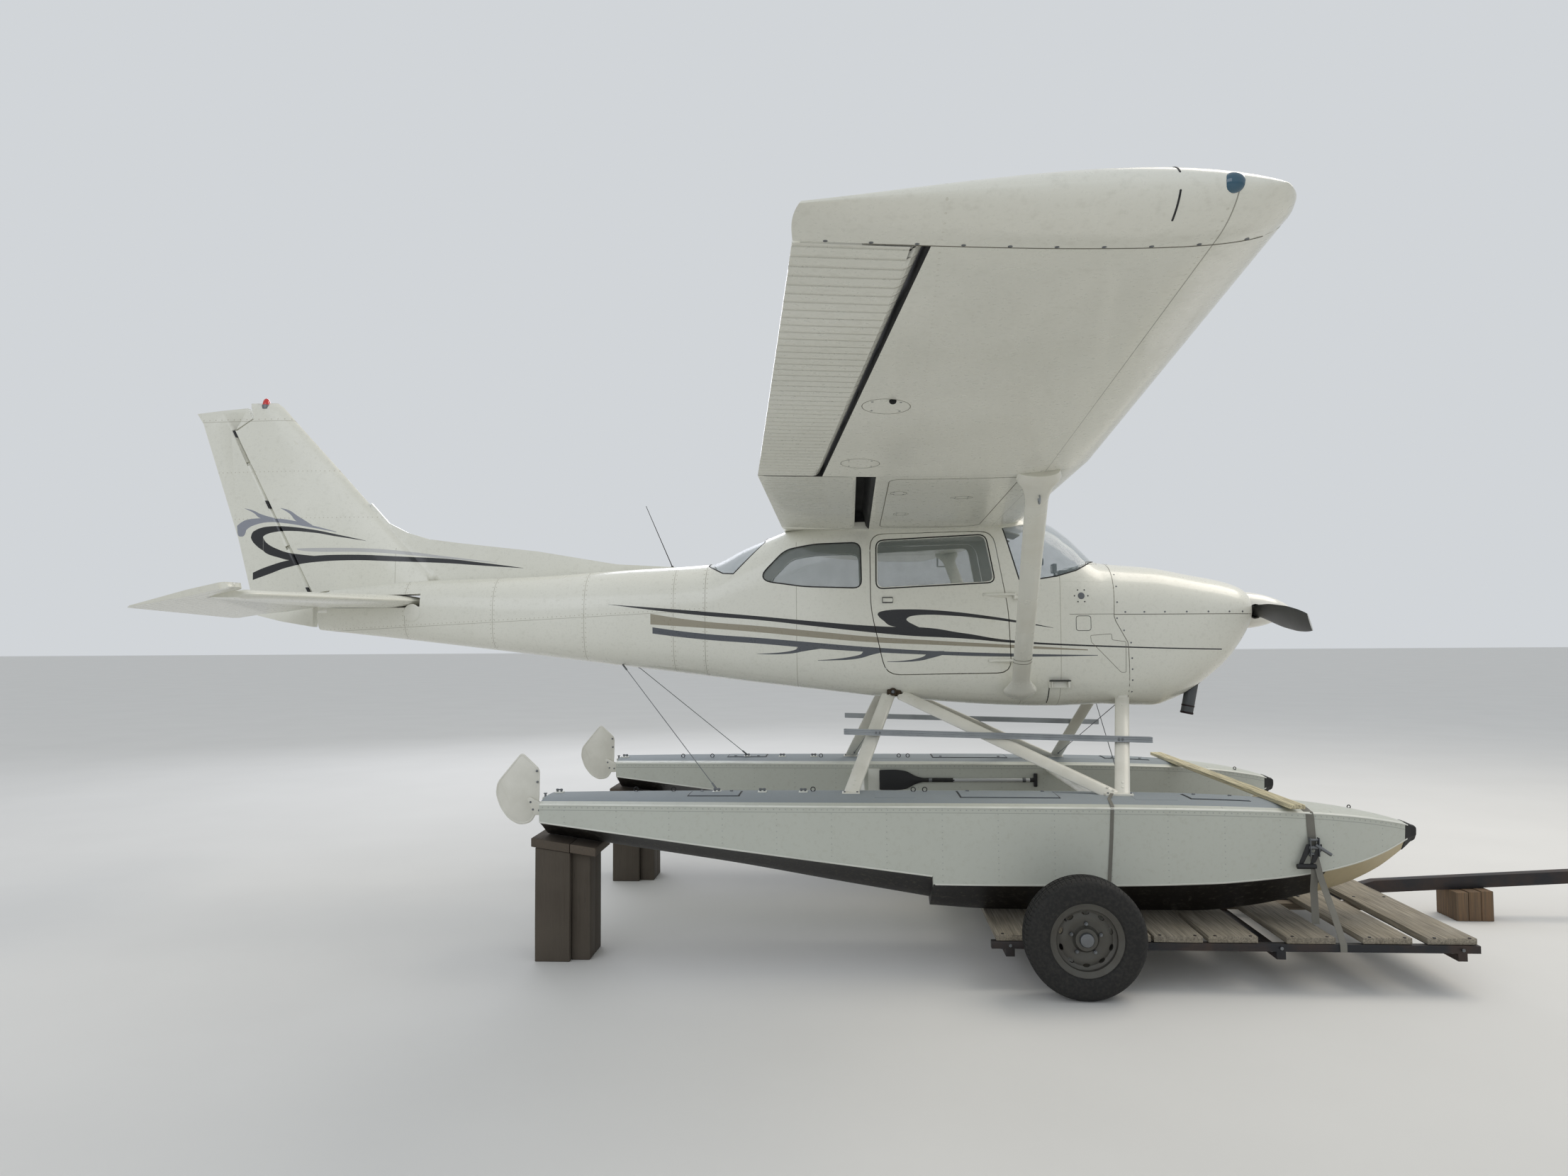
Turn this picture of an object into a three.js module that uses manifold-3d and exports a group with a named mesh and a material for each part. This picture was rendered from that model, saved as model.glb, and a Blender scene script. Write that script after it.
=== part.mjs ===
// A four-seat high-wing light aircraft on twin floats, standing on the plank dolly it is moved ashore with.
// Millimetres. X points to the nose, Y to port, Z up, and the floor is Z = 0.
import * as THREE from 'three';
import { mergeVertices } from 'three/addons/utils/BufferGeometryUtils.js';
import Module from 'manifold-3d';

const wasm = await Module();
wasm.setup();

// Driving dimensions. Stations along X are counted from the point below the middle of the door.
const tailEndX = -5008;
const hitchEndX = 6100;
const originShiftX = (tailEndX + hitchEndX) / 2;
const contactGap = 0.3;
const movingGap = 6;

const cabin = {
  wall: 45, glassIn: 3, glassThick: 8, sillZ: 2362, roofZ: 2735, rearX: -1010, firewallX: 1780,
  firewallThick: 15,
  seamGap: 0.6,
};
const door = {
  gap: movingGap, hingeX: 1130, hingeY: 556, hingeR: 10, hingeZ: [1820, 2270], knuckle: 26, armHeight: 18,
  armThick: 18,
};
const wing = {
  rootY: 549, rootZ: 2756, dihedral: THREE.MathUtils.degToRad(1.73), breakSpan: 1993, ribSpan: 4752,
  tipSpan: 4940,
  camber: 0.02, flapInner: 40, flapOuter: 1975, aileronInner: 2006, aileronOuter: 4738, lipLowX: 145,
  lipTopX: -20,
  flapNoseX: 45, pinR: 6,
};
const tail = {
  stabZ: 2285, stabHalfSpan: 1540, spanHalf: 1725, hingeX: -3960, droop: THREE.MathUtils.degToRad(12),
  gap: 9,
  hingeSlope: -0.4976, hingeFootX: -4100, hingeFootZ: 2354, hingeZ: [2700, 3350], pinR: 7, lugHigh: 9,
  lugR: 15,
  notchHigh: 15, notchR: 22, tubeR: 17, bearingY: [77, 93],
};
const float = { y: 1093, stepX: 487, keelZ: 300.4 };
const dolly = {
  plankHalf: 1676, plankTop: 300, plankThick: 38, railY: 1650, railHigh: 42, railWide: 42, wheelX: 1283,
  wheelY: 1822,
  tyreR: 332, axleR: 23.1, axleZ: 332,
};

// Shapes turned to closed solids and back.
function toSolid(geometry) {
  const bare = geometry.clone();
  for (const name of Object.keys(bare.attributes)) {
    if (name !== 'position') bare.deleteAttribute(name);
  }
  const merged = mergeVertices(bare, 1e-3);
  const triangles = [];
  const index = merged.index.array;
  for (let i = 0; i < index.length; i += 3) {
    const [a, b, c] = [index[i], index[i + 1], index[i + 2]];
    if (a !== b && b !== c && a !== c) triangles.push(a, b, c);
  }
  const mesh = new wasm.Mesh({
    numProp: 3,
    vertProperties: Float32Array.from(merged.attributes.position.array),
    triVerts: Uint32Array.from(triangles),
  });
  return new wasm.Manifold(mesh);
}

function toGeometry(solid) {
  const mesh = solid.getMesh();
  const geometry = new THREE.BufferGeometry();
  geometry.setAttribute('position', new THREE.BufferAttribute(mesh.vertProperties, 3));
  geometry.setIndex(new THREE.BufferAttribute(mesh.triVerts, 1));
  return geometry;
}

// The starboard copy of a port solid: Y turned round, with the triangles' order turned back.
function mirrored(solid) {
  const mesh = solid.getMesh();
  const vertices = Float32Array.from(mesh.vertProperties);
  for (let i = 1; i < vertices.length; i += 3) vertices[i] = -vertices[i];
  const triangles = Uint32Array.from(mesh.triVerts);
  for (let i = 0; i < triangles.length; i += 3) {
    [triangles[i + 1], triangles[i + 2]] = [triangles[i + 2], triangles[i + 1]];
  }
  return new wasm.Manifold(new wasm.Mesh({ numProp: 3, vertProperties: vertices, triVerts: triangles }));
}

function join(...solids) {
  return solids.reduce((all, next) => all.add(next));
}

// A side-view outline [x, z] given depth along Y, with optional round corners.
function outlineShape(points, radius = 0) {
  const shape = new THREE.Shape();
  const corners = points.map(([a, b]) => new THREE.Vector2(a, b));
  if (radius === 0) return shape.setFromPoints(corners);
  corners.forEach((corner, i) => {
    const before = corners[(i + corners.length - 1) % corners.length];
    const after = corners[(i + 1) % corners.length];
    const reach = Math.min(radius, corner.distanceTo(before) / 2.2, corner.distanceTo(after) / 2.2);
    const start = corner.clone().lerp(before, reach / corner.distanceTo(before));
    const end = corner.clone().lerp(after, reach / corner.distanceTo(after));
    if (i === 0) shape.moveTo(start.x, start.y);
    else shape.lineTo(start.x, start.y);
    shape.quadraticCurveTo(corner.x, corner.y, end.x, end.y);
  });
  shape.closePath();
  return shape;
}

function sidePrism(points, y0, y1, radius = 0) {
  const geometry = new THREE.ExtrudeGeometry(outlineShape(points, radius), {
    depth: y1 - y0, bevelEnabled: false, curveSegments: 4,
  });
  geometry.rotateX(Math.PI / 2).translate(0, y1, 0);
  return toSolid(geometry);
}

function planPrism(points, z0, z1, radius = 0) {
  const geometry = new THREE.ExtrudeGeometry(outlineShape(points, radius), {
    depth: z1 - z0, bevelEnabled: false, curveSegments: 4,
  });
  return toSolid(geometry.translate(0, 0, z0));
}

function box(x0, x1, y0, y1, z0, z1) {
  const geometry = new THREE.BoxGeometry(x1 - x0, y1 - y0, z1 - z0);
  return toSolid(geometry.translate((x0 + x1) / 2, (y0 + y1) / 2, (z0 + z1) / 2));
}

// An outline moved inward by a distance, corner by corner.
function insetOutline(points, distance) {
  const area = points.reduce((sum, [x, z], i) => {
    const [nx, nz] = points[(i + 1) % points.length];
    return sum + x * nz - nx * z;
  }, 0);
  const turn = Math.sign(area);
  return points.map((point, i) => {
    const before = points[(i + points.length - 1) % points.length];
    const after = points[(i + 1) % points.length];
    const first = new THREE.Vector2(point[0] - before[0], point[1] - before[1]).normalize();
    const second = new THREE.Vector2(after[0] - point[0], after[1] - point[1]).normalize();
    const normalA = new THREE.Vector2(-first.y, first.x).multiplyScalar(turn);
    const normalB = new THREE.Vector2(-second.y, second.x).multiplyScalar(turn);
    const along = normalA.add(normalB);
    const reach = distance / (along.lengthSq() / 2);
    return [point[0] + along.x * reach, point[1] + along.y * reach];
  });
}

// Closed rings of equal count joined to one closed skin with flat ends.
function loft(rings) {
  const count = rings[0].length;
  const positions = rings.flat(2);
  const triangles = [];
  for (let i = 0; i < rings.length - 1; i += 1) {
    for (let j = 0; j < count; j += 1) {
      const k = (j + 1) % count;
      const [a, b, c, d] = [i * count + j, i * count + k, (i + 1) * count + k, (i + 1) * count + j];
      const portSide = rings[i][j][1] + rings[i][k][1] >= 0;
      triangles.push(...(portSide ? [a, b, c, a, c, d] : [b, c, d, b, d, a]));
    }
  }
  const flat = (ring) => {
    const spans = [0, 1, 2].map((axis) => {
      const values = ring.map((point) => point[axis]);
      return Math.max(...values) - Math.min(...values);
    });
    const dropped = spans.indexOf(Math.min(...spans));
    return ring.map((point) => new THREE.Vector2(...point.filter((_, axis) => axis !== dropped)));
  };
  const cap = (ring, base, reverse) => {
    const contour = flat(ring);
    const way = Math.sign(THREE.ShapeUtils.area(contour));
    for (const [a, b, c] of THREE.ShapeUtils.triangulateShape(contour, [])) {
      const own = Math.sign(THREE.ShapeUtils.area([contour[a], contour[b], contour[c]]));
      const ordered = own === way ? [a, b, c] : [a, c, b];
      if (reverse) ordered.reverse();
      triangles.push(...ordered.map((corner) => corner + base));
    }
  };
  cap(rings[0], 0, true);
  cap(rings[rings.length - 1], (rings.length - 1) * count, false);
  const corner = (index) => new THREE.Vector3().fromArray(positions, index * 3);
  let volume = 0;
  for (let i = 0; i < triangles.length; i += 3) {
    const [a, b, c] = [corner(triangles[i]), corner(triangles[i + 1]), corner(triangles[i + 2])];
    volume += a.dot(b.cross(c));
  }
  if (volume < 0) {
    for (let i = 0; i < triangles.length; i += 3) {
      [triangles[i + 1], triangles[i + 2]] = [triangles[i + 2], triangles[i + 1]];
    }
  }
  const geometry = new THREE.BufferGeometry();
  geometry.setAttribute('position', new THREE.Float32BufferAttribute(positions, 3));
  geometry.setIndex(triangles);
  return toSolid(geometry);
}

// A round bar from one point to another.
function bar(from, to, radius, sides = 12, endRadius = radius) {
  const start = new THREE.Vector3(...from);
  const end = new THREE.Vector3(...to);
  const geometry = new THREE.CylinderGeometry(endRadius, radius, start.distanceTo(end), sides);
  const turn = new THREE.Quaternion().setFromUnitVectors(
    new THREE.Vector3(0, 1, 0), end.clone().sub(start).normalize());
  geometry.applyQuaternion(turn).translate(...start.clone().add(end).multiplyScalar(0.5).toArray());
  return toSolid(geometry);
}

// A faired strut: an oval section, long side near X, swept from one point to another.
function fairedStrut(from, to, chord, thick, extra = []) {
  const start = new THREE.Vector3(...from);
  const end = new THREE.Vector3(...to);
  const along = end.clone().sub(start).normalize();
  const side = new THREE.Vector3(1, 0, 0).cross(along).normalize();
  const front = along.clone().cross(side).normalize();
  const places = [[0, 1], ...extra, [1, 1]];
  const rings = places.map(([place, scale]) => {
    const centre = start.clone().lerp(end, place);
    return Array.from({ length: 12 }, (_, k) => {
      const angle = (k / 12) * Math.PI * 2;
      const reach = Math.cos(angle) * (chord / 2) * scale;
      const depth = Math.sin(angle) * (thick / 2) * (1 - 0.22 * Math.cos(angle)) * scale;
      return centre.clone().addScaledVector(front, -reach).addScaledVector(side, depth).toArray();
    });
  });
  return loft(rings);
}

// Fuselage skin: superellipse sections that share one widest line.
const bodyColumns = ['x', 'half', 'low', 'wide', 'high', 'lowPower', 'highPower'];
const bodyTable = [
  [2812, 262, 2060, 2166, 2300, 2.1, 2.1],
  [2784, 326, 1998, 2160, 2328, 2.2, 2.2],
  [2725, 378, 1893, 2152, 2356, 2.3, 2.3],
  [2640, 416, 1787, 2142, 2382, 2.5, 2.4],
  [2540, 440, 1700, 2134, 2404, 2.7, 2.5],
  [2400, 462, 1601, 2127, 2430, 3.0, 2.6],
  [2260, 476, 1534, 2122, 2460, 3.3, 2.65],
  [2134, 488, 1499, 2120, 2482, 3.6, 2.7],
  [1860, 507, 1508, 2120, 2507, 4.6, 2.7],
  [1754, 514, 1514, 2140, 2524, 4.9, 2.5],
  [1660, 520, 1510, 2170, 2622, 5.0, 2.2],
  [1560, 526, 1507, 2210, 2722, 5.0, 2.2],
  [1439, 533, 1502, 2235, 2806, 5.0, 2.4],
  [1300, 538, 1502, 2255, 2852, 5.0, 2.9],
  [1130, 542, 1507, 2270, 2885, 5.0, 3.8],
  [900, 545, 1518, 2285, 2925, 5.0, 5.0],
  [500, 545, 1548, 2300, 2935, 5.0, 6.0],
  [100, 536, 1584, 2310, 2905, 5.0, 6.0],
  [-250, 508, 1624, 2310, 2835, 4.8, 5.0],
  [-495, 480, 1652, 2290, 2745, 4.5, 3.8],
  [-750, 450, 1682, 2250, 2648, 4.2, 3.1],
  [-1007, 420, 1716, 2200, 2538, 4.0, 2.7],
  [-1700, 346, 1800, 2170, 2502, 3.5, 2.5],
  [-2300, 270, 1876, 2165, 2466, 3.1, 2.4],
  [-3300, 160, 1997, 2235, 2440, 2.7, 2.2],
  [-4000, 78, 2076, 2235, 2386, 2.5, 2.2],
].map((row) => Object.fromEntries(row.map((value, i) => [bodyColumns[i], value])));

function bodyRing(station, inset) {
  const sides = 24;
  return Array.from({ length: sides }, (_, k) => {
    const angle = ((k + 0.5) / sides) * Math.PI * 2;
    const [c, s] = [Math.cos(angle), Math.sin(angle)];
    const power = s >= 0 ? station.highPower : station.lowPower;
    const height = s >= 0 ? station.high - station.wide : station.wide - station.low;
    const y = (station.half - inset) * Math.sign(c) * Math.abs(c) ** (2 / power);
    const z = station.wide + (height - inset) * Math.sign(s) * Math.abs(s) ** (2 / power);
    return [station.x, y, z];
  });
}

const bodyLoft = (inset) => loft(bodyTable.map((station) => bodyRing(station, inset)));
const skin = bodyLoft(0);
const skinOutside = bodyLoft(-0.5);
const liner = bodyLoft(cabin.wall);
const shell = skin.subtract(liner);
const glassShell = bodyLoft(cabin.glassIn).subtract(bodyLoft(cabin.glassIn + cabin.glassThick));
const wide = 1200;

// Side-view outlines of the panels, [x, z].
const windshieldOutline = [
  [1062, cabin.roofZ], [1164, 2381], [1303, 2384], [1420, 2402], [1560, 2442], [1673, 2500], [1762, 2526],
  [1800, 2560], [1500, 2860], [1438, 2812], [1300, 2777],
];
const rearWindowOutline = [[-585, 2765], [-592, 2672], [-808, 2447], [-885, 2452], [-1004, 2512],
  [-1004, 2765]];
const sideWindowOutline = [[92, 2332], [86, 2648], [-230, 2643], [-440, 2608], [-604, 2440], [-580, 2388],
  [-300, 2347]];
const doorOutline = [
  [250, 1735], [1108, 1742], [1092, 2176], [1046, 2420], [992, 2718], [148, 2702], [150, 2190],
];
const doorWindowOutline = [[200, 2333], [993, 2370], [933, 2684], [202, 2650]];
const roofEdge = [[-300, cabin.roofZ], [-585, 2640]];
const floorLine = [[1800, 1590], [900, 1600], [0, 1645], [-500, 1715], [cabin.rearX + contactGap, 1785]];
const cowlSeam = [[1820, 2650], [1803, 2112], [1895, 1945], [1912, 1400]];

// Cowling in two halves with an air inlet each side of the spinner, an open rear and the exhaust's way out.
const cowlWall = 22;
const noseWall = 30;
const cowlSplitZ = 2138;
const exhaust = { top: [2437, -200, 1800], end: [2366, -200, 1445], radius: 43 };
const shaftRadius = 55;
// Propeller shaft, with the starboard blade a little below level.
const shaft = { z: 2171, backX: 2825, tipX: 3175, spinnerR: 131, bladeX: 2889, bladeR: 1016,
  hubX: 2937, hubR: 60, dip: 0.1 };

function cowlSolid() {
  const region = sidePrism([...cowlSeam, [3000, 1400], [3000, 2650]], -wide, wide);
  const hollow = bodyLoft(cowlWall).intersect(box(1700, bodyTable[0].x - noseWall, -wide, wide, 1400,
    2700));
  const inlets = [-1, 1].map((side) => {
    const shape = new THREE.CylinderGeometry(1, 1, 200, 20).rotateZ(Math.PI / 2).scale(1, 84, 60);
    return toSolid(shape.translate(2808, side * 163, shaft.z));
  });
  const shaftHole = bar([2730, 0, shaft.z], [2880, 0, shaft.z], shaftRadius + 12, 20);
  const pipeHole = bar(exhaust.top, exhaust.end, exhaust.radius + 14, 14);
  return inlets.reduce((cowl, inlet) => cowl.subtract(inlet), skin.intersect(region).subtract(hollow))
    .subtract(shaftHole).subtract(pipeHole);
}

const cowl = cowlSolid();
const cowlUpper = cowl.intersect(box(1700, 3000, -wide, wide, cowlSplitZ + contactGap, 2700));
const cowlLower = cowl.intersect(box(1700, 3000, -wide, wide, 1400, cowlSplitZ - contactGap));

// Firewall with the fixed deck between it and the windshield.
const aftOfSeam = cowlSeam.map(([x, z]) => [x - cabin.seamGap, z]);
const floorEdgeZ = 1590;

// The panel edge just aft of the cowling at a height.
function seamAt(z) {
  const above = aftOfSeam.findIndex(([, height]) => height <= z);
  const [[x0, z0], [x1, z1]] = [aftOfSeam[above - 1], aftOfSeam[above]];
  return x0 + ((z - z0) / (z1 - z0)) * (x1 - x0);
}

const windshieldHole = sidePrism(windshieldOutline, -wide, wide);
const postFootX = 1172;
const deckOutline = [
  [postFootX + contactGap, cabin.sillZ], [seamAt(cabin.sillZ), cabin.sillZ], aftOfSeam[0], [1500, 2650],
  [postFootX + contactGap, 2400],
];

function firewallSolid() {
  const plate = bodyLoft(cabin.wall + contactGap)
    .intersect(box(cabin.firewallX, cabin.firewallX + cabin.firewallThick, -wide, wide, 1600,
      cabin.sillZ + 5));
  const deck = shell.intersect(sidePrism(deckOutline, -wide, wide)).subtract(windshieldHole);
  const flange = bodyLoft(cabin.wall - 1)
    .intersect(box(cabin.firewallX, cabin.firewallX + cabin.firewallThick, -wide, wide, cabin.sillZ + 1,
      2600));
  return join(plate, deck, flange);
}

const firewall = firewallSolid();

// Cabin floor and belly, sides with their openings, and the roof that carries the wings.
const belowFloor = [
  ...floorLine, [cabin.rearX + contactGap, 1400], aftOfSeam[3], [seamAt(floorEdgeZ), floorEdgeZ],
];
const cabinFloor = skin.intersect(sidePrism(belowFloor, -wide, wide));
const rearHole = sidePrism(rearWindowOutline, -wide, wide);

function cabinSide() {
  const above = floorLine.map(([x, z]) => [x, z + contactGap]).reverse();
  const outline = [
    ...above, [seamAt(floorEdgeZ + contactGap), floorEdgeZ + contactGap], aftOfSeam[2], aftOfSeam[1],
    [seamAt(cabin.sillZ), cabin.sillZ - contactGap], [postFootX, cabin.sillZ - contactGap],
    [1060, cabin.roofZ - contactGap], [roofEdge[0][0], cabin.roofZ - contactGap],
    [roofEdge[1][0] - contactGap, roofEdge[1][1] - 2 * contactGap], [roofEdge[1][0] - contactGap, 2800],
    [cabin.rearX + contactGap, 2800],
  ];
  const half = shell.intersect(sidePrism(outline, contactGap, wide));
  const opened = half
    .subtract(sidePrism(doorOutline, 300, wide, 95))
    .subtract(sidePrism(sideWindowOutline, 200, wide, 60))
    .subtract(rearHole)
    .subtract(windshieldHole);
  const lugs = door.hingeZ.map((z) => {
    const post = bar([door.hingeX, door.hingeY, z - door.knuckle], [door.hingeX, door.hingeY, z],
      door.hingeR);
    const pad = box(door.hingeX, door.hingeX + 34, door.hingeY - 60, door.hingeY + 4, z - door.knuckle, z);
    return post.add(pad.subtract(liner));
  });
  return join(opened, ...lugs);
}

const cabinSideLeft = cabinSide();

function airfoilOffset(place, thickness, upper) {
  const half = 5 * thickness * (0.2969 * Math.sqrt(place) - 0.126 * place - 0.3516 * place ** 2
    + 0.2843 * place ** 3 - 0.1021 * place ** 4);
  const crest = 0.4;
  const camber = place < crest
    ? (wing.camber / crest ** 2) * (2 * crest * place - place ** 2)
    : (wing.camber / (1 - crest) ** 2) * (1 - 2 * crest + 2 * crest * place - place ** 2);
  return camber + (upper ? half : -half);
}

// One wing section in wing coordinates: leading edge [x, h], trailing edge [x, h].
function wingRing(span, leadX, leadH, trailX, trailH, thickness) {
  const chord = leadX - trailX;
  const steps = 13;
  const places = Array.from({ length: steps }, (_, k) => 0.5 - 0.5 * Math.cos((k / (steps - 1)) * Math.PI));
  const point = (place, upper) => {
    const blunt = 2.5 * place * (upper ? 1 : -1);
    const height = leadH + (trailH - leadH) * place + airfoilOffset(place, thickness,
      upper) * chord + blunt;
    return [leadX - chord * place, span, height];
  };
  const top = places.map((place) => point(place, true));
  const bottom = places.slice(1).reverse().map((place) => point(place, false));
  return [...top, ...bottom];
}

// Wing sections: span, leading edge x and height, trailing edge x and height, thickness over chord.
const wingTable = [
  [0, 1205, 66, -451, 0, 0.12],
  [wing.breakSpan, 1205, 66, -451, 0, 0.12],
  [wing.ribSpan, 1047, 83, -129, 72, 0.128],
];
const tipTable = [
  [wing.ribSpan, 1047, 83, -129, 72, 0.128],
  [wing.ribSpan + 90, 1041, 85, -124, 75, 0.122],
  [wing.ribSpan + 150, 1024, 88, -118, 78, 0.098],
  [wing.tipSpan, 985, 90, -104, 80, 0.045],
];
const wingLoft = (rows) => loft(rows.map((row) => wingRing(...row)));

function sectionAt(span) {
  const [inner, outer] = span <= wing.breakSpan ? [wingTable[0], wingTable[1]] : [wingTable[1],
    wingTable[2]];
  const share = (span - inner[0]) / (outer[0] - inner[0]);
  return inner.map((value, i) => value + (outer[i] - value) * share);
}

// Height of the wing's upper or lower skin over a station x at a span.
function skinHeight(span, x, upper) {
  const [, leadX, leadH, trailX, trailH, thickness] = sectionAt(span);
  const place = (leadX - x) / (leadX - trailX);
  const blunt = 2.5 * place * (upper ? 1 : -1);
  return leadH + (trailH - leadH) * place + airfoilOffset(place, thickness,
    upper) * (leadX - trailX) + blunt;
}

const aileronHinge = [
  { span: wing.aileronInner - 12, x: -172 },
  { span: wing.aileronOuter + 12, x: 162 },
].map((end) => ({
  ...end,
  h: (skinHeight(end.span, end.x, true) + skinHeight(end.span, end.x, false)) / 2,
  r: (skinHeight(end.span, end.x, true) - skinHeight(end.span, end.x, false)) / 2 - 0.5,
}));
const wingPoint = ({ span, x, h }) => [x, span, h];

// The main wing: both panels and the tip, cut for the flap's cove and the aileron.
function wingSolid() {
  const panel = wingLoft([...wingTable, ...tipTable.slice(1)]);
  const top = (x) => skinHeight(0, x, true);
  const low = (x) => skinHeight(0, x, false);
  const cove = [
    [wing.lipLowX, -200], [wing.lipLowX, low(wing.lipLowX) + 2], [125, low(125) + 22], [100, top(100) - 20],
    [wing.lipTopX, top(wing.lipTopX) - 5], [wing.lipTopX, 250], [-600, 250], [-600, -200],
  ];
  const coveSolid = sidePrism(cove, -10, wing.breakSpan);
  const [inner, outer] = aileronHinge;
  const clear = wing.aileronInner - 12;
  const aileronBay = planPrism([
    [inner.x + inner.r + 8, clear], [outer.x + outer.r + 8, wing.aileronOuter + 12],
    [-600, wing.aileronOuter + 12], [-600, clear],
  ], -200, 400);
  const trackPlates = [[wing.flapInner - 12, wing.flapInner],
    [wing.flapOuter, wing.flapOuter + 12]].map(([from, to]) => {
    const arm = [[wing.lipLowX + 12, 30], [-130, 18], [-130, 48], [60, 95], [wing.lipLowX + 12, 95]];
    const start = from === wing.flapInner - 12 ? from : from + contactGap;
    const end = from === wing.flapInner - 12 ? to - contactGap : to;
    return sidePrism(arm, start, end);
  });
  return join(panel.subtract(coveSolid).subtract(aileronBay), ...trackPlates);
}

const wingPanel = wingSolid();

// A port wing solid put at its place on the fuselage, moved down by a clearance.
function placedOnWing(solid, lift) {
  const geometry = toGeometry(solid).rotateX(wing.dihedral).translate(0, wing.rootY, wing.rootZ + lift);
  return toSolid(geometry);
}

function flapSolid() {
  const top = (x) => skinHeight(0, x, true);
  const low = (x) => skinHeight(0, x, false);
  const outline = [
    [wing.flapNoseX - 20, low(wing.flapNoseX - 20)], [wing.flapNoseX, low(wing.flapNoseX) + 10],
    [wing.flapNoseX + 2, low(wing.flapNoseX) + 32], [30, low(30) + 62], [-5, top(-5) - 16],
    [-30, top(-30) - 12.5],
    [-120, top(-120) - 3], [-300, top(-300)], [-451, 2], [-451, -2], [-300, low(-300)], [-120, low(-120)],
  ];
  return sidePrism(outline, wing.flapInner, wing.flapOuter);
}

function aileronSolid() {
  const [inner, outer] = aileronHinge;
  const behind = planPrism([
    [inner.x, inner.span], [outer.x, outer.span], [-600, outer.span], [-600, inner.span],
  ], -200, 400);
  const ends = planPrism([
    [-600, wing.aileronInner], [600, wing.aileronInner], [600, wing.aileronOuter],
    [-600, wing.aileronOuter],
  ], -200, 400);
  const nose = bar(wingPoint(inner), wingPoint(outer), inner.r, 16, outer.r);
  const onAxis = (span) => {
    const share = (span - inner.span) / (outer.span - inner.span);
    return [inner.x + (outer.x - inner.x) * share, span, inner.h + (outer.h - inner.h) * share];
  };
  const pins = [[inner.span + 1.1, inner.span + 30],
    [outer.span - 30, outer.span - 1.1]].map(([from, to]) => (
    bar(onAxis(from), onAxis(to), wing.pinR)
  ));
  return join(wingLoft(wingTable).intersect(behind).add(nose).intersect(ends), ...pins);
}

// The wing centre section carries the roof between the two panels.
function roofSolid() {
  const [, leadX, leadH, trailX, trailH, thickness] = wingTable[0];
  const ring = (y) => wingRing(y, leadX, leadH + wing.rootZ, trailX, trailH + wing.rootZ, thickness);
  const rootReach = 543;
  const centre = loft([ring(-rootReach), ring(rootReach)]);
  const region = sidePrism([
    [1520, cabin.roofZ], roofEdge[0], [roofEdge[1][0] + contactGap, roofEdge[1][1]],
    [roofEdge[1][0] + contactGap, 3000], [1520, 3000],
  ], -wide, wide);
  return skin.add(centre).intersect(region).subtract(windshieldHole).subtract(rearHole);
}

const cabinRoof = roofSolid();

function glassPane(outline, radius, y0, y1) {
  return glassShell.intersect(sidePrism(insetOutline(outline, 0.4), y0, y1, radius));
}

const windshield = glassPane(windshieldOutline, 0, -wide, wide);
const rearWindow = glassPane(rearWindowOutline, 0, -wide, wide);
const sideWindow = glassPane(sideWindowOutline, 60, 200, wide);
const doorWindow = glassPane(doorWindowOutline, 48, 300, wide);

const doorFrontAt = (z) => {
  const above = doorOutline.findIndex(([, height], i) => i > 1 && height >= z);
  const [low, high] = [doorOutline[above - 1], doorOutline[above]];
  return low[0] + ((z - low[1]) / (high[1] - low[1])) * (high[0] - low[0]);
};

function doorSolid() {
  const leaf = shell.intersect(sidePrism(insetOutline(doorOutline, door.gap), 300, wide, 92))
    .subtract(sidePrism(doorWindowOutline, 200, wide, 48));
  const arms = door.hingeZ.map((z) => {
    const low = z + contactGap;
    const knuckle = bar([door.hingeX, door.hingeY, low], [door.hingeX, door.hingeY, low + door.armHeight],
      door.hingeR);
    const edgeX = doorFrontAt(low + door.armHeight) - door.gap;
    const [innerY, outerY] = [door.hingeY - door.armThick / 2, door.hingeY + door.armThick / 2];
    const arm = planPrism([
      [door.hingeX, innerY], [door.hingeX, outerY], [door.hingeX - 90, outerY],
      [edgeX - 150, door.hingeY - 8],
      [edgeX - 150, door.hingeY - 36], [edgeX - 12, door.hingeY - 36], [edgeX - 12, innerY],
    ], low, low + door.armHeight);
    return knuckle.add(arm);
  });
  const handle = box(236, 300, 528, 566, 2234, 2262);
  return join(leaf, handle, ...arms);
}

const doorLeft = doorSolid();

// Rear fuselage, closed at the baggage bulkhead, cut back for the elevator's torque tube.
const tailEndCut = box(-4100, tail.hingeX + 40, -wide, wide, 2205, 2600);
const tailcone = skin.intersect(box(-4100, cabin.rearX - contactGap, -wide, wide, 1500,
  2700)).subtract(tailEndCut);

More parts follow.
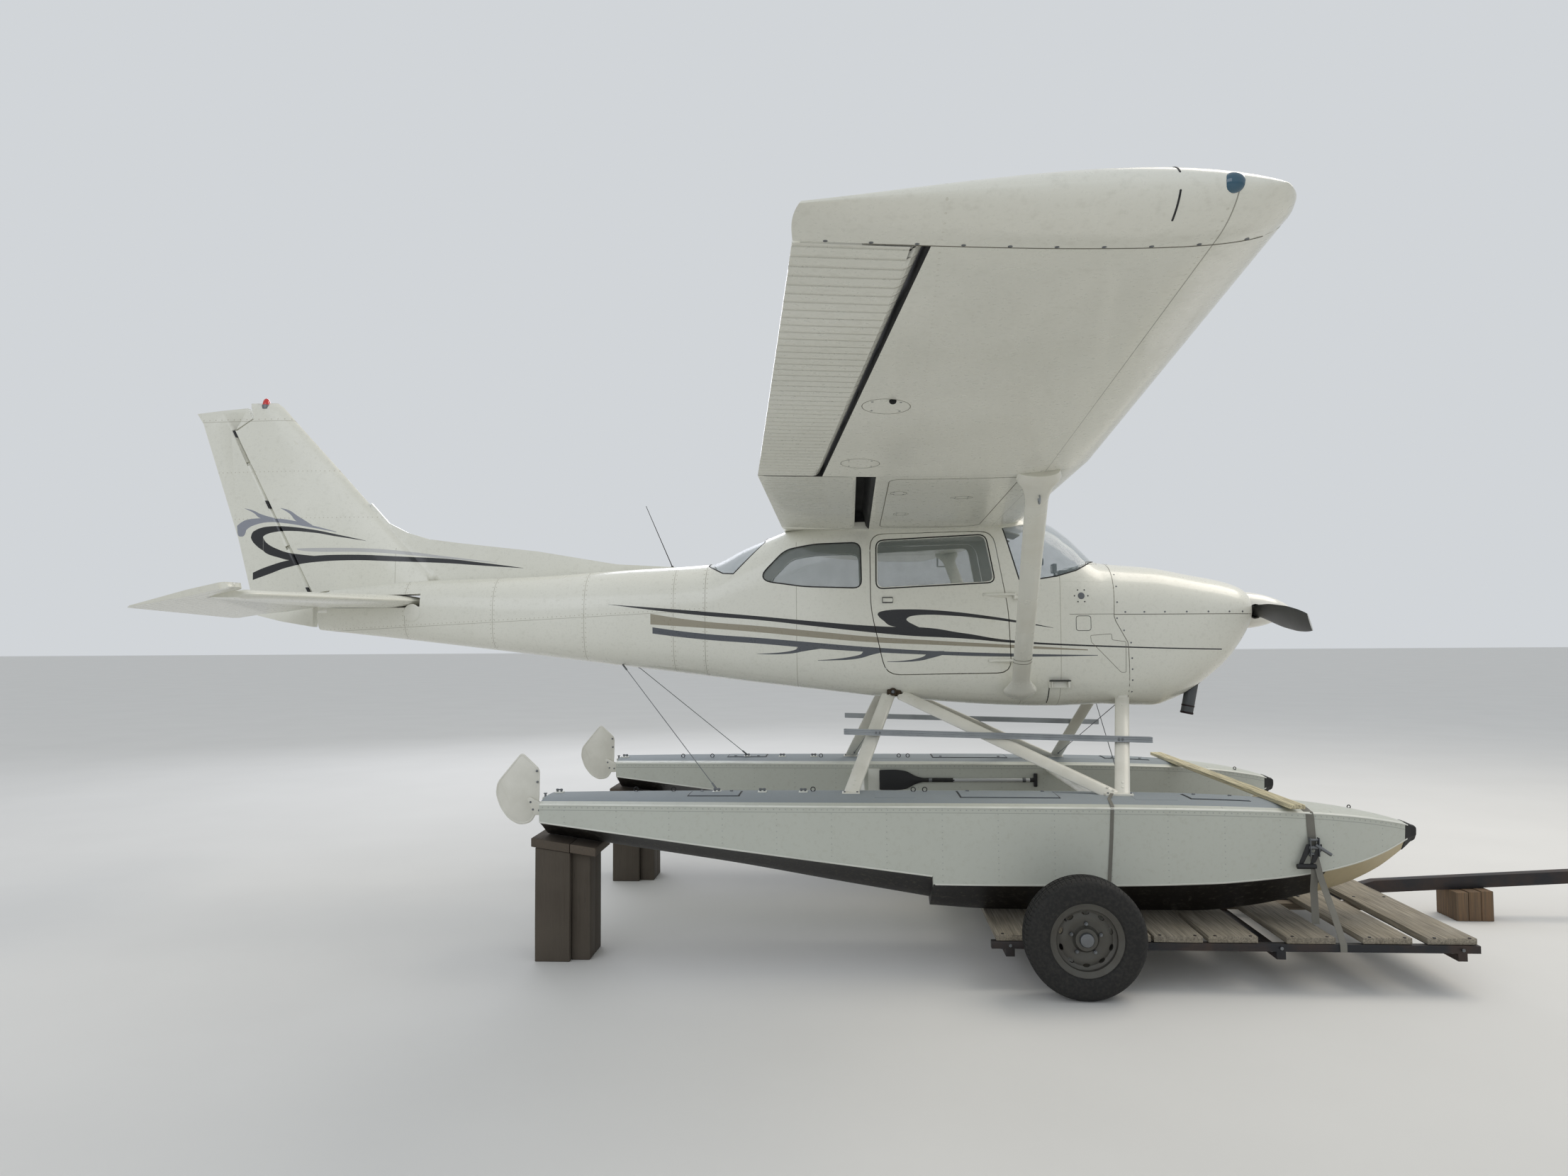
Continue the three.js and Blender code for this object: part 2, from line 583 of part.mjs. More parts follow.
// Fin and dorsal fillet above the tailcone. Columns: z, leading edge x, half thickness.
const finTable = [
  [2336, -2990, 52], [2600, -3240, 50], [2928, -3540, 46], [3293, -3871, 40], [3682, -4228, 32],
  [3790, -4325, 26], [3824, -4372, 10],
];
const hingeAt = (z) => tail.hingeFootX + tail.hingeSlope * (z - tail.hingeFootZ);
const rudderNose = (z) => 40 - 0.0115 * (z - tail.hingeFootZ);
const rudderOutline = [
  [-4052, 2320], [hingeAt(2380) + 60, 2380], [hingeAt(3622) + 45, 3622], [-4560, 3703], [-4597, 3786],
  [-5008, 3752],
  [-4958, 3675], [-4665, 2787], [-4562, 2382], [-4500, 2190], [-4310, 2144], [-4052, 2100],
];
const dorsalOutline = [
  [-1230, 2500], [-1231, 2522], [-1731, 2552], [-2325, 2655], [-2900, 2722], [-3160, 2757], [-3330, 2808],
  [-3480, 2885],
  [-3620, 3040], [-3620, 2370], [-2300, 2400],
];

// A point beside the rudder's hinge line: along the line and ahead of it.
function besideHinge(z, along, ahead) {
  const scale = Math.hypot(1, tail.hingeSlope);
  return [hingeAt(z) + (along * tail.hingeSlope + ahead) / scale,
    z + (along - ahead * tail.hingeSlope) / scale];
}

function onHinge(z, along) {
  const [x, height] = besideHinge(z, along, 0);
  return [x, 0, height];
}

function hingeBlock(z, high, ahead, behind, half) {
  return sidePrism([
    besideHinge(z, -high, -behind), besideHinge(z, -high, ahead), besideHinge(z, high, ahead),
    besideHinge(z, high, -behind),
  ], -half, half);
}

function finSolid() {
  const rings = finTable.map(([z, leadX, half]) => {
    const rearX = hingeAt(z) + rudderNose(z) + tail.gap;
    const chord = leadX - rearX;
    const forward = [[0, 0], [0.03, 0.36], [0.12, 0.72], [0.35, 1], [1, 0.86]];
    const port = forward.map(([place, share]) => [leadX - chord * place, half * share, z]);
    const starboard = forward.slice(1).reverse().map(([place, share]) => [leadX - chord * place,
      -half * share, z]);
    return [...port, ...starboard];
  });
  const hornGap = [
    [hingeAt(3622) + 57, 3613], [-4545, 3700], [-4582, 3840], [-5000, 3840], [-5000, 3613],
  ];
  const dorsal = sidePrism(dorsalOutline, -13, 13);
  const lugs = tail.hingeZ.map((z) => (
    hingeBlock(z, tail.lugHigh, rudderNose(z) + tail.gap + 12, 0, 6)
      .add(bar(onHinge(z, -tail.lugHigh), onHinge(z, tail.lugHigh), tail.lugR, 14))
      .subtract(bar(onHinge(z, -30), onHinge(z, 30), tail.pinR + 0.5, 14))
  ));
  const blade = loft(rings).add(dorsal).subtract(sidePrism(hornGap, -200, 200)).subtract(skinOutside)
    .subtract(box(-4200, tail.hingeX + 45, -200, 200, 2200, 2336));
  return join(blade, ...lugs);
}

function rudderSolid() {
  const zLow = 2080;
  const zHigh = 3860;
  const trailAt = (z) => (z < 2787 ? -4562 - (z - 2382) * 0.254 : -4665 - (z - 2787) * 0.333);
  const rings = [zLow, 2787, zHigh].map((z) => {
    const nose = rudderNose(Math.max(z, tail.hingeFootZ));
    const hinge = hingeAt(z);
    return [
      [hinge + 260, nose * 0.5, z], [hinge + 225, nose * 0.9, z], [hinge, nose, z],
      [trailAt(z) - 120, 2, z],
      [trailAt(z) - 120, -2, z], [hinge, -nose, z], [hinge + 225, -nose * 0.9, z],
      [hinge + 260, -nose * 0.5, z],
    ];
  });
  const behind = [
    [hingeAt(2336), 2336], [hingeAt(3616), 3616], [hingeAt(3622) + 45, 3622], ...rudderOutline.slice(3, 11),
    [-4052, 2100], [-4052, 2318],
  ];
  const nose = bar([hingeAt(2350), 0, 2350], [hingeAt(3619), 0, 3619], rudderNose(2350), 14,
    rudderNose(3619));
  const notches = tail.hingeZ.map((z) => (
    hingeBlock(z, tail.notchHigh, 60, 0, 60)
      .add(bar(onHinge(z, -tail.notchHigh), onHinge(z, tail.notchHigh), tail.notchR, 16))
  ));
  const pins = tail.hingeZ.map((z) => bar(onHinge(z, -tail.notchHigh - 2), onHinge(z, tail.notchHigh + 2),
    tail.pinR, 14));
  const whole = loft(rings).intersect(sidePrism(behind, -200, 200)).add(nose);
  return join(notches.reduce((rudder, notch) => rudder.subtract(notch), whole), ...pins);
}

// Stabiliser, one piece through the tailcone. Columns: y, leading edge x, half thickness.
const stabTable = [[0, -3180, 48], [150, -3215, 48], [1480, -3655, 30], [tail.stabHalfSpan, -3700, 20]];
const elevatorNose = (y) => 36 - 0.009 * y;

function stabHalf() {
  const rings = stabTable.map(([y, leadX, half]) => {
    const rearX = tail.hingeX + elevatorNose(y) + tail.gap;
    const chord = leadX - rearX;
    const forward = [[0, 0], [0.03, 0.36], [0.12, 0.72], [0.4, 1], [1, 0.8]];
    const top = forward.map(([place, share]) => [leadX - chord * place, y, tail.stabZ + half * share]);
    const low = forward.slice(1).reverse().map(([place, share]) => [leadX - chord * place, y,
      tail.stabZ - half * share]);
    return [...top, ...low];
  });
  return loft(rings);
}

const stabHalfSolid = stabHalf();
const tubeBearing = (() => {
  const [from, to] = tail.bearingY;
  const rearX = tail.hingeX + elevatorNose(from) + tail.gap;
  const ring = bar([tail.hingeX, from, tail.stabZ], [tail.hingeX, to, tail.stabZ], tail.tubeR + 10, 16);
  const arm = box(tail.hingeX, rearX + 20, from, to, tail.stabZ - 8, tail.stabZ + 8);
  return ring.add(arm).subtract(bar([tail.hingeX, 0, tail.stabZ], [tail.hingeX, 200, tail.stabZ],
    tail.tubeR + 0.9, 14));
})();
const stabPort = stabHalfSolid.add(tubeBearing);
const stabiliser = stabPort.add(mirrored(stabPort));
const stabSlot = join(...[1, -1].map((side) => {
  const y = side > 0 ? [0, 400] : [-400, 0];
  const half = 48 + contactGap + 0.2;
  return box(tail.hingeX - 40, -3170, y[0], y[1], tail.stabZ - half, tail.stabZ + half);
}));

// Elevator, both halves on one torque tube, drooped as it hangs at rest. The horns lie ahead of the hinge.
const elevatorPlan = [
  [tail.hingeX, 118], [tail.hingeX, 1553], [-3718, 1553], [-3705, 1600], [-3712, 1690], [-3760, 1722],
  [-4323, 1725],
  [-4352, 1700], [-4520, 330], [-4506, 262], [-4330, 250], [-4200, 150],
];

function elevatorSolid() {
  const rings = [0, tail.spanHalf + 20].map((y) => {
    const nose = elevatorNose(y);
    const trailX = -4570 + 0.115 * y;
    return [
      [tail.hingeX + 262, y, tail.stabZ + nose * 0.55], [tail.hingeX + 225, y, tail.stabZ + nose],
      [tail.hingeX, y, tail.stabZ + nose],
      [trailX, y, tail.stabZ + 2], [trailX, y, tail.stabZ - 2], [tail.hingeX, y, tail.stabZ - nose],
      [tail.hingeX + 225, y, tail.stabZ - nose], [tail.hingeX + 262, y, tail.stabZ - nose * 0.55],
    ];
  });
  const plate = loft(rings).intersect(planPrism(elevatorPlan, 2100, 2500));
  const nose = bar([tail.hingeX, 118, tail.stabZ], [tail.hingeX, 1553, tail.stabZ], elevatorNose(118), 14,
    elevatorNose(1553));
  const port = plate.add(nose);
  const tube = bar([tail.hingeX, -150, tail.stabZ], [tail.hingeX, 150, tail.stabZ], tail.tubeR, 14);
  const neutral = join(port, mirrored(port), tube);
  const geometry = toGeometry(neutral);
  geometry.translate(-tail.hingeX, 0, -tail.stabZ).rotateY(-tail.droop).translate(tail.hingeX, 0,
    tail.stabZ);
  return toSolid(geometry);
}

// Blade sections: radius, chord, pitch in degrees, thickness.
const bladeTable = [
  [56, 74, 52, 46], [190, 122, 44, 30], [330, 158, 36, 22], [520, 184, 30, 16], [700, 182, 25, 13],
  [860, 160, 21, 10], [960, 134, 19, 8],
  [shaft.bladeR, 112, 18, 6],
];

function bladeSolid(side) {
  const rings = bladeTable.map(([radius, chord, pitch, thick]) => {
    const angle = THREE.MathUtils.degToRad(pitch);
    return Array.from({ length: 12 }, (_, k) => {
      const turn = (k / 12) * Math.PI * 2;
      const along = Math.cos(turn) * (chord / 2);
      const across = Math.sin(turn) * (thick / 2) * (1 + 0.35 * Math.cos(turn));
      const x = along * Math.sin(angle) + across * Math.cos(angle);
      const z = along * Math.cos(angle) - across * Math.sin(angle);
      return [shaft.bladeX + x, side * radius, shaft.z + side * z];
    });
  });
  return loft(rings);
}

function turnedOnShaft(solid, angle) {
  const geometry = toGeometry(solid);
  geometry.translate(0, 0, -shaft.z).rotateX(angle).translate(0, 0, shaft.z);
  return toSolid(geometry);
}

function propellerSolid() {
  const hub = bar([shaft.backX + 4, 0, shaft.z], [shaft.hubX, 0, shaft.z], shaft.hubR, 16);
  return turnedOnShaft(join(hub, bladeSolid(1), bladeSolid(-1)), shaft.dip);
}

function spinnerSolid() {
  const profile = [
    [0, 0], [shaft.spinnerR, 0], [shaft.spinnerR, 24], [120, 115], [90, 221], [47, 311],
    [0, shaft.tipX - shaft.backX],
  ].map(([r, along]) => new THREE.Vector2(r, along));
  const outer = new THREE.LatheGeometry(profile, 22).rotateZ(-Math.PI / 2).translate(shaft.backX, 0,
    shaft.z);
  const hubHole = bar([shaft.backX - 10, 0, shaft.z], [shaft.hubX + 0.5, 0, shaft.z], shaft.hubR + 0.6,
    16);
  const bladeHoles = [1, -1].map((side) => {
    const slot = new THREE.CylinderGeometry(52, 52, 240, 16).translate(0, side * 160, 0);
    return toSolid(slot.translate(shaft.bladeX, 0, shaft.z));
  });
  return toSolid(outer).subtract(turnedOnShaft(join(hubHole, ...bladeHoles), shaft.dip));
}

// Engine as one block, with its mount to the firewall, its shaft to the propeller and the exhaust pipe.
function engineSolid() {
  const block = box(1980, 2640, -330, 330, 1930, 2270);
  const sump = box(2050, 2500, -240, -120, 1780, 1940);
  const crank = bar([2630, 0, shaft.z], [shaft.backX + 4 - contactGap, 0, shaft.z], shaftRadius, 20);
  const mounts = [[-240, 1960], [240, 1960], [-240, 2240], [240, 2240]].map(([y, z]) => (
    bar([cabin.firewallX + cabin.firewallThick + contactGap, y, z], [1990, y, z], 16, 8)
  ));
  const pipe = bar(exhaust.top, exhaust.end, exhaust.radius, 14);
  return join(block, sump, crank, ...mounts, pipe);
}

// Wing strut with a flared cuff at each end.
const strut = { foot: [1164, 470, 1576], top: [951, 2560, 2812], chord: 118, thick: 44 };

function wingStrutSolid() {
  const main = fairedStrut(strut.foot, strut.top, strut.chord, strut.thick, [
    [0.045, 1.9], [0.085, 1.25], [0.11, 1], [0.9, 1], [0.94, 1.25], [0.975, 1.9],
  ]);
  return main.subtract(skinOutside).subtract(placedOnWing(wingPanel, -0.4));
}

// Floats. Columns: x, half beam at the deck, deck edge z, deck middle z, chine z, half beam at the chine,
// keel z.
const floatTable = [
  [-1925, 236, 972, 1002, 862, 232, 752],
  [-1300, 282, 976, 1007, 788, 280, 660],
  [-700, 318, 978, 1008, 716, 316, 572],
  [-100, 331, 978, 1008, 643, 330, 470],
  [float.stepX, 333, 978, 1008, 570, 332, 374],
  [float.stepX + 2, 333, 978, 1008, 522, 332, float.keelZ + 22],
  [900, 335, 977, 1007, 520, 334, float.keelZ],
  [1500, 334, 974, 1004, 522, 332, float.keelZ],
  [2100, 326, 966, 995, 536, 320, float.keelZ],
  [2450, 300, 954, 982, 558, 288, 336],
  [2750, 256, 936, 962, 588, 240, 400],
  [3000, 196, 909, 933, 630, 178, 470],
  [3200, 128, 876, 896, 685, 112, 565],
  [3340, 66, 846, 858, 739, 56, 668],
  [3425, 22, 818, 824, 772, 18, 744],
];

function hullLoft(grow) {
  const rings = floatTable.map(([x, deckBeam, edgeZ, deckZ, chineZ, chineBeam, keelZ]) => {
    const [beam, chine] = [deckBeam + grow, chineBeam + grow];
    const port = [
      [x, 0.16 * chine, keelZ + (chineZ - keelZ) * 0.1], [x, 0.6 * chine, keelZ + (chineZ - keelZ) * 0.6],
      [x, chine, chineZ],
      [x, beam, edgeZ], [x, beam * 0.55, edgeZ + (deckZ - edgeZ) * 0.85],
    ];
    const starboard = port.map(([a, y, z]) => [a, -y, z]).reverse();
    return [[x, 0, keelZ], ...port, [x, 0, deckZ], ...starboard].map(([a, y, z]) => [a, y + float.y, z]);
  });
  return loft(rings);
}

function floatSolid() {
  const gudgeons = [850, 975].map((z) => box(-1968, -1900, float.y - 14, float.y + 14, z - 9, z + 9));
  const pinHoles = bar([-1952, float.y, 800], [-1952, float.y, 1010], 7.6, 12);
  const stern = box(-1975, -1900, float.y - 20, float.y + 20, 700, 760);
  return join(hullLoft(0), ...gudgeons).subtract(pinHoles).subtract(stern);
}

// Float truss each side: front leg, rear leg and diagonal, with the fitting on the fuselage and the feet
// on the deck.
const truss = { fitting: [305, 432, 1606], rearFoot: [5, 1062, 1004], frontTop: [1836, 400, 1570],
  frontFoot: [1688, 1090, 996] };

function deckAbove(clearance) {
  const rings = floatTable.map(([x, beam, edgeZ, deckZ]) => [
    [x, float.y - beam, edgeZ - 200], [x, float.y - beam, edgeZ + clearance],
    [x, float.y - beam * 0.55, edgeZ + (deckZ - edgeZ) * 0.85 + clearance],
    [x, float.y, deckZ + clearance], [x, float.y + beam * 0.55, edgeZ + (deckZ - edgeZ) * 0.85 + clearance],
    [x, float.y + beam, edgeZ + clearance], [x, float.y + beam, edgeZ - 200],
  ]);
  return loft(rings);
}

function trussLegs(grow) {
  const { fitting, rearFoot, frontTop, frontFoot } = truss;
  const [chord, thick] = [94 + 2 * grow, 34 + 2 * grow];
  return join(
    fairedStrut(rearFoot, fitting, chord, thick),
    fairedStrut([frontFoot[0] - 40, frontFoot[1] - 6, frontFoot[2]], fitting, chord, thick),
    fairedStrut(frontFoot, frontTop, chord, thick),
  );
}

function trussSolid() {
  const { fitting, rearFoot, frontTop, frontFoot } = truss;
  const plate = box(fitting[0] - 70, fitting[0] + 95, fitting[1] - 36, fitting[1] + 22, fitting[2] - 44,
    fitting[2] + 26);
  const upper = box(frontTop[0] - 34, frontTop[0] + 34, frontTop[1] - 26, frontTop[1] + 26,
    frontTop[2] - 40, frontTop[2] + 70);
  const feet = [
    box(rearFoot[0] - 56, rearFoot[0] + 56, rearFoot[1] - 36, rearFoot[1] + 36, 980, 1022),
    box(frontFoot[0] - 110, frontFoot[0] + 62, frontFoot[1] - 40, frontFoot[1] + 40, 975, 1018),
  ];
  return join(trussLegs(0), plate, upper, ...feet).subtract(skinOutside).subtract(deckAbove(contactGap));
}

// Bars that hold the floats apart, and the boarding rails along the legs.
function spreaderSolid(x, z) {
  const reach = float.y - 320;
  const section = new THREE.CylinderGeometry(1, 1, reach * 2, 14).scale(46, 1, 21);
  const nearHull = hullLoft(contactGap);
  return toSolid(section.translate(x, 0, z)).subtract(nearHull).subtract(mirrored(nearHull));
}

const trussLeft = trussSolid();
const rail = { rearX: -38, frontX: 1972, y: 750, rearZ: 1368, frontZ: 1312, high: 38, wide: 34 };

function railSolid() {
  const slope = (rail.frontZ - rail.rearZ) / (rail.frontX - rail.rearX);
  const outline = [
    [rail.rearX, rail.rearZ - rail.high / 2], [rail.frontX, rail.frontZ - rail.high / 2],
    [rail.frontX, rail.frontZ + rail.high / 2], [rail.rearX, rail.rearZ + rail.high / 2],
  ];
  const channel = sidePrism(outline, rail.y - rail.wide / 2, rail.y + rail.wide / 2);
  const brackets = [1768, 187].map((x) => {
    const z = rail.rearZ + slope * (x - rail.rearX);
    return box(x - 24, x + 24, rail.y - 38, rail.y - rail.wide / 2 + 2, z - 13, z + 13);
  });
  return join(channel, ...brackets).subtract(trussLegs(contactGap));
}

// Water rudder in its raised place: a plate on an arm that turns on a post behind the transom.
const waterRudder = { x: -1952, z: 850, post: 7, low: 862, high: 962 };

function waterRudderSolid() {
  const blade = sidePrism([
    [-2106, 1270], [-1989, 1163], [-1991, 985], [-2004, 890], [-2044, 822], [-2090, 808], [-2134, 810],
    [-2195, 846], [-2247, 916], [-2277, 1003], [-2268, 1072], [-2240, 1110],
  ], float.y - 5, float.y + 5);
  const arm = sidePrism([[-1962, 872], [-1962, 940], [-2050, 985], [-2072, 972], [-2020, 868]],
    float.y - 12, float.y + 12);
  const post = bar([waterRudder.x, float.y, 806], [waterRudder.x, float.y, 1006], waterRudder.post, 12);
  const sleeve = bar([waterRudder.x, float.y, waterRudder.low], [waterRudder.x, float.y, waterRudder.high],
    15, 14);
  return join(blade, arm, post, sleeve);
}

// Paddle clipped to the port float's inboard side.
function paddleSolid() {
  const y = float.y - 334 - 16;
  const blade = sidePrism([
    [240, 905], [240, 800], [330, 794], [440, 818], [500, 842], [500, 864], [440, 888], [330, 910],
  ], y - 7, y + 7);
  const loom = bar([490, y, 853], [1500, y, 853], 15, 12);
  const grip = bar([1470, y, 800], [1470, y, 906], 15, 12);
  const clips = [640, 1380].map((x) => box(x - 14, x + 14, y, float.y - 330, 843, 863));
  return join(blade, loom, grip, ...clips).subtract(hullLoft(contactGap));
}

// Dolly: planks nailed on two bearers, on a steel frame with a drop axle and a drawbar.
// Planks: rear edge x, front edge x.
const planks = [[820, 1095], [1150, 1420], [1560, 1690], [1700, 1975], [2005, 2280], [2430, 2700],
  [2850, 3120], [3200, 3470]];

function deckSolid() {
  const top = dolly.plankTop;
  const boards = planks.map(([rear, front]) => box(rear, front, -dolly.plankHalf, dolly.plankHalf,
    top - dolly.plankThick, top));
  const bearers = [-1, 1].map((side) => {
    const y = side * 700;
    return box(800, 3440, y - 45, y + 45, top - dolly.plankThick - 40, top - dolly.plankThick + 1);
  });
  return join(...boards, ...bearers);
}

const frameTop = dolly.plankTop - dolly.plankThick - contactGap;
const drawbar = { halfWide: 38, high: 84, rootZ: 170, endZ: 300 };

function frameSolid() {
  const low = frameTop - dolly.railHigh;
  const rails = [-1, 1].map((side) => box(795, 3478, side * dolly.railY - dolly.railWide / 2,
    side * dolly.railY + dolly.railWide / 2, low, frameTop));
  const crossLow = frameTop - 40 - 45;
  const crossX = [900, dolly.wheelX, 2400, 3380];
  const crosses = crossX.map((x) => box(x - 25, x + 25, -dolly.railY, dolly.railY, crossLow,
    frameTop - 41));
  const ties = crossX.flatMap((x) => [-1, 1].map((side) => box(
    x - 25, x + 25, side * dolly.railY - dolly.railWide / 2, side * dolly.railY + dolly.railWide / 2,
    crossLow, frameTop - 1,
  )));
  const drop = [-1, 1].map((side) => {
    const inner = side * 1686;
    const outer = side * 1716;
    const upright = box(dolly.wheelX - 25, dolly.wheelX + 25, Math.min(inner, outer),
      Math.max(inner, outer), crossLow, dolly.axleZ + 25);
    const tie = box(dolly.wheelX - 25, dolly.wheelX + 25, Math.min(side * 1640, outer),
      Math.max(side * 1640, outer), crossLow, crossLow + 45);
    const stub = bar([dolly.wheelX, side * 1700, dolly.axleZ], [dolly.wheelX, side * 1862, dolly.axleZ],
      dolly.axleR, 20);
    return join(upright, tie, stub);
  });
  const bend = [
    [880, drawbar.rootZ - 62], [3400, drawbar.rootZ - 62], [3700, drawbar.rootZ],
    [hitchEndX - 110, drawbar.endZ], [hitchEndX - 110, drawbar.endZ + drawbar.high],
    [3690, drawbar.rootZ + drawbar.high], [3400, crossLow + 2], [880, crossLow + 2],
  ];
  const tongue = sidePrism(bend, -drawbar.halfWide, drawbar.halfWide);
  const coupler = join(
    box(hitchEndX - 240, hitchEndX - 60, -48, 48, drawbar.endZ - 6, drawbar.endZ + 92),
    sphereAt(hitchEndX - 46, 0, drawbar.endZ + 40, 46),
  );
  return join(...rails, ...crosses, ...ties, ...drop, tongue, coupler);
}

function sphereAt(x, y, z, radius) {
  return toSolid(new THREE.SphereGeometry(radius, 16, 12).translate(x, y, z));
}

// Wheels as lathes on Y. Profiles: radius, distance from the wheel's middle plane, outward.
function latheOnY(profile, x, y, z, side) {
  const points = profile.map(([r, along]) => new THREE.Vector2(r, along));
  const geometry = new THREE.LatheGeometry(points, 20);
  const solid = toSolid(geometry.translate(x, y, z));
  return side > 0 ? solid : mirrored(solid);
}

const rimProfile = [
  [24, 10], [66, 20], [164, 26], [168, -78], [203.6, -86], [200.9, -78], [177, -68], [178, 62], [200.2, 76],
  [202.9, 84],
  [168, 74], [168, 46], [74, 38], [60, 62], [24, 62],
];
const tyreProfile = [
  [199.3, -72], [206, -92], [250, -101], [300, -94], [dolly.tyreR, -52], [dolly.tyreR, 52], [300, 94],
  [250, 101],
  [206, 92], [199.3, 72],
];
const closed = (profile) => [...profile, profile[0]];
const wheelY = dolly.wheelY;
const rimPort = latheOnY(closed(rimProfile), dolly.wheelX, wheelY, dolly.axleZ, 1);
const tyrePort = latheOnY(closed(tyreProfile), dolly.wheelX, wheelY, dolly.axleZ, 1);

// Timber blocks under the float sterns and the drawbar, and the board lashed over both decks.
const keelSlope = (752 - 660) / 625;
const keelAt = (x) => 752 - (x + 1925) * keelSlope;

function sternBlockSolid() {
  const [rear, front] = [-1985, -1575];
  const cap = sidePrism([
    [rear, keelAt(rear) - 56], [front, keelAt(front) - 56], [front, keelAt(front) - 0.4],
    [rear, keelAt(rear) - 0.4],
  ], float.y - 205, float.y + 205);
  const post = box(-1960, -1740, float.y - 195, float.y + 195, 0, keelAt(-1740) - 20)
    .add(box(-1740, -1625, float.y - 150, float.y + 150, 0, keelAt(-1625) - 20));
  return join(cap, post);
}

function tongueBlockSolid() {
  const [rear, front] = [4190, 4440];
  const lowAt = (x) => drawbar.rootZ +
  ((x - 3700) / (hitchEndX - 110 - 3700)) * (drawbar.endZ - drawbar.rootZ);
  return sidePrism([[rear, 0], [front, 0], [front, lowAt(front) - contactGap],
    [rear, lowAt(rear) - contactGap]], -130, 130);
}

function crossboardSolid() {
  const low = 975;
  return box(2560, 2650, -1440, 1440, low,
    low + 25).subtract(deckAbove(contactGap)).subtract(mirrored(deckAbove(contactGap)));
}

// Instrument panel with its glareshield and both yokes, and the seats.
function instrumentSolid() {
  const faceX = 1500;
  const within = bodyLoft(cabin.wall + 3);
  const panel = box(faceX, faceX + 20, -470, 470, 2050, 2366);
  const shield = box(faceX - 30, cabin.firewallX - contactGap, -470, 470, 2346, 2372);
  const yokes = [-250, 250].map((y) => {
    const column = bar([1250, y, 2150], [faceX + 10, y, 2150], 13, 12);
    const wheel = box(1238, 1262, y - 110, y + 110, 2136, 2164);
    const horns = [-1, 1].map((side) => box(
      1238, 1262, y + side * 98 - 13, y + side * 98 + 13, 2136, 2230));
    return join(column, wheel, ...horns);
  });
  return join(panel, shield,
    ...yokes).intersect(within).intersect(box(1000, 1900, -480, 480, 1800, cabin.sillZ - 3));
}

function seatSolid(x, y, width, baseY, baseWidth, floorZ, backTop) {
  const [low, high] = [y - width / 2, y + width / 2];
  const cushion = box(x, x + 500, low, high, floorZ + 210, floorZ + 330);
  const back = sidePrism([
    [x - 30, floorZ + 230], [x + 70, floorZ + 230], [x - 10, backTop], [x - 100, backTop],
  ], low, high);
  const base = box(x + 60, x + 440, baseY - baseWidth / 2, baseY + baseWidth / 2, floorZ, floorZ + 215);
  return join(cushion, back, base);
}

const floorAt = (x) => {
  const next = floorLine.findIndex(([station]) => station <= x);
  const [[x0, z0], [x1, z1]] = [floorLine[next - 1], floorLine[next]];
  return z0 + ((x - x0) / (x1 - x0)) * (z1 - z0);
};
const aboveFloor = sidePrism(
  [...floorLine.map(([x, z]) => [x, z + contactGap]), [floorLine[4][0], 2800], [1800, 2800]], -wide, wide);
const seatFront = seatSolid(420, 245, 430, 205, 230, floorAt(700) - 20, 2330).intersect(aboveFloor);
const seatRear = seatSolid(-470, 0, 780, 0, 400, floorAt(-250) - 40, 2330).intersect(aboveFloor);

// Finishes from the photograph.
const finish = {
  cream: [0xe9e6d6, 0.35, 0.0], black: [0x15161b, 0.4, 0.0], glass: [0xcfdde0, 0.08, 0.0],
  steel: [0x2e2f31, 0.6, 0.5],
  alloy: [0x9aa0a6, 0.4, 0.7], timber: [0x8c7f6c, 0.9, 0.0], rubber: [0x1a1a1a, 0.85, 0.0],
  cloth: [0x8d8577, 0.95, 0.0],
  engine: [0x5b5d5f, 0.6, 0.6], floatGrey: [0xc9ccc4, 0.45, 0.1], rim: [0x4b4a49, 0.55, 0.4],
  white: [0xf3f3ef, 0.3, 0.0],
};

const aircraft = new THREE.Group();
aircraft.position.x = -originShiftX;

function addNode(name, solid, [color, roughness, metalness], parent = aircraft) {
  const material = new THREE.MeshStandardMaterial({ color, roughness, metalness });
  if (color === finish.glass[0]) {
    material.transparent = true;
    material.opacity = 0.35;
  }
  const mesh = new THREE.Mesh(toGeometry(solid), material);
  mesh.name = name;
  parent.add(mesh);
}

function addPair(name, solid, look) {
  addNode(`${name}_left`, solid, look);
  addNode(`${name}_right`, mirrored(solid), look);
}

// Each wing hangs in its own group, turned up by the dihedral at the root.
function wingGroup(side) {
  const group = new THREE.Group();
  group.position.set(0, side * wing.rootY, wing.rootZ);
  group.rotation.x = side * wing.dihedral;
  aircraft.add(group);
  return group;
}

const wingGroups = { left: wingGroup(1), right: wingGroup(-1) };
const wingParts = [['wing', wingPanel], ['flap', flapSolid()], ['aileron', aileronSolid()]];
for (const [name, solid] of wingParts) {
  addNode(`${name}_left`, solid, finish.cream, wingGroups.left);
  addNode(`${name}_right`, mirrored(solid), finish.cream, wingGroups.right);
}

